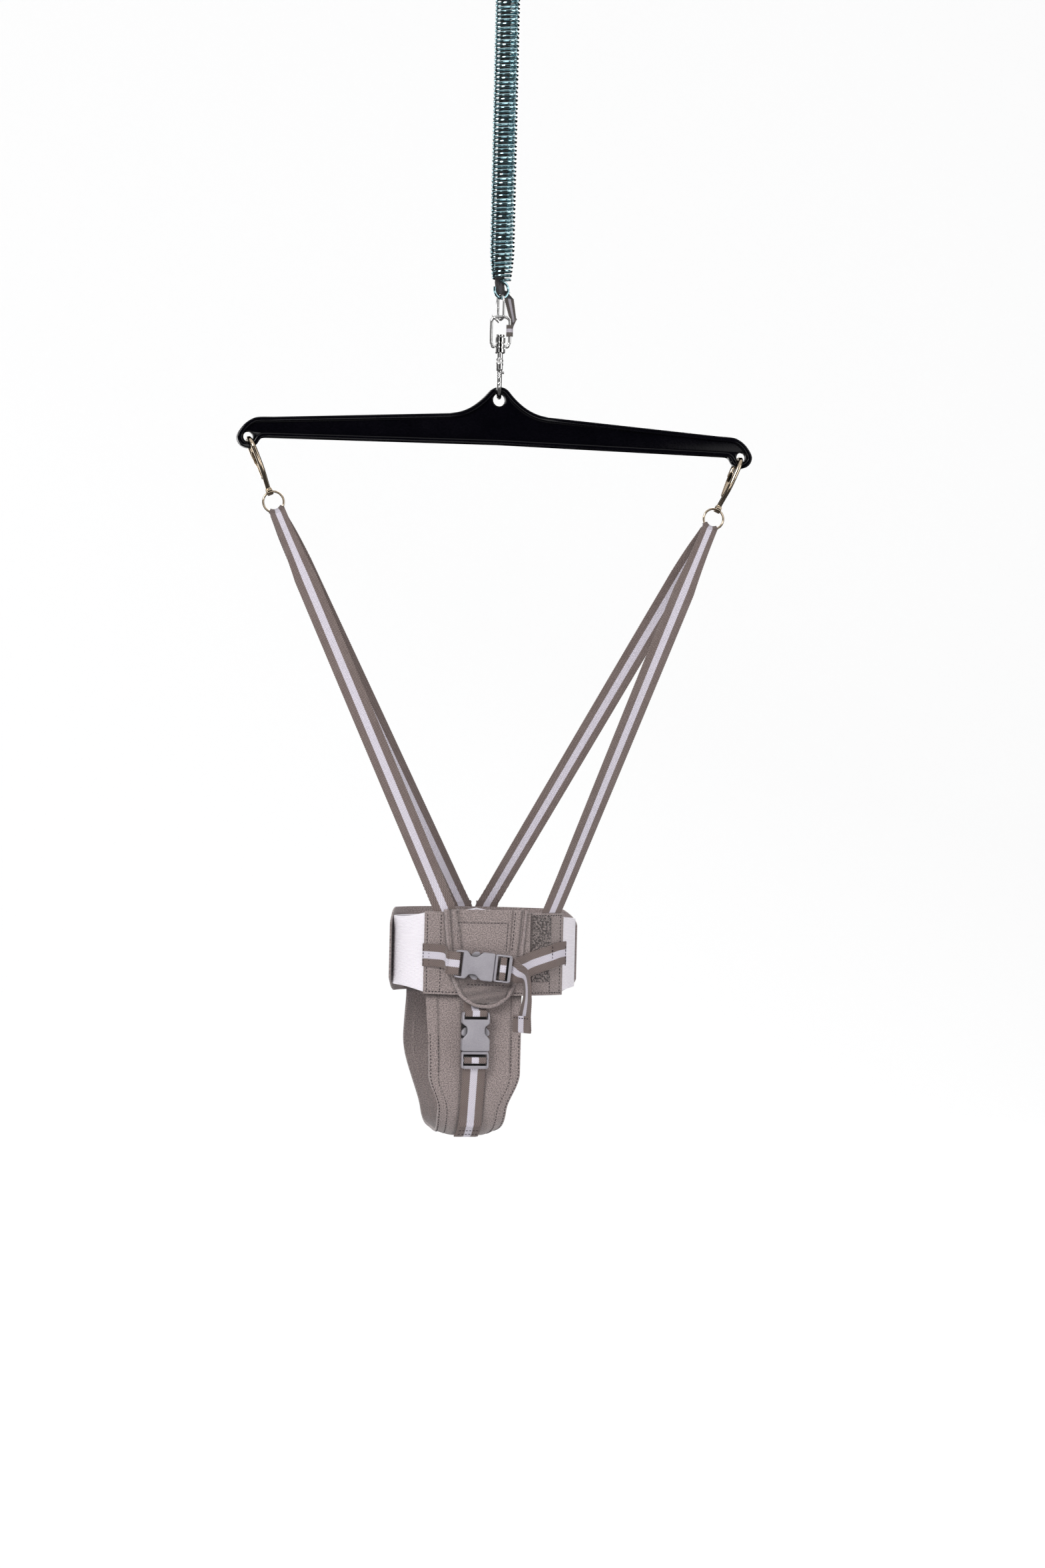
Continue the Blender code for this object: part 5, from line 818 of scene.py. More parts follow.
outer_run = [inner_run[-1], past_link,
             (leg + bail_back * wrap * 2.6 + bail_side * wrap * 1.5 + UP * SAFETY_WIDTH * 0.75,
              bail_side * 0.5 + UP, SAFETY_WIDTH * 0.7),
             (leg + bail_back * wrap + bail_side * wrap * 0.4 + UP * SAFETY_WIDTH * 0.08, UP,
              SAFETY_WIDTH * 0.9)]
round_leg = [(leg + bail_side * across + bail_back * back, UP, SAFETY_WIDTH)
             for across, back in arc((0, 0), wrap, 100, 370, 24)]
upper_run, lower_run = run_of(inner_run, 0.0006), run_of(outer_run, 0.0005)
# The length inside the spring takes the darker copy: painted shade
held_inside = piece("safety_strap_inside_spring", strap("upper", upper_run, SAFETY_THICKNESS, SAFETY_WIDTH),
                    shaded_webbing)
joining(held_inside, ["safety_strap"])
sewn_round = piece("safety_strap_round_bail",
                   strap("lower", lower_run + round_leg, SAFETY_THICKNESS, SAFETY_WIDTH), narrow_webbing)
joining(sewn_round, [])
length_of(upper_run)
length_of(lower_run + round_leg)

# Oval link: bright chromed wire between the spring's hook loop and the bail, closed with a brazed seam.
chrome = hard_finish("bright_chrome", colour(212, 211, 210), colour(176, 175, 175), 0.04, 1.0, 120, 3200,
                     0.00001, spread=0.04)
LINK_HALF_WIDTH = 0.0042
link_height = link_high.z - link_low.z - 2 * LINK_WIRE_RADIUS
link_place = at((0, 0, link_high.z - LINK_WIRE_RADIUS)) @ about("Z", LOOP_TURN + pi / 2)
link_loop = long_ring(LINK_HALF_WIDTH, link_height, 24)
seam = bead((LINK_HALF_WIDTH, 0, -link_height / 2), LINK_WIRE_RADIUS * 1.12, LINK_WIRE_RADIUS)
link = together("link", [wire("link", link_loop, LINK_WIRE_RADIUS, True, 6), seam])
fitted(piece("chromed_oval_link", link, chrome, link_place), "lower_link", ["oval_link"])

# Swivel: a D-shaped bail of round wire whose feet enter the barrel from both sides, a small jump ring on
# its shoulder, and the grooved barrel in which the snap's stem turns. All chromed.
BARREL_GROOVE, STEM_RADIUS = 0.0007, 0.0026
JUMP_RING_RADIUS, JUMP_RING_WIRE, JUMP_RING_TURNS, JUMP_RING_STEPS = 0.0042, 0.0008, 1.9, 140
barrel_low, barrel_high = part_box("swivel_barrel")
BARREL_RADIUS = (barrel_high.x - barrel_low.x) / 2
barrel_top, barrel_bottom = barrel_high.z, barrel_low.z
barrel_height = barrel_top - barrel_bottom
half, shoulder = BAIL_HALF_WIDTH, BAIL_WIRE_RADIUS * 4
foot = barrel_top - bail_top_z - barrel_height * 0.58
right_side = [(half * 0.30, 0.0), (half * 0.72, -shoulder * 0.14), (half * 0.93, -shoulder * 0.50),
              (half, -shoulder), (half, -BAIL_LEG), (half * 0.94, (foot - BAIL_LEG) / 2), (half * 0.80, foot),
              (BARREL_RADIUS + SEAT_GAP, foot)]
bail_line = [(-x, z) for x, z in right_side][::-1] + right_side
bail_spine = through([(x, 0, z) for x, z in bail_line], 8)
bail_place = at((0, 0, bail_top_z)) @ about("Z", BAIL_TURN)
fitted(piece("chromed_bail", wire("bail", bail_spine, BAIL_WIRE_RADIUS, False, 6), chrome, bail_place),
       "swivel", ["swivel_bail"])
tilt = about("Y", radians(-40))
hang = JUMP_RING_RADIUS - JUMP_RING_WIRE - BAIL_WIRE_RADIUS - SEAT_GAP
spot = at(Vector((-half * 0.72, 0, -BAIL_WIRE_RADIUS * 0.56)) - tilt @ (UP * hang))
# Split ring: almost two turns of fine wire pressed against each other
split = [Vector(((share - 0.5) * JUMP_RING_WIRE * 0.9,
                 *polar(JUMP_RING_RADIUS, tau * JUMP_RING_TURNS * share).xy))
         for share in shares(JUMP_RING_STEPS)]
fitted(piece("split_jump_ring", wire("split", split, JUMP_RING_WIRE * 0.52), chrome,
             bail_place @ spot @ tilt), "swivel", ["bail_jump_ring"])
bore = STEM_RADIUS + SEAT_GAP
step_height = barrel_height / 8
GROOVED_SHARES = [(-1, 0.0), (0, 0.25), (0, 2.4), (-1, 2.7), (-1, 3.3), (0, 3.6), (0, 4.8), (-1, 5.1),
                  (-1, 5.6), (0, 5.9), (0, 7.6), (-1, 8.0)]
outside = [(BARREL_RADIUS + BARREL_GROOVE * inward, barrel_top - step_height * down)
           for inward, down in GROOVED_SHARES]
barrel = turned("barrel", [(bore, barrel_top)] + outside + [(bore, barrel_bottom)], 64, True)
fitted(piece("grooved_barrel", barrel, chrome), "swivel", ["swivel_barrel"])

# Bolt snap: a die-cast, chromed hook with its stem and housing in one piece, polished all over, and the
# sliding bolt with a thumb knob that a small spring in the housing pushes shut.
SNAP_WIRE_RADIUS, SNAP_HOOK_RADIUS, SNAP_HEIGHT = 0.0022, 0.0105, 0.0222
SNAP_TURN, SNAP_VOXEL = about("Z", radians(-12)), 0.00026
STEM_HEAD_RADIUS, STEM_HEAD_HEIGHT, HOUSING_RADIUS, HOUSING_HEIGHT = 0.0038, 0.0024, 0.0033, 0.0085
BOLT_PIN_RADIUS, BOLT_TRAVEL, KNOB_RADIUS, KNOB_REACH = 0.0021, 0.0050, 0.0013, 0.0042
SNAP_SPRING_WIRE, SNAP_SPRING_TURNS, SNAP_SPRING_STEPS = 0.0003, 5, 24
OVERCUT = 0.001


def subtracted(guide, cutter, overlapping=False):
    """What is left of an object when another is cut out of it; both are removed."""
    cut = guide.modifiers.new("cut", "BOOLEAN")
    cut.operation, cut.object, cut.solver, cut.use_self = "DIFFERENCE", cutter, "EXACT", overlapping
    return settled(guide, cutter)


def cast(name, solids, hollows, voxel, rounds):
    """Solids run together into one casting with soft inner corners, with hollows cut out of it."""
    guide, cutter = linked(name, together(name, solids)), linked("hollow", together("hollow", hollows))
    for thing in (guide, cutter):
        fuse = thing.modifiers.new("fuse", "REMESH")
        fuse.mode, fuse.voxel_size = "VOXEL", voxel
    ease = guide.modifiers.new("ease", "SMOOTH")
    ease.iterations, ease.factor = rounds, 0.5
    return subtracted(guide, cutter)


reach, thick = SNAP_HOOK_RADIUS, SNAP_WIRE_RADIUS
hook_centre = barrel_bottom - SNAP_HEIGHT - thick * 3
neck = barrel_bottom - SNAP_HEIGHT * 0.30
hook_line = [(0, neck), (reach * 0.30, neck - thick), (reach * 0.75, neck - thick * 2.6),
             (reach, neck - thick * 4.6)]
hook_line += arc((0, hook_centre), reach, 0, -180, 12) + [(-reach, hook_centre + thick / 4)]
hook_body = wire("hook", through([(0, y, z) for y, z in hook_line], 6), thick, False, 6)
head_low = barrel_top + SEAT_GAP
head_high = head_low + STEM_HEAD_HEIGHT
stem = turned("stem", [(0, head_high), (STEM_HEAD_RADIUS * 0.9, head_high),
                       (STEM_HEAD_RADIUS, head_low + STEM_HEAD_HEIGHT * 0.8), (STEM_HEAD_RADIUS, head_low),
                       (STEM_RADIUS, head_low), (STEM_RADIUS, neck + thick), (STEM_RADIUS * 1.25, neck),
                       (STEM_RADIUS, neck - thick), (0, neck - thick)], 40)
house_top = neck - thick * 0.8
house_low = house_top - HOUSING_HEIGHT
bridge_line = [(0, 0, neck), (0, -reach * 0.55, neck - thick * 0.8), (0, -reach, house_top - thick)]
bridge = wire("bridge", through(bridge_line, 8), thick * 0.95, False, 6)
shell = turned("shell", [(0, house_top), (HOUSING_RADIUS * 0.7, house_top),
                         (HOUSING_RADIUS, house_top - thick), (HOUSING_RADIUS, house_low + thick / 2),
                         (HOUSING_RADIUS * 0.85, house_low), (0, house_low)], 40)
shell.transform(at((0, -reach, 0)))
pin_bore = BOLT_PIN_RADIUS + SEAT_GAP
bore_top = house_low + BOLT_TRAVEL + thick
drill = turned("drill", [(0, house_low - OVERCUT), (pin_bore, house_low - OVERCUT), (pin_bore, bore_top),
                         (0, bore_top)], 40)
drill.transform(at((0, -reach, 0)))
slot = block("slot", (pin_bore / 2, -reach - KNOB_RADIUS - SEAT_GAP, house_low - OVERCUT),
             (KNOB_REACH + OVERCUT * 2, -reach + KNOB_RADIUS + SEAT_GAP, house_low + BOLT_TRAVEL))
snap = cast("snap", [hook_body, stem, bridge, shell], [slot, drill], SNAP_VOXEL, 4)
fitted(piece("cast_bolt_snap", snap, chrome, SNAP_TURN, radians(60)), "snap", ["bolt_snap"])
bolt_foot = hook_centre + thick / 4 + SEAT_GAP
crown = house_low + thick - SNAP_SPRING_WIRE * 4
ridge = (house_low - bolt_foot) / 9
wide, groove = BOLT_PIN_RADIUS, BOLT_PIN_RADIUS * 0.84
pin_profile = [(0, crown), (wide * 0.9, crown), (wide, crown - 0.0002), (wide, house_low - ridge)]
for index in range(3):
    height = house_low - ridge * (1.6 + index * 1.6)
    pin_profile += [(groove, height + ridge * 0.3), (groove, height + ridge * 0.1),
                    (wide, height - ridge * 0.3), (wide, height - ridge * 0.7)]
pin_profile += [(wide, bolt_foot + ridge), (wide * 0.9, bolt_foot), (0, bolt_foot)]
knob_z = house_low - KNOB_RADIUS - SEAT_GAP
knob = turned("knob", [(0, 0), (KNOB_RADIUS * 0.7, 0), (KNOB_RADIUS * 0.7, KNOB_REACH * 0.6),
                       (KNOB_RADIUS, KNOB_REACH * 0.72), (KNOB_RADIUS, KNOB_REACH * 0.92),
                       (KNOB_RADIUS * 0.7, KNOB_REACH), (0, KNOB_REACH)], 32)
knob.transform(at((0, 0, knob_z)) @ about("Y"))
pin = together("pin", [turned("pin", pin_profile, 40), knob])
bolt_place = SNAP_TURN @ at((0, -reach, 0))
fitted(piece("thumb_bolt", pin, chrome, bolt_place), "snap_bolt", ["snap_sliding_bolt"])
room = bore_top - crown - SNAP_SPRING_WIRE * 2 - SEAT_GAP
small_coil = [polar(BOLT_PIN_RADIUS - SNAP_SPRING_WIRE, tau * SNAP_SPRING_TURNS * share,
                    crown + SNAP_SPRING_WIRE + SEAT_GAP / 2 + room * share)
              for share in shares(SNAP_SPRING_TURNS * SNAP_SPRING_STEPS)]
bolt_spring = piece("bolt_return_spring", wire("bolt_spring", small_coil, SNAP_SPRING_WIRE), zinc, bolt_place)
joining(bolt_spring, ["snap_bolt_spring"])

# Spreader bar: one injection moulding in glossy black plastic, a flat web inside a raised rim, with an ear
# in the middle for the snap and a lobe at each end for the strap hooks.
BAR_HALF_SPAN, BAR_HOLE_DROP, BAR_THICKNESS, BAR_END_RADIUS = 0.2263, 0.0425, 0.0100, 0.0100
BAR_TOP_DROP, BAR_TOP_FALL, BAR_DEPTH, BAR_BOTTOM_FALL = 0.0110, 0.0145, 0.0292, 0.0024
BAR_RIM, BAR_WEB, BOSS_WALL, BOSS_RISE, RIM_OVERLAP = 0.0042, 0.0048, 0.0013, 0.0012, 0.0012
CENTRE_HOLE_RADIUS, END_HOLE_RADIUS = 0.0057, 0.0044
gloss_black = hard_finish("gloss_black_moulding", colour(3, 3, 6), colour(8, 7, 12), 0.09, 0.0, 26, 700,
                          0.00003, 0.12, 0.05)
gloss_black.node_tree.nodes["Principled BSDF"].inputs["Specular IOR Level"].default_value = 0.2
ear, end = BAR_EAR_RADIUS, BAR_END_RADIUS
FLARE_SHARES = [(1.14, 0.22), (1.60, -0.20), (2.07, -0.55), (2.62, -0.85), (3.2, -1.06)]
CROWN_SHARES = [(-0.83, 1.77), (-0.20, 1.54), (0.30, 1.17), (0.66, 0.74), (0.90, 0.34)]


def eased_corner(points, steps=5):
    return [tuple(point[:2]) for point in through([(x, z, 0) for x, z in points], steps)]


low_edge = -BAR_TOP_DROP - BAR_DEPTH - BAR_BOTTOM_FALL
right_half = arc((0, 0), ear, 90, 45, 10)[:-1]
right_half += eased_corner([right_half[-1], (ear * cos(pi / 4), ear * sin(pi / 4))]
                           + [(ear * x, ear * z) for x, z in FLARE_SHARES]
                           + [(BAR_HALF_SPAN * 0.20, -BAR_TOP_DROP - BAR_TOP_FALL * 0.20)])[5:]
right_half += [(BAR_HALF_SPAN * share, -BAR_TOP_DROP - BAR_TOP_FALL * share) for share in (0.55, 0.86)]
right_half += eased_corner([(BAR_HALF_SPAN * 0.90, -BAR_TOP_DROP - BAR_TOP_FALL * 0.90)]
                           + [(BAR_HALF_SPAN + end * x, end * z - BAR_HOLE_DROP) for x, z in CROWN_SHARES]
                           + [(BAR_HALF_SPAN + end * cos(radians(2)),
                               end * sin(radians(2)) - BAR_HOLE_DROP)])
right_half += arc((BAR_HALF_SPAN, -BAR_HOLE_DROP), end, -4, -150, 24)
right_half += eased_corner([(BAR_HALF_SPAN - end * 0.866, -BAR_HOLE_DROP - end * 0.5),
                            (BAR_HALF_SPAN - end * 1.05, low_edge - end * 0.20),
                            (BAR_HALF_SPAN - end * 1.32, low_edge - end * 0.03),
                            (BAR_HALF_SPAN - end * 1.8, low_edge)])[1:]
right_half += [(0, -BAR_TOP_DROP - BAR_DEPTH)]
bar_outline = right_half + [(-x, z) for x, z in right_half[1:-1]][::-1]


def moved_in(outline, margin):
    """A clockwise outline moved inward by a margin."""
    moved = []
    for index, point in enumerate(outline):
        point = Vector(point)
        before = (point - Vector(outline[index - 1])).normalized()
        after = (Vector(outline[(index + 1) % len(outline)]) - point).normalized()
        inward = Vector((before.y + after.y, -before.x - after.x)).normalized()
        square = Vector((before.y, -before.x))
        moved.append(tuple(point + inward * margin / max(inward.dot(square), 1 / 2)))
    return moved


holes = [(0, 0, CENTRE_HOLE_RADIUS), (-BAR_HALF_SPAN, -BAR_HOLE_DROP, END_HOLE_RADIUS),
         (BAR_HALF_SPAN, -BAR_HOLE_DROP, END_HOLE_RADIUS)]
rim = plate("rim", bar_outline, BAR_THICKNESS, [moved_in(bar_outline, BAR_RIM)], 0.0011)
bores = [circle(radius, 64, (x, z)) for x, z, radius in holes]
web = plate("web", moved_in(bar_outline, BAR_RIM - RIM_OVERLAP), BAR_WEB, bores, 0.0003)
bosses = [plate("boss", circle(radius + BOSS_WALL, 64, (x, z)), BAR_WEB + BOSS_RISE, [bore], 0.0005)
          for (x, z, radius), bore in zip(holes, bores)]
stand = at((0, 0, bar_z)) @ about("X")
fitted(piece("moulded_spreader_bar", together("bar", [rim, web, *bosses]), gloss_black, stand), "bar",
       ["spreader_bar"])

# End hooks: nickel-plated snap hooks bent from round wire, each with a leaf gate riveted on and an eye
# that carries the strap ring. The leaf is spring steel and closes against the nose.
HOOK_LEAN, HOOK_VOXEL = radians(23), 0.00028
HOOK_WIRE_RADIUS, HOOK_BEND_RADIUS, HOOK_LENGTH, HOOK_NOSE = 0.0022, 0.0105, 0.0520, 0.0070
HOOK_EYE_RADIUS, HOOK_EYE_WALL, HOOK_EYE_WIDTH = 0.0021, 0.0013, 0.0053
GATE_THICKNESS, GATE_WIDTH, GATE_RIVET_RADIUS = 0.0007, 0.0040, 0.0009
RING_RADIUS, RING_WIRE_RADIUS = 0.0092, 0.0010
nickel = hard_finish("warm_nickel", colour(196, 180, 160), colour(146, 130, 110), 0.07, 1.0, 110, 3000,
                     0.00001, spread=0.07)


def saddle(bend, wire_radius, half_thickness):
    """How far a bent wire's crown stands off the edges of the plate hole that it hangs in."""
    return bend - sqrt((bend - wire_radius) ** 2 - half_thickness ** 2) + SEAT_GAP


stand_off = saddle(HOOK_BEND_RADIUS, HOOK_WIRE_RADIUS, BAR_WEB / 2)
hook_bend_centre = END_HOLE_RADIUS - stand_off + HOOK_BEND_RADIUS
ring_centre = HOOK_LENGTH + HOOK_EYE_RADIUS - RING_WIRE_RADIUS - SEAT_GAP * 2 + RING_RADIUS
shank = HOOK_LENGTH - hook_bend_centre
eye_top = HOOK_LENGTH - HOOK_EYE_RADIUS - HOOK_EYE_WALL
root_y, root_z = HOOK_BEND_RADIUS * 0.26, -hook_bend_centre - shank * 0.66


def end_place(side):
    """The frame of an end hook: its -Z runs down the leaning hook from the bar's end hole."""
    return at((side * BAR_HALF_SPAN, 0, bar_z - BAR_HOLE_DROP)) @ about("Y", side * HOOK_LEAN)


for word, side in (("left", -1), ("right", 1)):
    bend, centre = HOOK_BEND_RADIUS, hook_bend_centre
    nose = [(bend * 0.96, -centre - HOOK_NOSE), (bend, -centre - HOOK_NOSE * 0.4)]
    over = [(y, z - centre) for y, z in arc((0, 0), bend, 0, 180, 10)]
    down = [(-bend, -centre - shank * 0.28), (-bend * 0.82, -centre - shank * 0.52),
            (-bend * 0.34, -centre - shank * 0.74), (-bend * 0.05, -eye_top + HOOK_WIRE_RADIUS * 0.6),
            (0, -eye_top - HOOK_EYE_WALL * 0.4)]
    body = wire("hook", through([(0, y, z) for y, z in nose + over + down], 6), HOOK_WIRE_RADIUS, False, 6)
    bore, outer, wide = HOOK_EYE_RADIUS, HOOK_EYE_RADIUS + HOOK_EYE_WALL, HOOK_EYE_WIDTH / 2
    eye = turned("eye", [(bore, -wide), (outer, -wide), (outer, wide), (bore, wide)], 40, True)
    eye_drill = turned("eye_drill", [(0, -wide * 2), (bore, -wide * 2), (bore, wide * 2), (0, wide * 2)], 40)
    for turning in (eye, eye_drill):
        turning.transform(at((0, 0, -HOOK_LENGTH)) @ about("Y"))
    hook = cast("hook", [body, eye], [eye_drill], HOOK_VOXEL, 3)
    fitted(piece(f"{word}_snap_hook", hook, nickel, end_place(side), radians(60)), "harness",
           [f"{word}_hook"])
    tip_y = bend - HOOK_WIRE_RADIUS - SEAT_GAP - GATE_THICKNESS
    tip_z = -centre - HOOK_NOSE * 0.35
    leaf = [(root_y, root_z), (root_y + (tip_y - root_y) * 0.42, root_z + (tip_z - root_z) * 0.28),
            (tip_y * 0.97, root_z + (tip_z - root_z) * 0.62), (tip_y, tip_z)]
    leaf_run = run_of([(Vector((0, y, z)), ACROSS, GATE_WIDTH) for y, z in leaf], 0.0006)
    last = len(leaf_run) - 1

    def leaf_shape(u, v):
        point, across_leaf, width = leaf_run[round(u * last)]
        tip = 1 - 0.35 * max(0.0, (u - 0.85) / 0.15) ** 2
        return point + across_leaf * width * tip * (v - 0.5)
    gate = cloth("gate", leaf_shape, last, 4, GATE_THICKNESS, length_of(leaf_run), GATE_WIDTH, 0.00015)
    fitted(piece(f"{word}_leaf_gate", gate, nickel, end_place(side)), f"{word}_gate", [f"{word}_hook_gate"])
    radius, wide = GATE_RIVET_RADIUS * 1.6, GATE_WIDTH / 2
    rivet_y = root_y - GATE_THICKNESS / 2 - SEAT_GAP - radius
    rivet = turned("rivet", [(0, -wide), (radius * 0.7, -wide), (radius, -wide + 0.0005),
                             (radius, wide - 0.0005), (radius * 0.7, wide), (0, wide)], 32)
    rivet.transform(at((0, rivet_y, root_z)) @ about("Y"))
    fitted(piece(f"{word}_gate_rivet", rivet, nickel, end_place(side)), "harness", [f"{word}_hook_gate_rivet"])
    # Strap ring: round nickel-plated wire, butt-welded
    ring_line = [Vector((x, 0, z)) for x, z in circle(RING_RADIUS, 96)]
    ring = wire("ring", ring_line, RING_WIRE_RADIUS, True, 5)
    fitted(piece(f"{word}_welded_ring", ring, nickel, end_place(side) @ at((0, 0, -ring_centre))),
           f"{word}_strap_ring", [f"{word}_ring"])

# Belt: a white elastic band, finely ribbed along its length, open at the front. Grey twill panels are sewn
# to its two front ends and close on each other with hook-and-loop; a third panel backs it behind.
BELT_HALF_WIDTH, BELT_HALF_DEPTH, BELT_CENTRE_X = 0.0825, 0.0610, -0.0020
BELT_DROP, BELT_HEIGHT, BELT_SIDE_HEIGHT = 0.4590, 0.0730, 0.0610
BAND_THICKNESS, PANEL_THICKNESS, PATCH_THICKNESS = 0.0020, 0.0016, 0.0008
BAND_LEFT_END, BAND_RIGHT_END = 0.0600, 0.0500
LEFT_PANEL_LEFT, LEFT_PANEL_RIGHT, RIGHT_PANEL_LEFT, RIGHT_PANEL_RIGHT = 0.0650, 0.0270, 0.0080, 0.0600
PATCH_LEFT, PATCH_RIGHT = 0.0285, 0.0460
BACK_PANEL_HEIGHT, BACK_PANEL_EDGE_HEIGHT = BELT_HEIGHT + 0.0020, 0.0490
belt_top = bar_z - BELT_DROP
belt_bottom = belt_top - BELT_HEIGHT
belt_middle = belt_top - BELT_HEIGHT / 2
right_level = SEAT_GAP + PANEL_THICKNESS / 2
left_level = right_level + PANEL_THICKNESS + SEAT_GAP
patch_level = SEAT_GAP * 2 + PANEL_THICKNESS + PATCH_THICKNESS / 2
back_level = right_level


def belt_angle(x, level=0.0):
    return asin(max(-1, min(1, (x - BELT_CENTRE_X) / (BELT_HALF_WIDTH + level))))


def belt_point(angle, z, level):
    """A point at an angle from the front, towards +X, at a height above the band's outer face."""
    return Vector((BELT_CENTRE_X + (BELT_HALF_WIDTH + level) * sin(angle),
                   -(BELT_HALF_DEPTH + level) * cos(angle), z))


def belt_normal(angle):
    return Vector((sin(angle) / BELT_HALF_WIDTH, -cos(angle) / BELT_HALF_DEPTH, 0)).normalized()


def belt_length(start, end):
    line = [belt_point(start + (end - start) * share, 0, 0) for share in shares(60)]
    return sum((a - b).length for a, b in zip(line, line[1:]))


def ribbed_elastic(name, tone, shade, pitch=0.0013):
    """White elastic: ribs along the band's length, crossed by fine rubber threads, with painted shade in the
    grooves between the ribs.
    """
    material, tree, shader, lengths, _ = soft_finish(name, 0.1, 0.82)
    turns = maths(tree, "MULTIPLY", axes(tree, lengths)["Y"], tau / pitch)
    rib = ranged(tree, maths(tree, "SINE", turns), -1.0)
    threads = threads_of(tree, lengths, 0.0011, pitch)
    toned = mixed_colour(tree, maths(tree, "POWER", rib, 0.45), shade, tone)
    tree.links.new(toned, shader.inputs["Base Color"])
    raised(tree, shader, maths(tree, "MULTIPLY_ADD", threads["Height"], 0.3, rib), 0.0003, 0.8)
    return material


def twill_finish(name, tone, deep):
    """Grey twill: a slanted weave with a lighter thread here and there, and each thread's crown painted
    lighter as a highlight.
    """
    material, tree, shader, lengths, marks = soft_finish(name, 0.35, 0.9)
    slant = add(tree, "Mapping", {"Vector": lengths, "Rotation": (0, 0, radians(32))})
    threads = threads_of(tree, slant.outputs[0], 0.0011, 0.0007)
    fleck = add(tree, "TexNoise", {"Vector": lengths, "Scale": 950.0, "Detail": 3.0},
                noise_dimensions="2D").outputs["Fac"]
    grainy = mixed_colour(tree, ranged(tree, fleck, 0.38, 0.60), deep, tone)
    light = [min(1, channel * 1.32 + 0.01) for channel in tone[:3]] + [1.0]
    woven = mixed_colour(tree, maths(tree, "MULTIPLY", threads["Light"], 0.35), grainy, light)
    soiled = mixed_colour(tree, maths(tree, "MULTIPLY", marks, 0.16), woven, deep)
    tree.links.new(darken_by_painted_shade(tree, soiled), shader.inputs["Base Color"])
    raised(tree, shader, maths(tree, "MULTIPLY_ADD", fleck, 0.8, threads["Height"]), 0.00022, 0.7)
    return material


def pile_finish(name, tone, deep):
    """Loop pile of a hook-and-loop fastener: matted tufts with painted shade in the gaps between them."""
    material, tree, shader, lengths, _ = soft_finish(name, 0.5, 0.96)
    tufts = add(tree, "TexVoronoi", {"Vector": lengths, "Scale": 640.0, "Randomness": 1.0},
                voronoi_dimensions="2D").outputs["Distance"]
    mats = add(tree, "TexNoise", {"Vector": lengths, "Scale": 480.0, "Detail": 2.0},
               noise_dimensions="2D").outputs["Fac"]
    gaps = ranged(tree, maths(tree, "MULTIPLY_ADD", tufts, 0.45, mats), 0.50, 0.78)
    tree.links.new(mixed_colour(tree, gaps, tone, deep), shader.inputs["Base Color"])
    raised(tree, shader, gaps, 0.0006, 0.9, invert=True)
    return material


elastic = ribbed_elastic("white_ribbed_elastic", colour(254, 250, 255), colour(228, 219, 229))
twill = twill_finish("grey_twill", colour(160, 146, 143), colour(98, 88, 87))
loop_pile = pile_finish("loop_pile", colour(136, 123, 120), colour(62, 54, 53))


def round_belt(name, start, end, level, thickness, material, low, high, node, puff, steps=90, rows=10):
    """A sheet round the belt between two angles and heights; puff(u, v) lifts it off its level."""
    def shape(u, v):
        return belt_point(start + (end - start) * u, low + (high - low) * v, level + puff(u, v))
    long = belt_length(start, end)
    made = piece(name, cloth(name, shape, steps, rows, thickness, long, high - low, thickness * 0.3), material)
    return sheet(made, [node], (long, high - low))


band_start, band_end = belt_angle(BAND_RIGHT_END), tau + belt_angle(-BAND_LEFT_END)


def band_shape(u, v):
    share = min(u, 1 - u) * 2
    narrow = sin(pi / 2 * min(1, sin(pi * share) * 1.4))
    height = BELT_HEIGHT + (BELT_SIDE_HEIGHT - BELT_HEIGHT) * narrow
    return belt_point(band_start + (band_end - band_start) * u, belt_middle + height * (v - 1 / 2),
                      -BAND_THICKNESS / 2)


band_length = belt_length(band_start, band_end)
elastic_band = piece("elastic_belt_band", cloth("band", band_shape, 220, 14, BAND_THICKNESS, band_length,
                                                BELT_HEIGHT, BAND_THICKNESS * 0.3), elastic)
fitted(elastic_band, "harness", ["belt_band"])
left_from, left_to = belt_angle(-LEFT_PANEL_LEFT, left_level), belt_angle(LEFT_PANEL_RIGHT, left_level)
right_from, right_to = belt_angle(-RIGHT_PANEL_LEFT), belt_angle(RIGHT_PANEL_RIGHT)


def soft_waves(u, v):
    return 0.00010 * noise.noise(Vector((u * 9, v * 5, 2.0)))


left_panel = round_belt("left_twill_panel", left_from, left_to, left_level, PANEL_THICKNESS, twill,
                        belt_bottom, belt_top, "left_belt_panel", soft_waves)
right_panel = round_belt("right_twill_panel", right_from, right_to, right_level, PANEL_THICKNESS, twill,
                         belt_bottom, belt_top, "right_belt_panel", soft_waves)
# Painted shade on the right panel beside the left one's edge
write_painted_shade(right_panel, lambda spot: 0.75 * bell(max(0.0, spot.x - LEFT_PANEL_RIGHT), 0.0022))
trim = BELT_HEIGHT / 30
round_belt("hook_and_loop_patch", belt_angle(PATCH_LEFT), belt_angle(PATCH_RIGHT), patch_level,
           PATCH_THICKNESS, loop_pile, belt_bottom + trim * 5, belt_top - trim, "closure_patch",
           lambda u, v: 0.00012 + 0.00012 * noise.noise(Vector((u * 40, v * 90, 7.0))), 40, 30)
back_from, back_to = radians(84), radians(278)


def back_shape(u, v):
    edge = sin(pi * u)
    height = BACK_PANEL_EDGE_HEIGHT + (BACK_PANEL_HEIGHT - BACK_PANEL_EDGE_HEIGHT) * min(1, edge * 2.2)
    level = back_level + PANEL_THICKNESS * 3 * max(0, (u - 0.9) * 10) ** 2
    return belt_point(back_from + (back_to - back_from) * u, belt_middle + height * (v - 1 / 2), level)


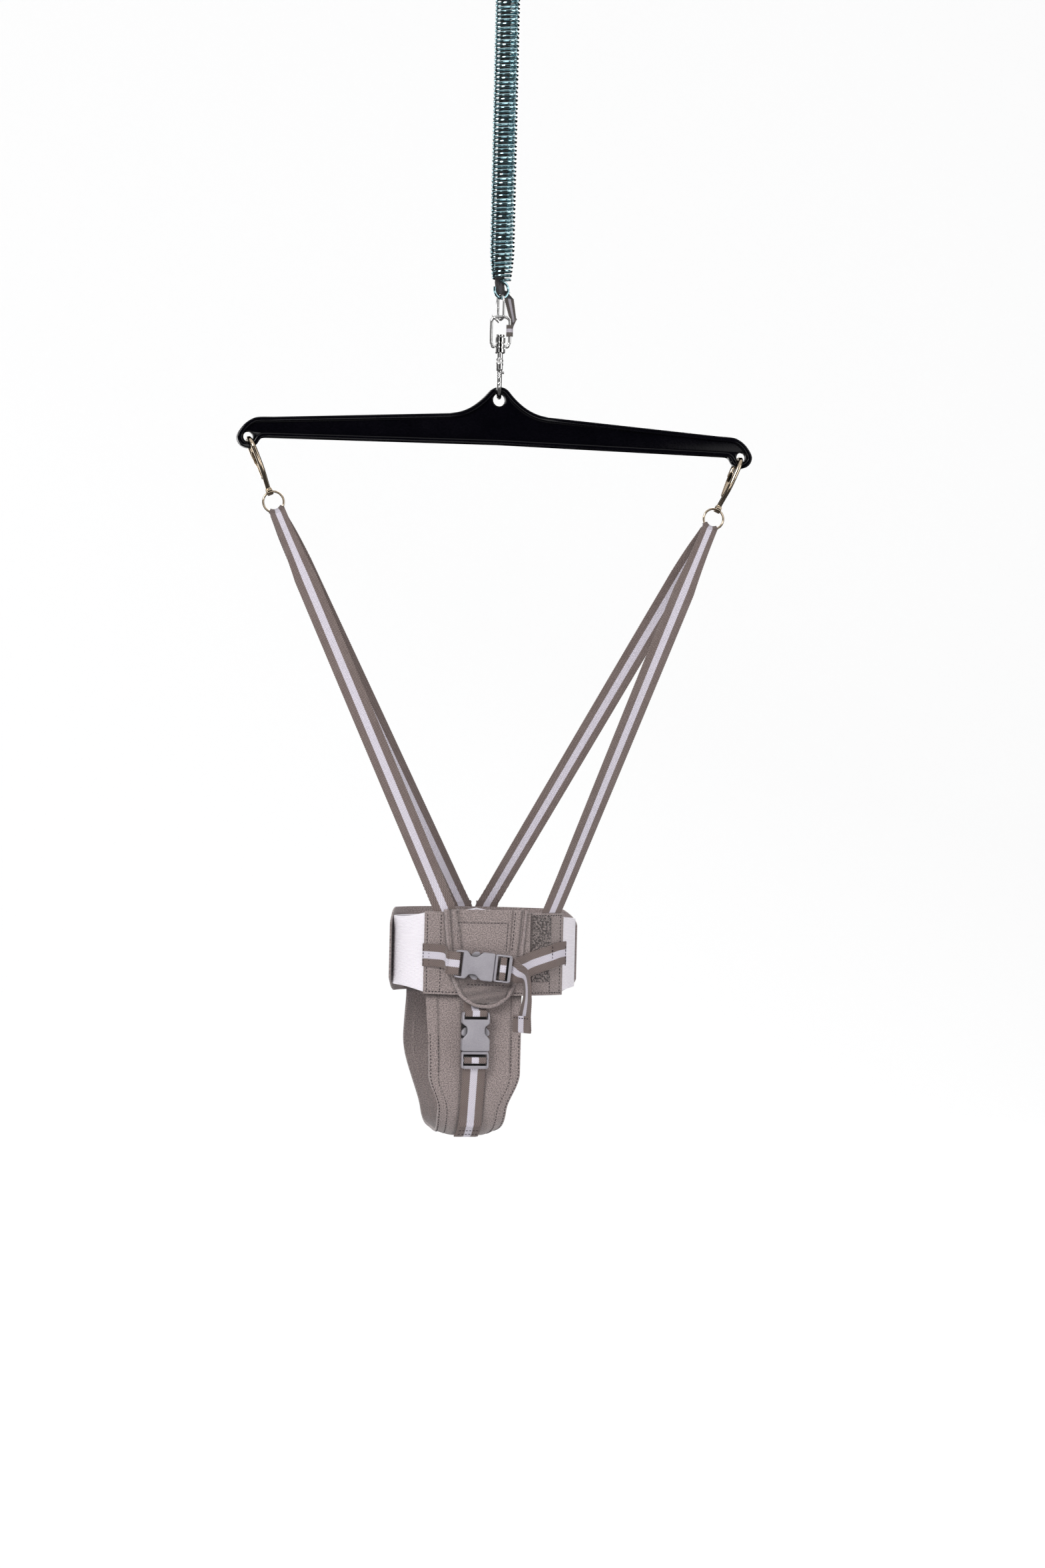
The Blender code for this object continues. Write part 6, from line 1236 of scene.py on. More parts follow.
back_length = belt_length(back_from, back_to)
back = piece("back_twill_panel", cloth("back", back_shape, 150, 10, PANEL_THICKNESS, back_length,
                                       BACK_PANEL_HEIGHT, PANEL_THICKNESS * 0.3), twill)
sheet(back, ["back_panel"], (back_length, BACK_PANEL_HEIGHT))


def belt_line(start, end, z_start, z_end, level, steps=60):
    """A line of points on the belt between two angles and heights."""
    return [belt_point(start + (end - start) * share, z_start + (z_end - z_start) * share, level)
            for share in shares(steps)]


def upright_seam(angle, middle, half, level):
    """A line of points straight down the belt."""
    return belt_line(angle, angle, middle + half, middle - half, level)


left_face, right_face = left_level + PANEL_THICKNESS / 2, right_level + PANEL_THICKNESS / 2
SEAM_INSET, LEFT_SECOND_SEAM, PATCH_SEAM_GAP = 0.0022, 0.0130, 0.0014
seam_half = BELT_HEIGHT / 2 - SEAM_INSET
seams = [upright_seam(belt_angle(x, left_face), belt_middle, seam_half, left_face)
         for x in (-LEFT_PANEL_LEFT + SEAM_INSET, -LEFT_PANEL_LEFT + LEFT_SECOND_SEAM)]
seams.append(belt_line(left_from * 0.97, left_to * 0.97, belt_bottom + SEAM_INSET, belt_bottom + SEAM_INSET,
                       left_face, 120))
seams += [upright_seam(belt_angle(x, right_face), belt_middle, seam_half, right_face)
          for x in (RIGHT_PANEL_RIGHT - SEAM_INSET, PATCH_RIGHT + PATCH_SEAM_GAP)]
seams += [belt_line(belt_angle(PATCH_LEFT), right_to * 0.98, z, z, right_face)
          for z in (belt_top - SEAM_INSET, belt_bottom + SEAM_INSET)]
seams += [upright_seam(back_from + (back_to - back_from) * share, belt_middle, BACK_PANEL_EDGE_HEIGHT * 0.46,
                       back_level + PANEL_THICKNESS / 2) for share in (0.02, 0.98)]
fitted(stitches("belt_panel_stitching", seams), "harness")

# Seat: a long saddle of the same twill, hemmed down both sides, tucked inside the belt in front and behind
# and narrowest halfway. It sags into soft folds where nothing fills it.
SEAT_CENTRE_X, SEAT_HALF_WIDTH, SEAT_WAIST_HALF_WIDTH, SEAT_BACK_HALF_WIDTH = -0.0200, 0.0410, 0.0275, 0.0450
SEAT_DROP, SEAT_THICKNESS, SEAT_TUCK, HEM_WIDTH, SEAT_STEPS = 0.1260, 0.0024, 0.0560, 0.0090, 170
CROTCH_BUCKLE_X = -0.0215
seat_level = -BAND_THICKNESS - SEAT_GAP * 2 - SEAT_THICKNESS / 2
SIDE_VIEW_SHARES = [(-1, -0.78), (-1, 0.0), (-1, 0.42), (-0.95, 0.72), (-0.76, 0.92), (-0.42, 1.0), (0, 1.0),
                    (0.42, 0.94), (0.80, 0.70), (0.98, 0.36), (1, 0.0), (1, -0.78)]
waist_share, back_share = SEAT_WAIST_HALF_WIDTH / SEAT_HALF_WIDTH, SEAT_BACK_HALF_WIDTH / SEAT_HALF_WIDTH
WIDTH_SHARES = [(0.0, 1), (0.29, 1), (0.375, waist_share * 1.12), (0.485, waist_share),
                (0.60, waist_share * 1.15), (0.78, back_share), (1.0, back_share)]


def evenly(points, count):
    """Even samples along a line of points."""
    reached = [0.0]
    for a, b in zip(points, points[1:]):
        reached.append(reached[-1] + (b - a).length)
    samples, index = [], 0
    for step in range(count + 1):
        goal = reached[-1] * step / count
        while index < len(points) - 2 and reached[index + 1] < goal:
            index += 1
        span = reached[index + 1] - reached[index]
        samples.append(points[index].lerp(points[index + 1], (goal - reached[index]) / span if span else 0))
    return samples


def seat_half_width(share):
    for (a, wide_a), (b, wide_b) in zip(WIDTH_SHARES, WIDTH_SHARES[1:]):
        if share <= b:
            part = (share - a) / (b - a)
            part = part * part * (3 - 2 * part)
            return SEAT_HALF_WIDTH * (wide_a + (wide_b - wide_a) * part)
    return SEAT_BACK_HALF_WIDTH


seat_front = BELT_HALF_DEPTH + seat_level
side_view = []
for y_share, z_share in SIDE_VIEW_SHARES:
    drop = SEAT_DROP * z_share if z_share > 0 else SEAT_TUCK * z_share
    side_view.append(Vector((0, seat_front * y_share, belt_bottom - drop)))
seat_spine = evenly(through(side_view, 24), SEAT_STEPS)
seat_length = sum((b - a).length for a, b in zip(seat_spine, seat_spine[1:]))


def seat_spot(u, across, lift=0.0):
    """A point of the seat at a share of its length and from -1 to 1 across, lifted off its face."""
    place = u * SEAT_STEPS
    index = min(int(place), SEAT_STEPS - 1)
    point = seat_spine[index].lerp(seat_spine[index + 1], place - index)
    along = (seat_spine[index + 1] - seat_spine[index]).normalized()
    x = SEAT_CENTRE_X + across * seat_half_width(u)
    fit = clamped((point.z - (belt_bottom - SEAT_DROP * 0.5)) / (SEAT_DROP * 0.45))
    bend = 1 + (sqrt(1 - ((x - BELT_CENTRE_X) / (BELT_HALF_WIDTH + seat_level)) ** 2) - 1) * fit
    cup = SEAT_THICKNESS * 2 * (1 - fit) * across ** 2
    beside_strap = 1 - exp(-((x - CROTCH_BUCKLE_X) / 0.0145) ** 4) if u < 0.5 else 1
    free = max(0.0, 1 - fit * 1.4) * beside_strap
    fold = 0.0011 * free * sin(across * 7.3 + u * 9) * sin(pi * clamped((u - 0.30) / 0.5))
    fold += 0.0007 * free * noise.noise(Vector((across * 2.2, u * 14, 4.0)))
    past_hem = seat_half_width(u) * (1 - abs(across)) - HEM_WIDTH
    hem = 0.0007 / (1 + exp(past_hem / 0.0004)) - 0.0006 * bell(past_hem, 0.0009)
    outward = Vector((0, along.z, -along.y))
    return Vector((x, point.y * bend, point.z + cup)) + outward * (fold + hem * beside_strap + lift)


seat = piece("soft_seat_panel", cloth("seat", lambda u, v: seat_spot(u, v * 2 - 1), SEAT_STEPS, 96,
                                      SEAT_THICKNESS, seat_length, SEAT_HALF_WIDTH * 2, SEAT_THICKNESS * 0.35),
             twill)
sheet(seat, ["seat_panel"], (seat_length, SEAT_HALF_WIDTH * 2))


def seat_painted_shade(spot):
    """Painted shade under the belt's lower edge, in the hems' grooves and beside the crotch strap, and light
    painted shade over the seat's rear half.
    """
    under = 0.62 * bell(max(0.0, belt_bottom - spot.z), 0.0036)
    if spot.y > 0:
        return max(0.25, under)
    groove = 0.36 * bell(abs(spot.x - SEAT_CENTRE_X) - SEAT_HALF_WIDTH + HEM_WIDTH, 0.0011)
    strap_edge = 0.4 * bell(abs(spot.x - CROTCH_BUCKLE_X) - WEBBING_WIDTH / 2 - 0.0008, 0.0013)
    return max(under, groove if spot.z > belt_bottom - SEAT_DROP * 0.55 else 0, strap_edge)


seams = []
for side in (-1, 1):
    for inset in (SEAM_INSET * 0.7, HEM_WIDTH * 0.94):
        line = [0.20 + 0.78 * share for share in shares(160)]
        seams.append([seat_spot(share, side * (1 - inset / seat_half_width(share)), SEAT_THICKNESS / 2)
                      for share in line])
fitted(stitches("seat_hem_stitching", seams), "harness")

# Bib: a soft twill flap with a tubular bound edge, gathered at its upper left corner, hemmed on the right and
# quilted by one rectangle of stitches. The binding runs on below it as a loop under the waist buckle.
BIB_CENTRE_X, BIB_HALF_WIDTH, BIB_THICKNESS, BIB_TIP_HALF_WIDTH = -0.0135, 0.0335, 0.0020, 0.0070
BIB_HEIGHT, BINDING_RADIUS, BUCKLE_THICKNESS = BELT_HEIGHT + 0.0095, 0.0012, 0.0084
# The quilting, as shares of the bib's height and half width, and its narrower part below the buckle
QUILT_TOP, QUILT_FOOT, QUILT_LEFT, QUILT_RIGHT, QUILT_SIDE = 0.14, 0.45, -0.80, 0.58, 0.585
bib_top = belt_top + BELT_HEIGHT / 30
bib_level = left_face + SEAT_GAP + BIB_THICKNESS / 2
binding_level = left_face + SEAT_GAP + BINDING_RADIUS
buckle_level = binding_level + BINDING_RADIUS + SEAT_GAP * 2 + BUCKLE_THICKNESS / 2


def bib_half_width(share):
    if share < QUILT_FOOT:
        return BIB_HALF_WIDTH * (1 - 0.10 * share / QUILT_FOOT)
    part = (share - QUILT_FOOT) / (1 - QUILT_FOOT)
    wide = BIB_HALF_WIDTH * 0.90
    return BIB_TIP_HALF_WIDTH + (wide - BIB_TIP_HALF_WIDTH) * sqrt(max(0, 1 - part ** 1.6))


def bib_spot(across, share, level):
    x = BIB_CENTRE_X + across * bib_half_width(share)
    return belt_point(belt_angle(x, level), bib_top - BIB_HEIGHT * share, level)


def side_fold(across, share, width):
    """1 on the slanting fold beside the bib's left edge."""
    return bell(across - QUILT_LEFT - share * 0.25, width)


def quilting(across, share, width, side_width):
    """1 on the quilting's upper line and on the line down its right side."""
    upper = bell(share - QUILT_TOP, width) if QUILT_LEFT < across < QUILT_RIGHT else 0
    return upper, bell(across - QUILT_SIDE, side_width) if QUILT_TOP < share < QUILT_FOOT else 0


def loop_wave(across, share):
    """The creases across the narrow loop below the buckle."""
    return sin(share * 74 + across * 3)


def bib_lift(across, share):
    """How far the bib's cloth stands off its level: padding above the buckle, gathers, hem and creases."""
    above = max(0.0, 1 - share / 0.42)
    pad = 0.0026 * sin(pi * min(1, share / 0.44)) ** 0.7 if share < 0.44 else 0.0
    crown = max(0.0, 1 - ((across + 0.12) / 0.72) ** 2) ** 0.5
    gather = (0.0017 * exp(-share / 0.16) * sin(across * 21 + sin(share * 30))
              * max(0.0, 0.55 - across))
    fold = 0.0020 * side_fold(across, share, 0.055) * min(1, above * 2)
    hem = 0.0010 * clamped((across - 0.68) * 30) * min(1, above * 3)
    seam = 0.0010 * sum(quilting(across, share, 0.012, 0.022))
    crease = 0.0004 * above * noise.noise(Vector((across * 3, share * 12, 9.0)))
    low_fold = 0.0030 * max(0.0, share - 0.62) * loop_wave(across, share)
    return max(0.0, pad * crown + gather + fold + hem - seam + crease) + low_fold


def bib_shape(u, v):
    return bib_spot(v * 2 - 1, u, bib_level + bib_lift(v * 2 - 1, u))


bib = piece("padded_bib_flap", cloth("bib", bib_shape, 150, 130, BIB_THICKNESS, BIB_HEIGHT,
                                     BIB_HALF_WIDTH * 2, BIB_THICKNESS * 0.3), twill)
sheet(bib, ["bib_panel"], (BIB_HEIGHT, BIB_HALF_WIDTH * 2))


def on_bib_share(spot):
    """A point's share of the bib's height and of its half width there, and that half width."""
    share = (bib_top - spot.z) / BIB_HEIGHT
    wide = bib_half_width(clamped(share))
    return share, (spot.x - BIB_CENTRE_X) / wide, wide


def bib_painted_shade(spot):
    """Painted shade beside the binding, in the hem and the quilting grooves, and in the loop under the buckle.
    """
    share, across, _ = on_bib_share(spot)
    edge = 0.6 * bell(abs(across) - 0.95, 0.035)
    step_line = 0.55 * bell(across - 0.69, 0.02) if share < 0.46 else 0
    quilted = 0.28 * max(quilting(across, share, 0.008, 0.016))
    folded = 0.42 * clamped((share - 0.56) * 12) * (0.75 + 0.35 * loop_wave(across, share))
    corner = 0.5 * side_fold(across, share, 0.04) if share < 0.42 else 0
    return max(edge, step_line, quilted, folded, corner)


def painted_shade_beside_bib(spot):
    """Painted shade on the belt's panel just outside the bib, and under it."""
    _, _, wide = on_bib_share(spot)
    past = abs(spot.x - BIB_CENTRE_X) - wide - BINDING_RADIUS * 2
    return 0.6 * bell(max(0.0, past), 0.0016) if past > -0.002 else 0.4


write_painted_shade(bib, bib_painted_shade)
write_painted_shade(left_panel, painted_shade_beside_bib)
away = BINDING_RADIUS + SEAT_GAP * 2
middle_spot = Vector((BIB_CENTRE_X, 0, belt_middle))
left_side, right_side = ([bib_spot(way, share, binding_level) for share in shares(12)] for way in (-1, 1))
round_bib = left_side + right_side[::-1]
line = []
for index, point in enumerate(round_bib):
    along = (round_bib[min(index + 1, len(round_bib) - 1)] - round_bib[max(index - 1, 0)]).normalized()
    outward = along.cross(belt_normal(belt_angle(point.x))).normalized()
    line.append(point + outward * away * (1 if outward.dot(point - middle_spot) > 0 else -1))
BINDING_STEPS = 260
binding_line = evenly(through(line, 12), BINDING_STEPS)
swell = [1 + 0.10 * sin(step * 0.55) * sin(step * 0.17) for step in range(BINDING_STEPS + 1)]
binding_cloth = twill_finish("grey_binding", colour(160, 146, 144), colour(108, 98, 97))
binding = piece("tubular_bib_binding", wire("binding", binding_line, BINDING_RADIUS * 1.45, False, 5, swell),
                binding_cloth)
cloth_uv = binding.data.uv_layers.new(name="cloth")
for corner in binding.data.loops:
    spot = binding.data.vertices[corner.vertex_index].co
    cloth_uv.data[corner.index].uv = (spot.x, spot.z)
fitted(binding, "harness", ["bib_binding"])
face = bib_level + BIB_THICKNESS / 2


def on_bib(across, share):
    return bib_spot(across, share, face + bib_lift(across, share))


seams = [[on_bib(QUILT_LEFT + (QUILT_RIGHT - QUILT_LEFT) * part, QUILT_TOP) for part in shares(80)]]
for across, start, end in ((QUILT_SIDE, QUILT_TOP, 0.42), (QUILT_LEFT, QUILT_TOP, 0.36), (0.76, 0.02, 0.44)):
    seams.append([on_bib(across, start + (end - start) * part) for part in shares(60)])
seams.append([on_bib(-0.7 + 1.4 * part, 0.80) for part in shares(60)])
fitted(stitches("bib_stitching", seams), "harness")

# Shoulder straps: the same striped webbing passes up through each ring and down on both sides. Its front
# end is sewn in behind the belt's panels, its rear end on the outside of the back panel.
RING_LOOP_WIDTH, WEBBING_THICKNESS, STRAP_TAB = 0.014, 0.0014, 0.012
FRONT_STRAP_X, REAR_STRAP_X, REAR_OVERLAP = 0.0490, 0.0115, 0.0160
LOOP_FROM, LOOP_SWEEP, LOOP_STEPS_ROUND, RUN_STEPS = radians(-35), radians(250), 60, 460
tube = RING_WIRE_RADIUS + SEAT_GAP + WEBBING_THICKNESS / 2


def box_stitch(corner, along, down):
    """A sewn rectangle with a cross in it, from a corner and its two sides."""
    a = corner + (along.normalized() + down.normalized()) * SEAM_INSET
    wide, tall = (edge - edge.normalized() * SEAM_INSET * 2 for edge in (along, down))
    b, c, d = a + wide, a + wide + tall, a + tall
    return [[a, b], [b, c], [c, d], [d, a], [a, c], [b, d]]


for word, side in (("left", -1), ("right", 1)):
    place = end_place(side)
    foot_angle = belt_angle(side * FRONT_STRAP_X)
    foot_level = right_level if side < 0 else right_level + PANEL_THICKNESS * 0.2
    foot = belt_point(foot_angle, belt_top + SEAT_GAP + WEBBING_THICKNESS + WEBBING_WIDTH / 4, left_level)
    front_start = place @ Vector((0, -tube, -ring_centre - RING_RADIUS - STRAP_TAB * 0.5))
    along = (foot - front_start).normalized()
    end_side = UP.cross(belt_normal(foot_angle))
    end_side = -(end_side - along * end_side.dot(along)).normalized()
    start_side = place.to_3x3() @ ACROSS
    if start_side.dot(end_side) < 0:
        end_side = -end_side
    foot_z = belt_top - 0.006 if side < 0 else belt_top + SEAT_GAP

    def ring_spot(turned, across):
        """A point of the loop: carried round the ring's wire and along its arc."""
        bend = across / RING_RADIUS
        radius = RING_RADIUS - tube * sin(turned)
        return place @ Vector((radius * sin(bend), tube * cos(turned),
                               -ring_centre - radius * cos(bend)))

    total = LOOP_STEPS_ROUND + RUN_STEPS
    last = ring_spot(LOOP_FROM + LOOP_SWEEP, 0)
    front_length = (foot - last).length + tube * LOOP_SWEEP

    def front_shape(u, v):
        index = round(u * total)
        across = (v - 1 / 2) * RING_LOOP_WIDTH
        if index <= LOOP_STEPS_ROUND:
            return ring_spot(LOOP_FROM + LOOP_SWEEP * index / LOOP_STEPS_ROUND, across)
        part = (index - LOOP_STEPS_ROUND) / RUN_STEPS
        side_now = start_side.lerp(end_side, part).normalized()
        width = RING_LOOP_WIDTH + (WEBBING_WIDTH - RING_LOOP_WIDTH) * min(1, part * 6)
        if abs(v - 0.5) > 0.49:
            width += 2 * PICOT_DEPTH * sin(tau * part * front_length / PICOT_PITCH)
        dip = 1 - min(1, part * 6)
        corner = ring_spot(LOOP_FROM + LOOP_SWEEP, across) - last
        flat = side_now * width * (v - 1 / 2)
        spot = last.lerp(foot, part) + flat.lerp(corner, dip)
        # The last of it is cut level with the belt's top and lies in its oval
        ending = clamped((part - 0.93) / 0.07)
        column = foot + flat
        level_x = column.x - along.x / along.z * (column.z - foot_z)
        level_end = belt_point(belt_angle(level_x, foot_level), foot_z, foot_level)
        return spot.lerp(level_end, ending * ending * (3 - 2 * ending))
    front_cloth = cloth("front", front_shape, total, 8, WEBBING_THICKNESS, front_length, WEBBING_WIDTH,
                        WEBBING_THICKNESS * 0.22)
    sheet(piece(f"{word}_front_webbing", front_cloth, wide_webbing), [f"{word}_front_strap"],
          (WEBBING_WIDTH, front_length))
    back_angle = pi - asin((side * REAR_STRAP_X - BELT_CENTRE_X) / BELT_HALF_WIDTH)
    outside = back_level + PANEL_THICKNESS / 2 + SEAT_GAP + WEBBING_THICKNESS / 2
    back_top = belt_middle + BACK_PANEL_HEIGHT / 2
    tail_end = ring_spot(LOOP_FROM, 0)
    over_edge = belt_point(back_angle, back_top + WEBBING_THICKNESS, outside)
    behind = tail_end + (over_edge - tail_end).normalized() * SEAT_GAP * 2
    lean = (over_edge - behind).normalized()
    sewn_end = over_edge + Vector((lean.x * REAR_OVERLAP * 0.5, 0, -REAR_OVERLAP))
    rear_run = run_of([(behind, start_side, RING_LOOP_WIDTH),
                       (behind.lerp(over_edge, 0.12), start_side.lerp(ACROSS, 0.12), WEBBING_WIDTH),
                       (behind.lerp(over_edge, 0.5), start_side.lerp(ACROSS, 0.5), WEBBING_WIDTH),
                       (behind.lerp(over_edge, 0.94), ACROSS, WEBBING_WIDTH),
                       (over_edge, ACROSS, WEBBING_WIDTH), (sewn_end, ACROSS, WEBBING_WIDTH)], 0.00085)
    rear_cloth = strap("rear", rear_run, WEBBING_THICKNESS, WEBBING_WIDTH)
    sheet(piece(f"{word}_rear_webbing", rear_cloth, wide_webbing), [f"{word}_rear_strap"],
          (WEBBING_WIDTH, length_of(rear_run)))
    out_face = belt_normal(back_angle) * (WEBBING_THICKNESS / 2)
    corner = over_edge + out_face - ACROSS * WEBBING_WIDTH / 2 - UP * 0.0016
    box = box_stitch(corner, ACROSS * WEBBING_WIDTH, (sewn_end - over_edge) * 0.86)
    fitted(stitches(f"{word}_rear_box_stitch", box), "harness")

# Side-release buckles, the same grey acetal moulding twice: a female body drawn in at its windows, where
# the two prongs' heads show and are pressed, and a male frame whose crossbar holds the webbing.
BUCKLE_LENGTH, BUCKLE_WIDTH, FEMALE_LENGTH = 0.0500, 0.0250, 0.0345
BUCKLE_BAR, BUCKLE_SLOT, BUCKLE_SLOT_WIDTH = 0.0026, 0.0038, 0.0212
CAVITY_WIDTH, CAVITY_HEIGHT, CAVITY_DEPTH = 0.0200, 0.0048, 0.0240
WINDOW_LENGTH, WINDOW_SETBACK, WAIST_DEPTH = 0.0110, 0.0115, 0.0046
MALE_THICKNESS, TONGUE_WIDTH, TONGUE_HEIGHT = 0.0056, 0.0050, 0.0034
PRONG_LENGTH, PRONG_THICKNESS, PRONG_OFFSET, PRONG_HEIGHT = 0.0210, 0.0022, 0.0083, 0.0040
BARB_REACH, BARB_LENGTH = 0.0124, 0.0070
WAIST_BUCKLE_X, WAIST_BUCKLE_DROP = -0.0170, 0.0470
WAIST_BUCKLE_TILT, WAIST_BUCKLE_TURN = radians(5.5), radians(-8)
CROTCH_BUCKLE_DROP = BELT_HEIGHT + 0.0395
half_length, half_wide = BUCKLE_LENGTH / 2, BUCKLE_WIDTH / 2
mouth = FEMALE_LENGTH - half_length
window_end = mouth - WINDOW_SETBACK
male_start = mouth + SEAT_GAP
bar_far = half_length - BUCKLE_BAR - BUCKLE_SLOT * 0.95
male_middle = bar_far - BUCKLE_BAR / 2
slot_from = -half_length + BUCKLE_BAR
acetal = hard_finish("grey_acetal", colour(156, 152, 158), colour(136, 132, 139), 0.36, 0.0, 46, 1500,
                     0.00005, 0.25, 0.16)
# The acetal's colour is darkened by the crevice mask as well: painted shade in the buckles' windows and on the
# prongs under the necks
acetal_base = acetal.node_tree.nodes["Principled BSDF"].inputs["Base Color"]
acetal.node_tree.links.new(darken_by_painted_shade(acetal.node_tree, acetal_base.links[0].from_socket), acetal_base)


def rounded_outline(points, radius, steps=6):
    """A clockwise outline with each corner rounded."""
    result = []
    for index, point in enumerate(points):
        point, before = Vector(point), Vector(points[index - 1])
        after = Vector(points[(index + 1) % len(points)])
        reach_in = min(radius, (before - point).length * 0.45, (after - point).length * 0.45)
        start = point + (before - point).normalized() * reach_in
        stop = point + (after - point).normalized() * reach_in
        for t in shares(steps):
            result.append(tuple(start * (1 - t) ** 2 + point * 2 * t * (1 - t) + stop * t * t))
    return result


def carved(mesh, cuts, name):
    """A moulding with blocks cut out of it."""
    return subtracted(linked(name, mesh), linked("cuts", together("cuts", cuts)), True)


def slot_hole(start, stop):
    """The rounded outline of a webbing slot between two places along a buckle."""
    reach = BUCKLE_SLOT_WIDTH / 2
    return rounded_outline([(start, reach), (stop, reach), (stop, -reach), (start, -reach)], 0.0006)


def across_buckle(name, start, stop, half_width, low, high, edge=0.0):
    """A block between two places along a buckle, as wide to both sides of its middle."""
    return block(name, (start, -half_width, low), (stop, half_width, high), edge)


def reliefs(start, stop, height):
    """Cuts that leave a crossbar thin, above and below it."""
    return [across_buckle("relief", start, stop, BUCKLE_SLOT_WIDTH / 2, way * BUCKLE_BAR / 2, way * height)
            for way in (1, -1)]


waist_spot = belt_point(belt_angle(WAIST_BUCKLE_X, buckle_level), belt_top - WAIST_BUCKLE_DROP, buckle_level)
waist_place = at(waist_spot) @ about("Z", WAIST_BUCKLE_TURN) @ about("Y", WAIST_BUCKLE_TILT) @ about("X")
crotch_y = -BELT_HALF_DEPTH - seat_level - SEAT_THICKNESS / 2 - WEBBING_THICKNESS * 2 - BUCKLE_THICKNESS / 2
crotch_place = at((CROTCH_BUCKLE_X, crotch_y, belt_top - CROTCH_BUCKLE_DROP)) @ about("Y") @ about("X")


def sides(outline):
    """Both sides of an outline from its upper half, which runs from its -X end to its +X end."""
    return outline + [(x, -y) for x, y in outline[::-1]]


def painted_shade_in_windows(inside):
    """Painted shade on the body's walls inside its two windows."""
    along = window_end - WINDOW_LENGTH - 0.0030 < inside.x < window_end + 0.0005
    within = abs(inside.z) < BUCKLE_THICKNESS / 2 - 0.0010 and abs(inside.y) < half_wide - 0.0003
    return 0.85 if along and within else 0


def painted_shade_under_neck(inside):
    """Painted shade on a prong's head where it goes in under the body."""
    return 0.9 * (BARB_REACH - abs(inside.y)) / (BARB_REACH - PRONG_OFFSET + PRONG_THICKNESS / 2)


def painted_shade_under_buckle(spot):
    """Painted shade on the seat behind the crotch buckle, where its slots show it."""
    inside = crotch_place.inverted() @ spot
    within = abs(inside.x) < half_length - 0.0025 and abs(inside.y) < half_wide - 0.0015
    return 0.97 if within and spot.y < 0 else 0


for prefix, place in (("waist", waist_place), ("crotch", crotch_place)):
    waist_y = half_wide - WAIST_DEPTH
    upper_half = [(-half_length, half_wide * 0.96), (-half_length + 0.0102, half_wide),
                  (-half_length + 0.0132, waist_y), (window_end - 0.0040, waist_y),
                  (window_end + 0.0006, half_wide), (mouth, half_wide)]
    shell = plate("female", rounded_outline(sides(upper_half), 0.0021), BUCKLE_THICKNESS,
                  [slot_hole(slot_from, slot_from + BUCKLE_SLOT)], 0.0012)
    cuts = [across_buckle("cavity", mouth - CAVITY_DEPTH, mouth + OVERCUT * 2, CAVITY_WIDTH / 2,
                          -CAVITY_HEIGHT / 2, CAVITY_HEIGHT / 2),
            across_buckle("windows", window_end - WINDOW_LENGTH, window_end, half_wide + OVERCUT * 2,
                          -CAVITY_HEIGHT * 0.499, CAVITY_HEIGHT * 0.499)]
    cuts += reliefs(-half_length - OVERCUT * 2, slot_from + 0.0005, BUCKLE_THICKNESS / 2 + OVERCUT * 2)
    body = piece(f"{prefix}_buckle_body", carved(shell, cuts, "female"), acetal, place, radians(50))
    write_painted_shade(body, lambda spot: painted_shade_in_windows(place.inverted() @ spot))
    fitted(body, "harness", [f"{prefix}_buckle_female"])
    frame_half = [(male_start, half_wide * 0.97), (half_length, half_wide * 0.97)]
    holes = [slot_hole(bar_far - BUCKLE_BAR - BUCKLE_SLOT, bar_far - BUCKLE_BAR),
             slot_hole(bar_far, half_length - BUCKLE_BAR)]
    frame_plate = plate("male", rounded_outline(sides(frame_half), 0.0024), MALE_THICKNESS, holes, 0.0011)
    cuts = reliefs(bar_far - BUCKLE_BAR - 0.0005, half_length + OVERCUT * 2, BUCKLE_THICKNESS / 2)
    male = carved(frame_plate, cuts, "male")
    tongue = across_buckle("tongue", mouth - PRONG_LENGTH, male_start + 0.0008, TONGUE_WIDTH / 2,
                           -TONGUE_HEIGHT / 2, TONGUE_HEIGHT / 2, 0.0005)
    male = piece(f"{prefix}_buckle_frame", together("male", [male, tongue]), acetal, place, radians(50))
    fitted(male, "harness", [f"{prefix}_buckle_male"])
    inner, outer = PRONG_OFFSET - PRONG_THICKNESS / 2, PRONG_OFFSET + PRONG_THICKNESS / 2
    tip, barb_back = -PRONG_LENGTH, BARB_LENGTH - PRONG_LENGTH
    prong_line = [(-SEAT_GAP, inner), (-SEAT_GAP, outer), (barb_back + PRONG_THICKNESS / 2, outer),
                  (barb_back, BARB_REACH), (barb_back - BARB_LENGTH * 0.55, BARB_REACH), (tip, outer),
                  (tip, inner)]
    for word, side in (("upper", 1), ("lower", -1)):
        outline = rounded_outline([(x, side * y) for x, y in prong_line][::side], 0.0014)
        prong = plate("prong", outline, PRONG_HEIGHT, [], 0.0006)
        head = piece(f"{prefix}_{word}_spring_prong", prong, acetal, place @ at((mouth, 0, 0)))
        write_painted_shade(head, lambda spot: painted_shade_under_neck(place.inverted() @ spot))
        fitted(head, f"{prefix}_{word}_prong", [f"{prefix}_buckle_{word}_prong"])

write_painted_shade(seat, lambda spot: max(seat_painted_shade(spot), painted_shade_under_buckle(spot)))

# Waist and crotch straps: sewn on at one end and looped round a buckle's bar at the other. The right waist
# strap's loose tail twists as it hangs, and its end is folded back and stitched.
WRAP, TAIL_DROP_LENGTH = SEAT_GAP + WEBBING_THICKNESS / 2, 0.0470
BAR_LIFT = BUCKLE_BAR / 2 + WRAP


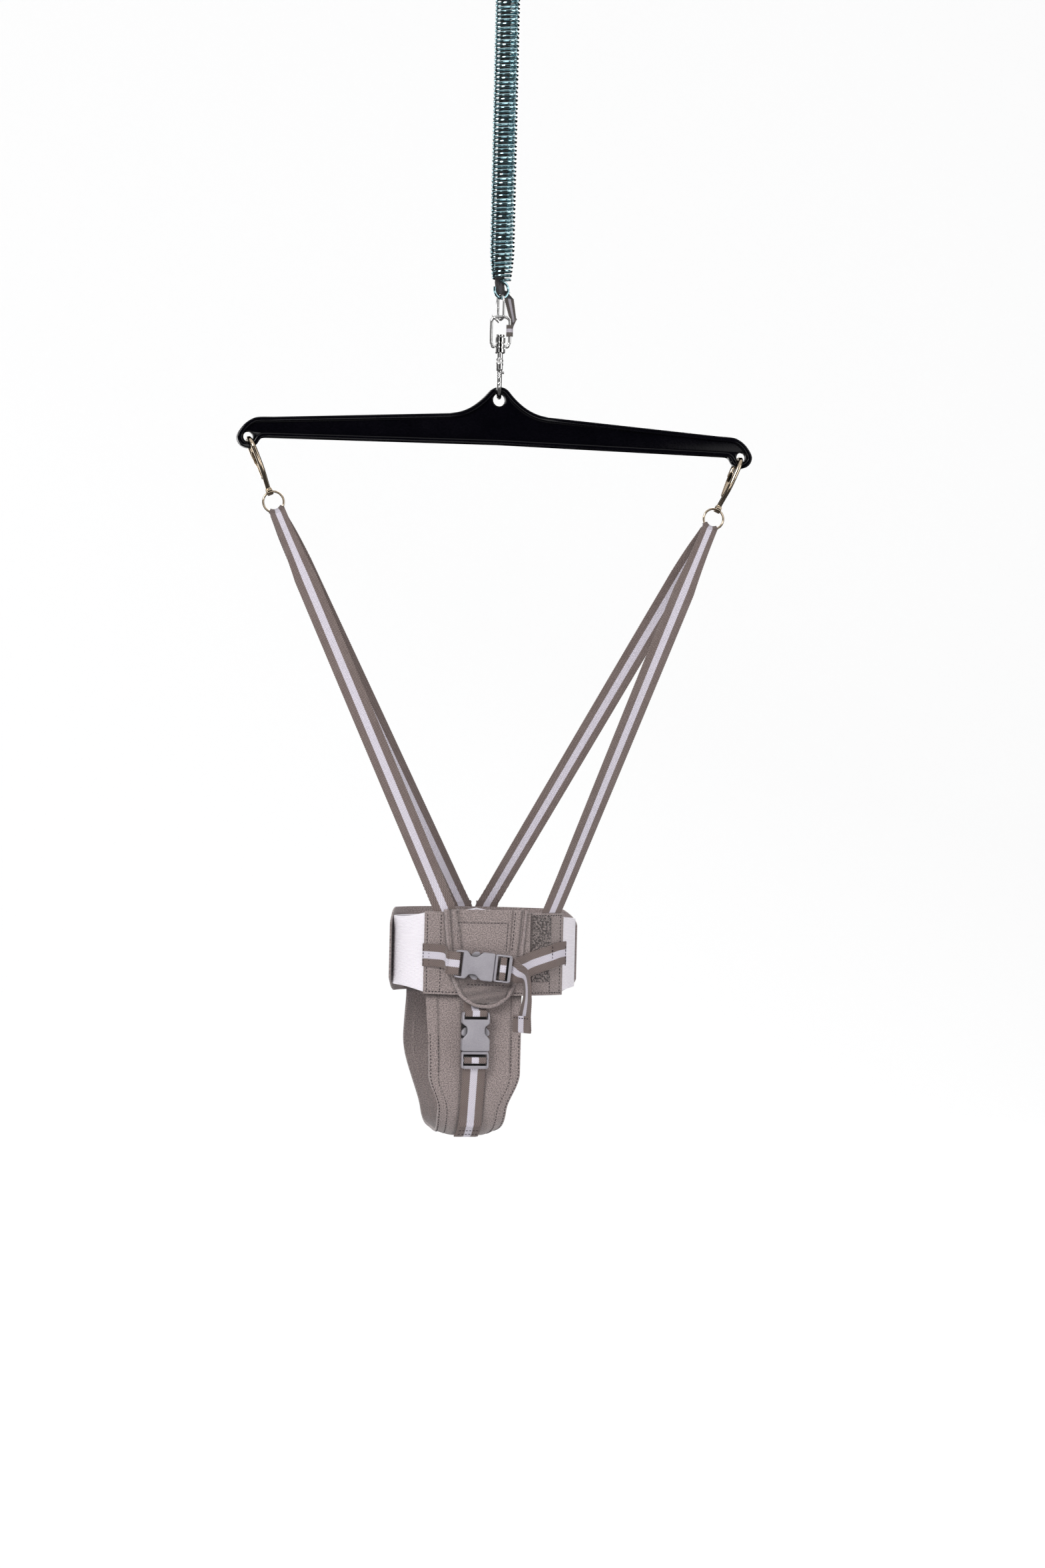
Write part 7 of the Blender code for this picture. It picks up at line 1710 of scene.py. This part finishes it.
def bar_turn(middle, side):
    """Webbing (x, z) round one side of a square bar, from behind it to in front of it."""
    corner = middle + side * BUCKLE_BAR / 2
    slant = WRAP * sqrt(1 / 2)
    return [(corner, -BAR_LIFT), (corner + side * slant, -BUCKLE_BAR / 2 - slant),
            (corner + side * WRAP, -BUCKLE_BAR / 2), (corner + side * WRAP, BUCKLE_BAR / 2),
            (corner + side * slant, BUCKLE_BAR / 2 + slant), (corner, BAR_LIFT)]


def full_width(*stations):
    """Stations of webbing from (point, side) pairs."""
    return [(point, side, WEBBING_WIDTH) for point, side in stations]


def on_buckle(place, spots):
    side = place.to_3x3() @ Vector((0, 1, 0))
    return full_width(*[(place @ Vector((x, 0, z)), side) for x, z in spots])


def painted_shade_in_slots(spot):
    """Painted shade where the webbing passes behind or beside a buckle's bars."""
    for place in (waist_place, crotch_place):
        inside = place.inverted() @ spot
        within = abs(inside.x) < half_length - BUCKLE_BAR / 2 and abs(inside.y) < half_wide
        if within and inside.z < BUCKLE_BAR * 0.7:
            return 0.99
    return 0.0


def sewn_strap(name, stations, node):
    run = run_of(stations, 0.00055)
    made = piece(name, strap(name, run, WEBBING_THICKNESS, WEBBING_WIDTH, 8), wide_webbing)
    write_painted_shade(made, painted_shade_in_slots)
    sheet(made, [node], (WEBBING_WIDTH, length_of(run)))


def seam_across(middle, side):
    """A row of stitches across webbing."""
    return [middle + side * WEBBING_WIDTH * (share - 0.5) * 0.94 for share in shares(20)]


bar = -half_length + BUCKLE_BAR / 2
near = -half_length - WEBBING_THICKNESS * 2
loop = [(near - WEBBING_THICKNESS * 3, -BAR_LIFT), (near, -BAR_LIFT)] + bar_turn(bar, 1)
loop += [(near, BAR_LIFT), (near - WEBBING_THICKNESS * 2, BAR_LIFT - WEBBING_THICKNESS)]
first = belt_angle(-LEFT_PANEL_LEFT, left_level)
sewn = left_face + SEAT_GAP + WEBBING_THICKNESS / 2
over_binding = binding_level + BINDING_RADIUS + SEAT_GAP + WEBBING_THICKNESS / 2
height = belt_top - WAIST_BUCKLE_DROP + WEBBING_WIDTH * 0.42
second = belt_angle(BIB_CENTRE_X - BIB_HALF_WIDTH - BINDING_RADIUS, binding_level)
start = full_width((belt_point(first, height, sewn), UP),
                   (belt_point(first * 0.7 + second * 0.3, height, sewn + SEAT_GAP), UP),
                   (belt_point(second, height - SEAT_GAP * 3, over_binding + SEAT_GAP), UP))
sewn_strap("left_waist_webbing", start + on_buckle(waist_place, loop), "left_waist_strap")
bar = male_middle
under = -BAR_LIFT - WEBBING_THICKNESS - SEAT_GAP
end = half_length + WEBBING_THICKNESS
climb = bar - BUCKLE_BAR / 2 - WRAP
round_bar = [(end, under), (bar + WEBBING_THICKNESS, under), (climb + WRAP, under), (climb, under + WRAP)]
round_bar += bar_turn(bar, -1)[3:] + bar_turn(bar, 1)[::-1][:4]
round_bar += [(bar + BUCKLE_BAR / 2 + WRAP * 2, -BAR_LIFT), (end, -BAR_LIFT)]
third, fourth = belt_angle(RIGHT_PANEL_RIGHT), belt_angle(BIB_CENTRE_X + BIB_HALF_WIDTH, binding_level)
high = belt_top - BELT_HEIGHT * 0.52
flat = patch_level + PATCH_THICKNESS / 2 + SEAT_GAP * 3 + WEBBING_THICKNESS / 2
slope = UP - ACROSS * 0.26
lead = full_width(
    (belt_point(third, high + WEBBING_WIDTH * 0.14, flat), UP),
    (belt_point(third * 0.86, high + WEBBING_WIDTH * 0.08, flat), slope * 0.5 + UP * 0.5),
    (belt_point(belt_angle(PATCH_RIGHT), high - WEBBING_WIDTH * 0.03, flat), slope),
    (belt_point(belt_angle(PATCH_LEFT), high - WEBBING_WIDTH * 0.30, flat + SEAT_GAP), slope),
    (belt_point(fourth, high - WEBBING_WIDTH * 0.48, over_binding + SEAT_GAP * 2), slope))
side = waist_place.to_3x3() @ Vector((0, 1, 0))
leave = waist_place @ Vector((end + STRAP_TAB * 0.4, -WEBBING_WIDTH * 0.12, BAR_LIFT * 0.4))
bend = waist_place @ Vector((end + STRAP_TAB, -WEBBING_WIDTH * 0.30, BAR_LIFT))
hang = bend + Vector((STRAP_TAB * 0.15, 0, -TAIL_DROP_LENGTH * 0.33))
tip = bend + Vector((-STRAP_TAB * 0.15, 0, -TAIL_DROP_LENGTH))
turned_side = (ACROSS * 0.55 + FRONT * 0.8).normalized()
fold = turned_side.cross(-UP).normalized() * WEBBING_THICKNESS
if fold.dot(FRONT) < 0:
    fold = -fold
tail = full_width(
    (leave, side * 0.85 + FRONT * 0.5), (bend, side * 0.5 + FRONT * 0.85), (hang, FRONT + ACROSS * 0.10),
    (hang.lerp(tip, 0.55), FRONT + ACROSS * 0.30), (tip + UP * WEBBING_THICKNESS, turned_side),
    (tip + fold * 0.6, turned_side), (tip + fold * 1.25 + UP * WEBBING_THICKNESS, turned_side),
    (tip + fold * 1.3 + UP * WEBBING_WIDTH * 0.7, turned_side))
sewn_strap("right_waist_webbing", lead + on_buckle(waist_place, round_bar) + tail,
           "right_waist_strap")
bar = -half_length + BUCKLE_BAR / 2
tab = -half_length - WEBBING_THICKNESS
behind = crotch_place.inverted() @ Vector((CROTCH_BUCKLE_X,
                                           crotch_y + BUCKLE_THICKNESS / 2 + WEBBING_THICKNESS,
                                           belt_bottom - BIB_HEIGHT * 0.03))
loop = [(behind.x, behind.z), (tab - WEBBING_THICKNESS * 2, behind.z), (tab, -BAR_LIFT)] + bar_turn(bar, 1)
loop += [(tab, BAR_LIFT)]
sewn_strap("upper_crotch_webbing", on_buckle(crotch_place, loop), "upper_crotch_strap")
out = SEAT_THICKNESS / 2 + SEAT_GAP * 2 + WEBBING_THICKNESS / 2
inner_layer, outer_layer = [], []
for step in range(10):
    share = 0.35 + 0.10 * step / 9
    index = round(share * SEAT_STEPS)
    along = (seat_spine[index + 1] - seat_spine[index - 1]).normalized()
    outward = Vector((0, along.z, -along.y))
    spot = seat_spine[index] + Vector((CROTCH_BUCKLE_X, 0, 0))
    inner_layer += full_width((spot + outward * out, ACROSS))
    outer_layer += full_width((spot + outward * (out + WEBBING_THICKNESS + SEAT_GAP), ACROSS))
lower = [(point, ACROSS, width) for point, _, width in on_buckle(crotch_place, round_bar[::-1])]
sewn_strap("lower_crotch_webbing", outer_layer[7:2:-1] + lower + inner_layer[1:], "lower_crotch_strap")
thick, tall = WEBBING_THICKNESS / 2, WEBBING_WIDTH * 0.46
seams = [upright_seam(angle, height, tall, sewn + thick)
         for angle in (first * 0.985, (first * 0.985 + second * 0.4) / 1.4)]
seams += [upright_seam(angle, high, tall, flat + thick) for angle in (third * 0.98, belt_angle(PATCH_RIGHT))]
for index in (5, 6):
    spot = outer_layer[index][0]
    seams.append(seam_across(spot + (spot - inner_layer[index][0]).normalized() * thick, ACROSS))
tail_top = tip + fold * 1.3 + UP * WEBBING_WIDTH * 0.6 + fold.normalized() * thick
seams.append(seam_across(tail_top, turned_side))
fitted(stitches("strap_end_stitching", seams), "harness")

low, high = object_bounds()
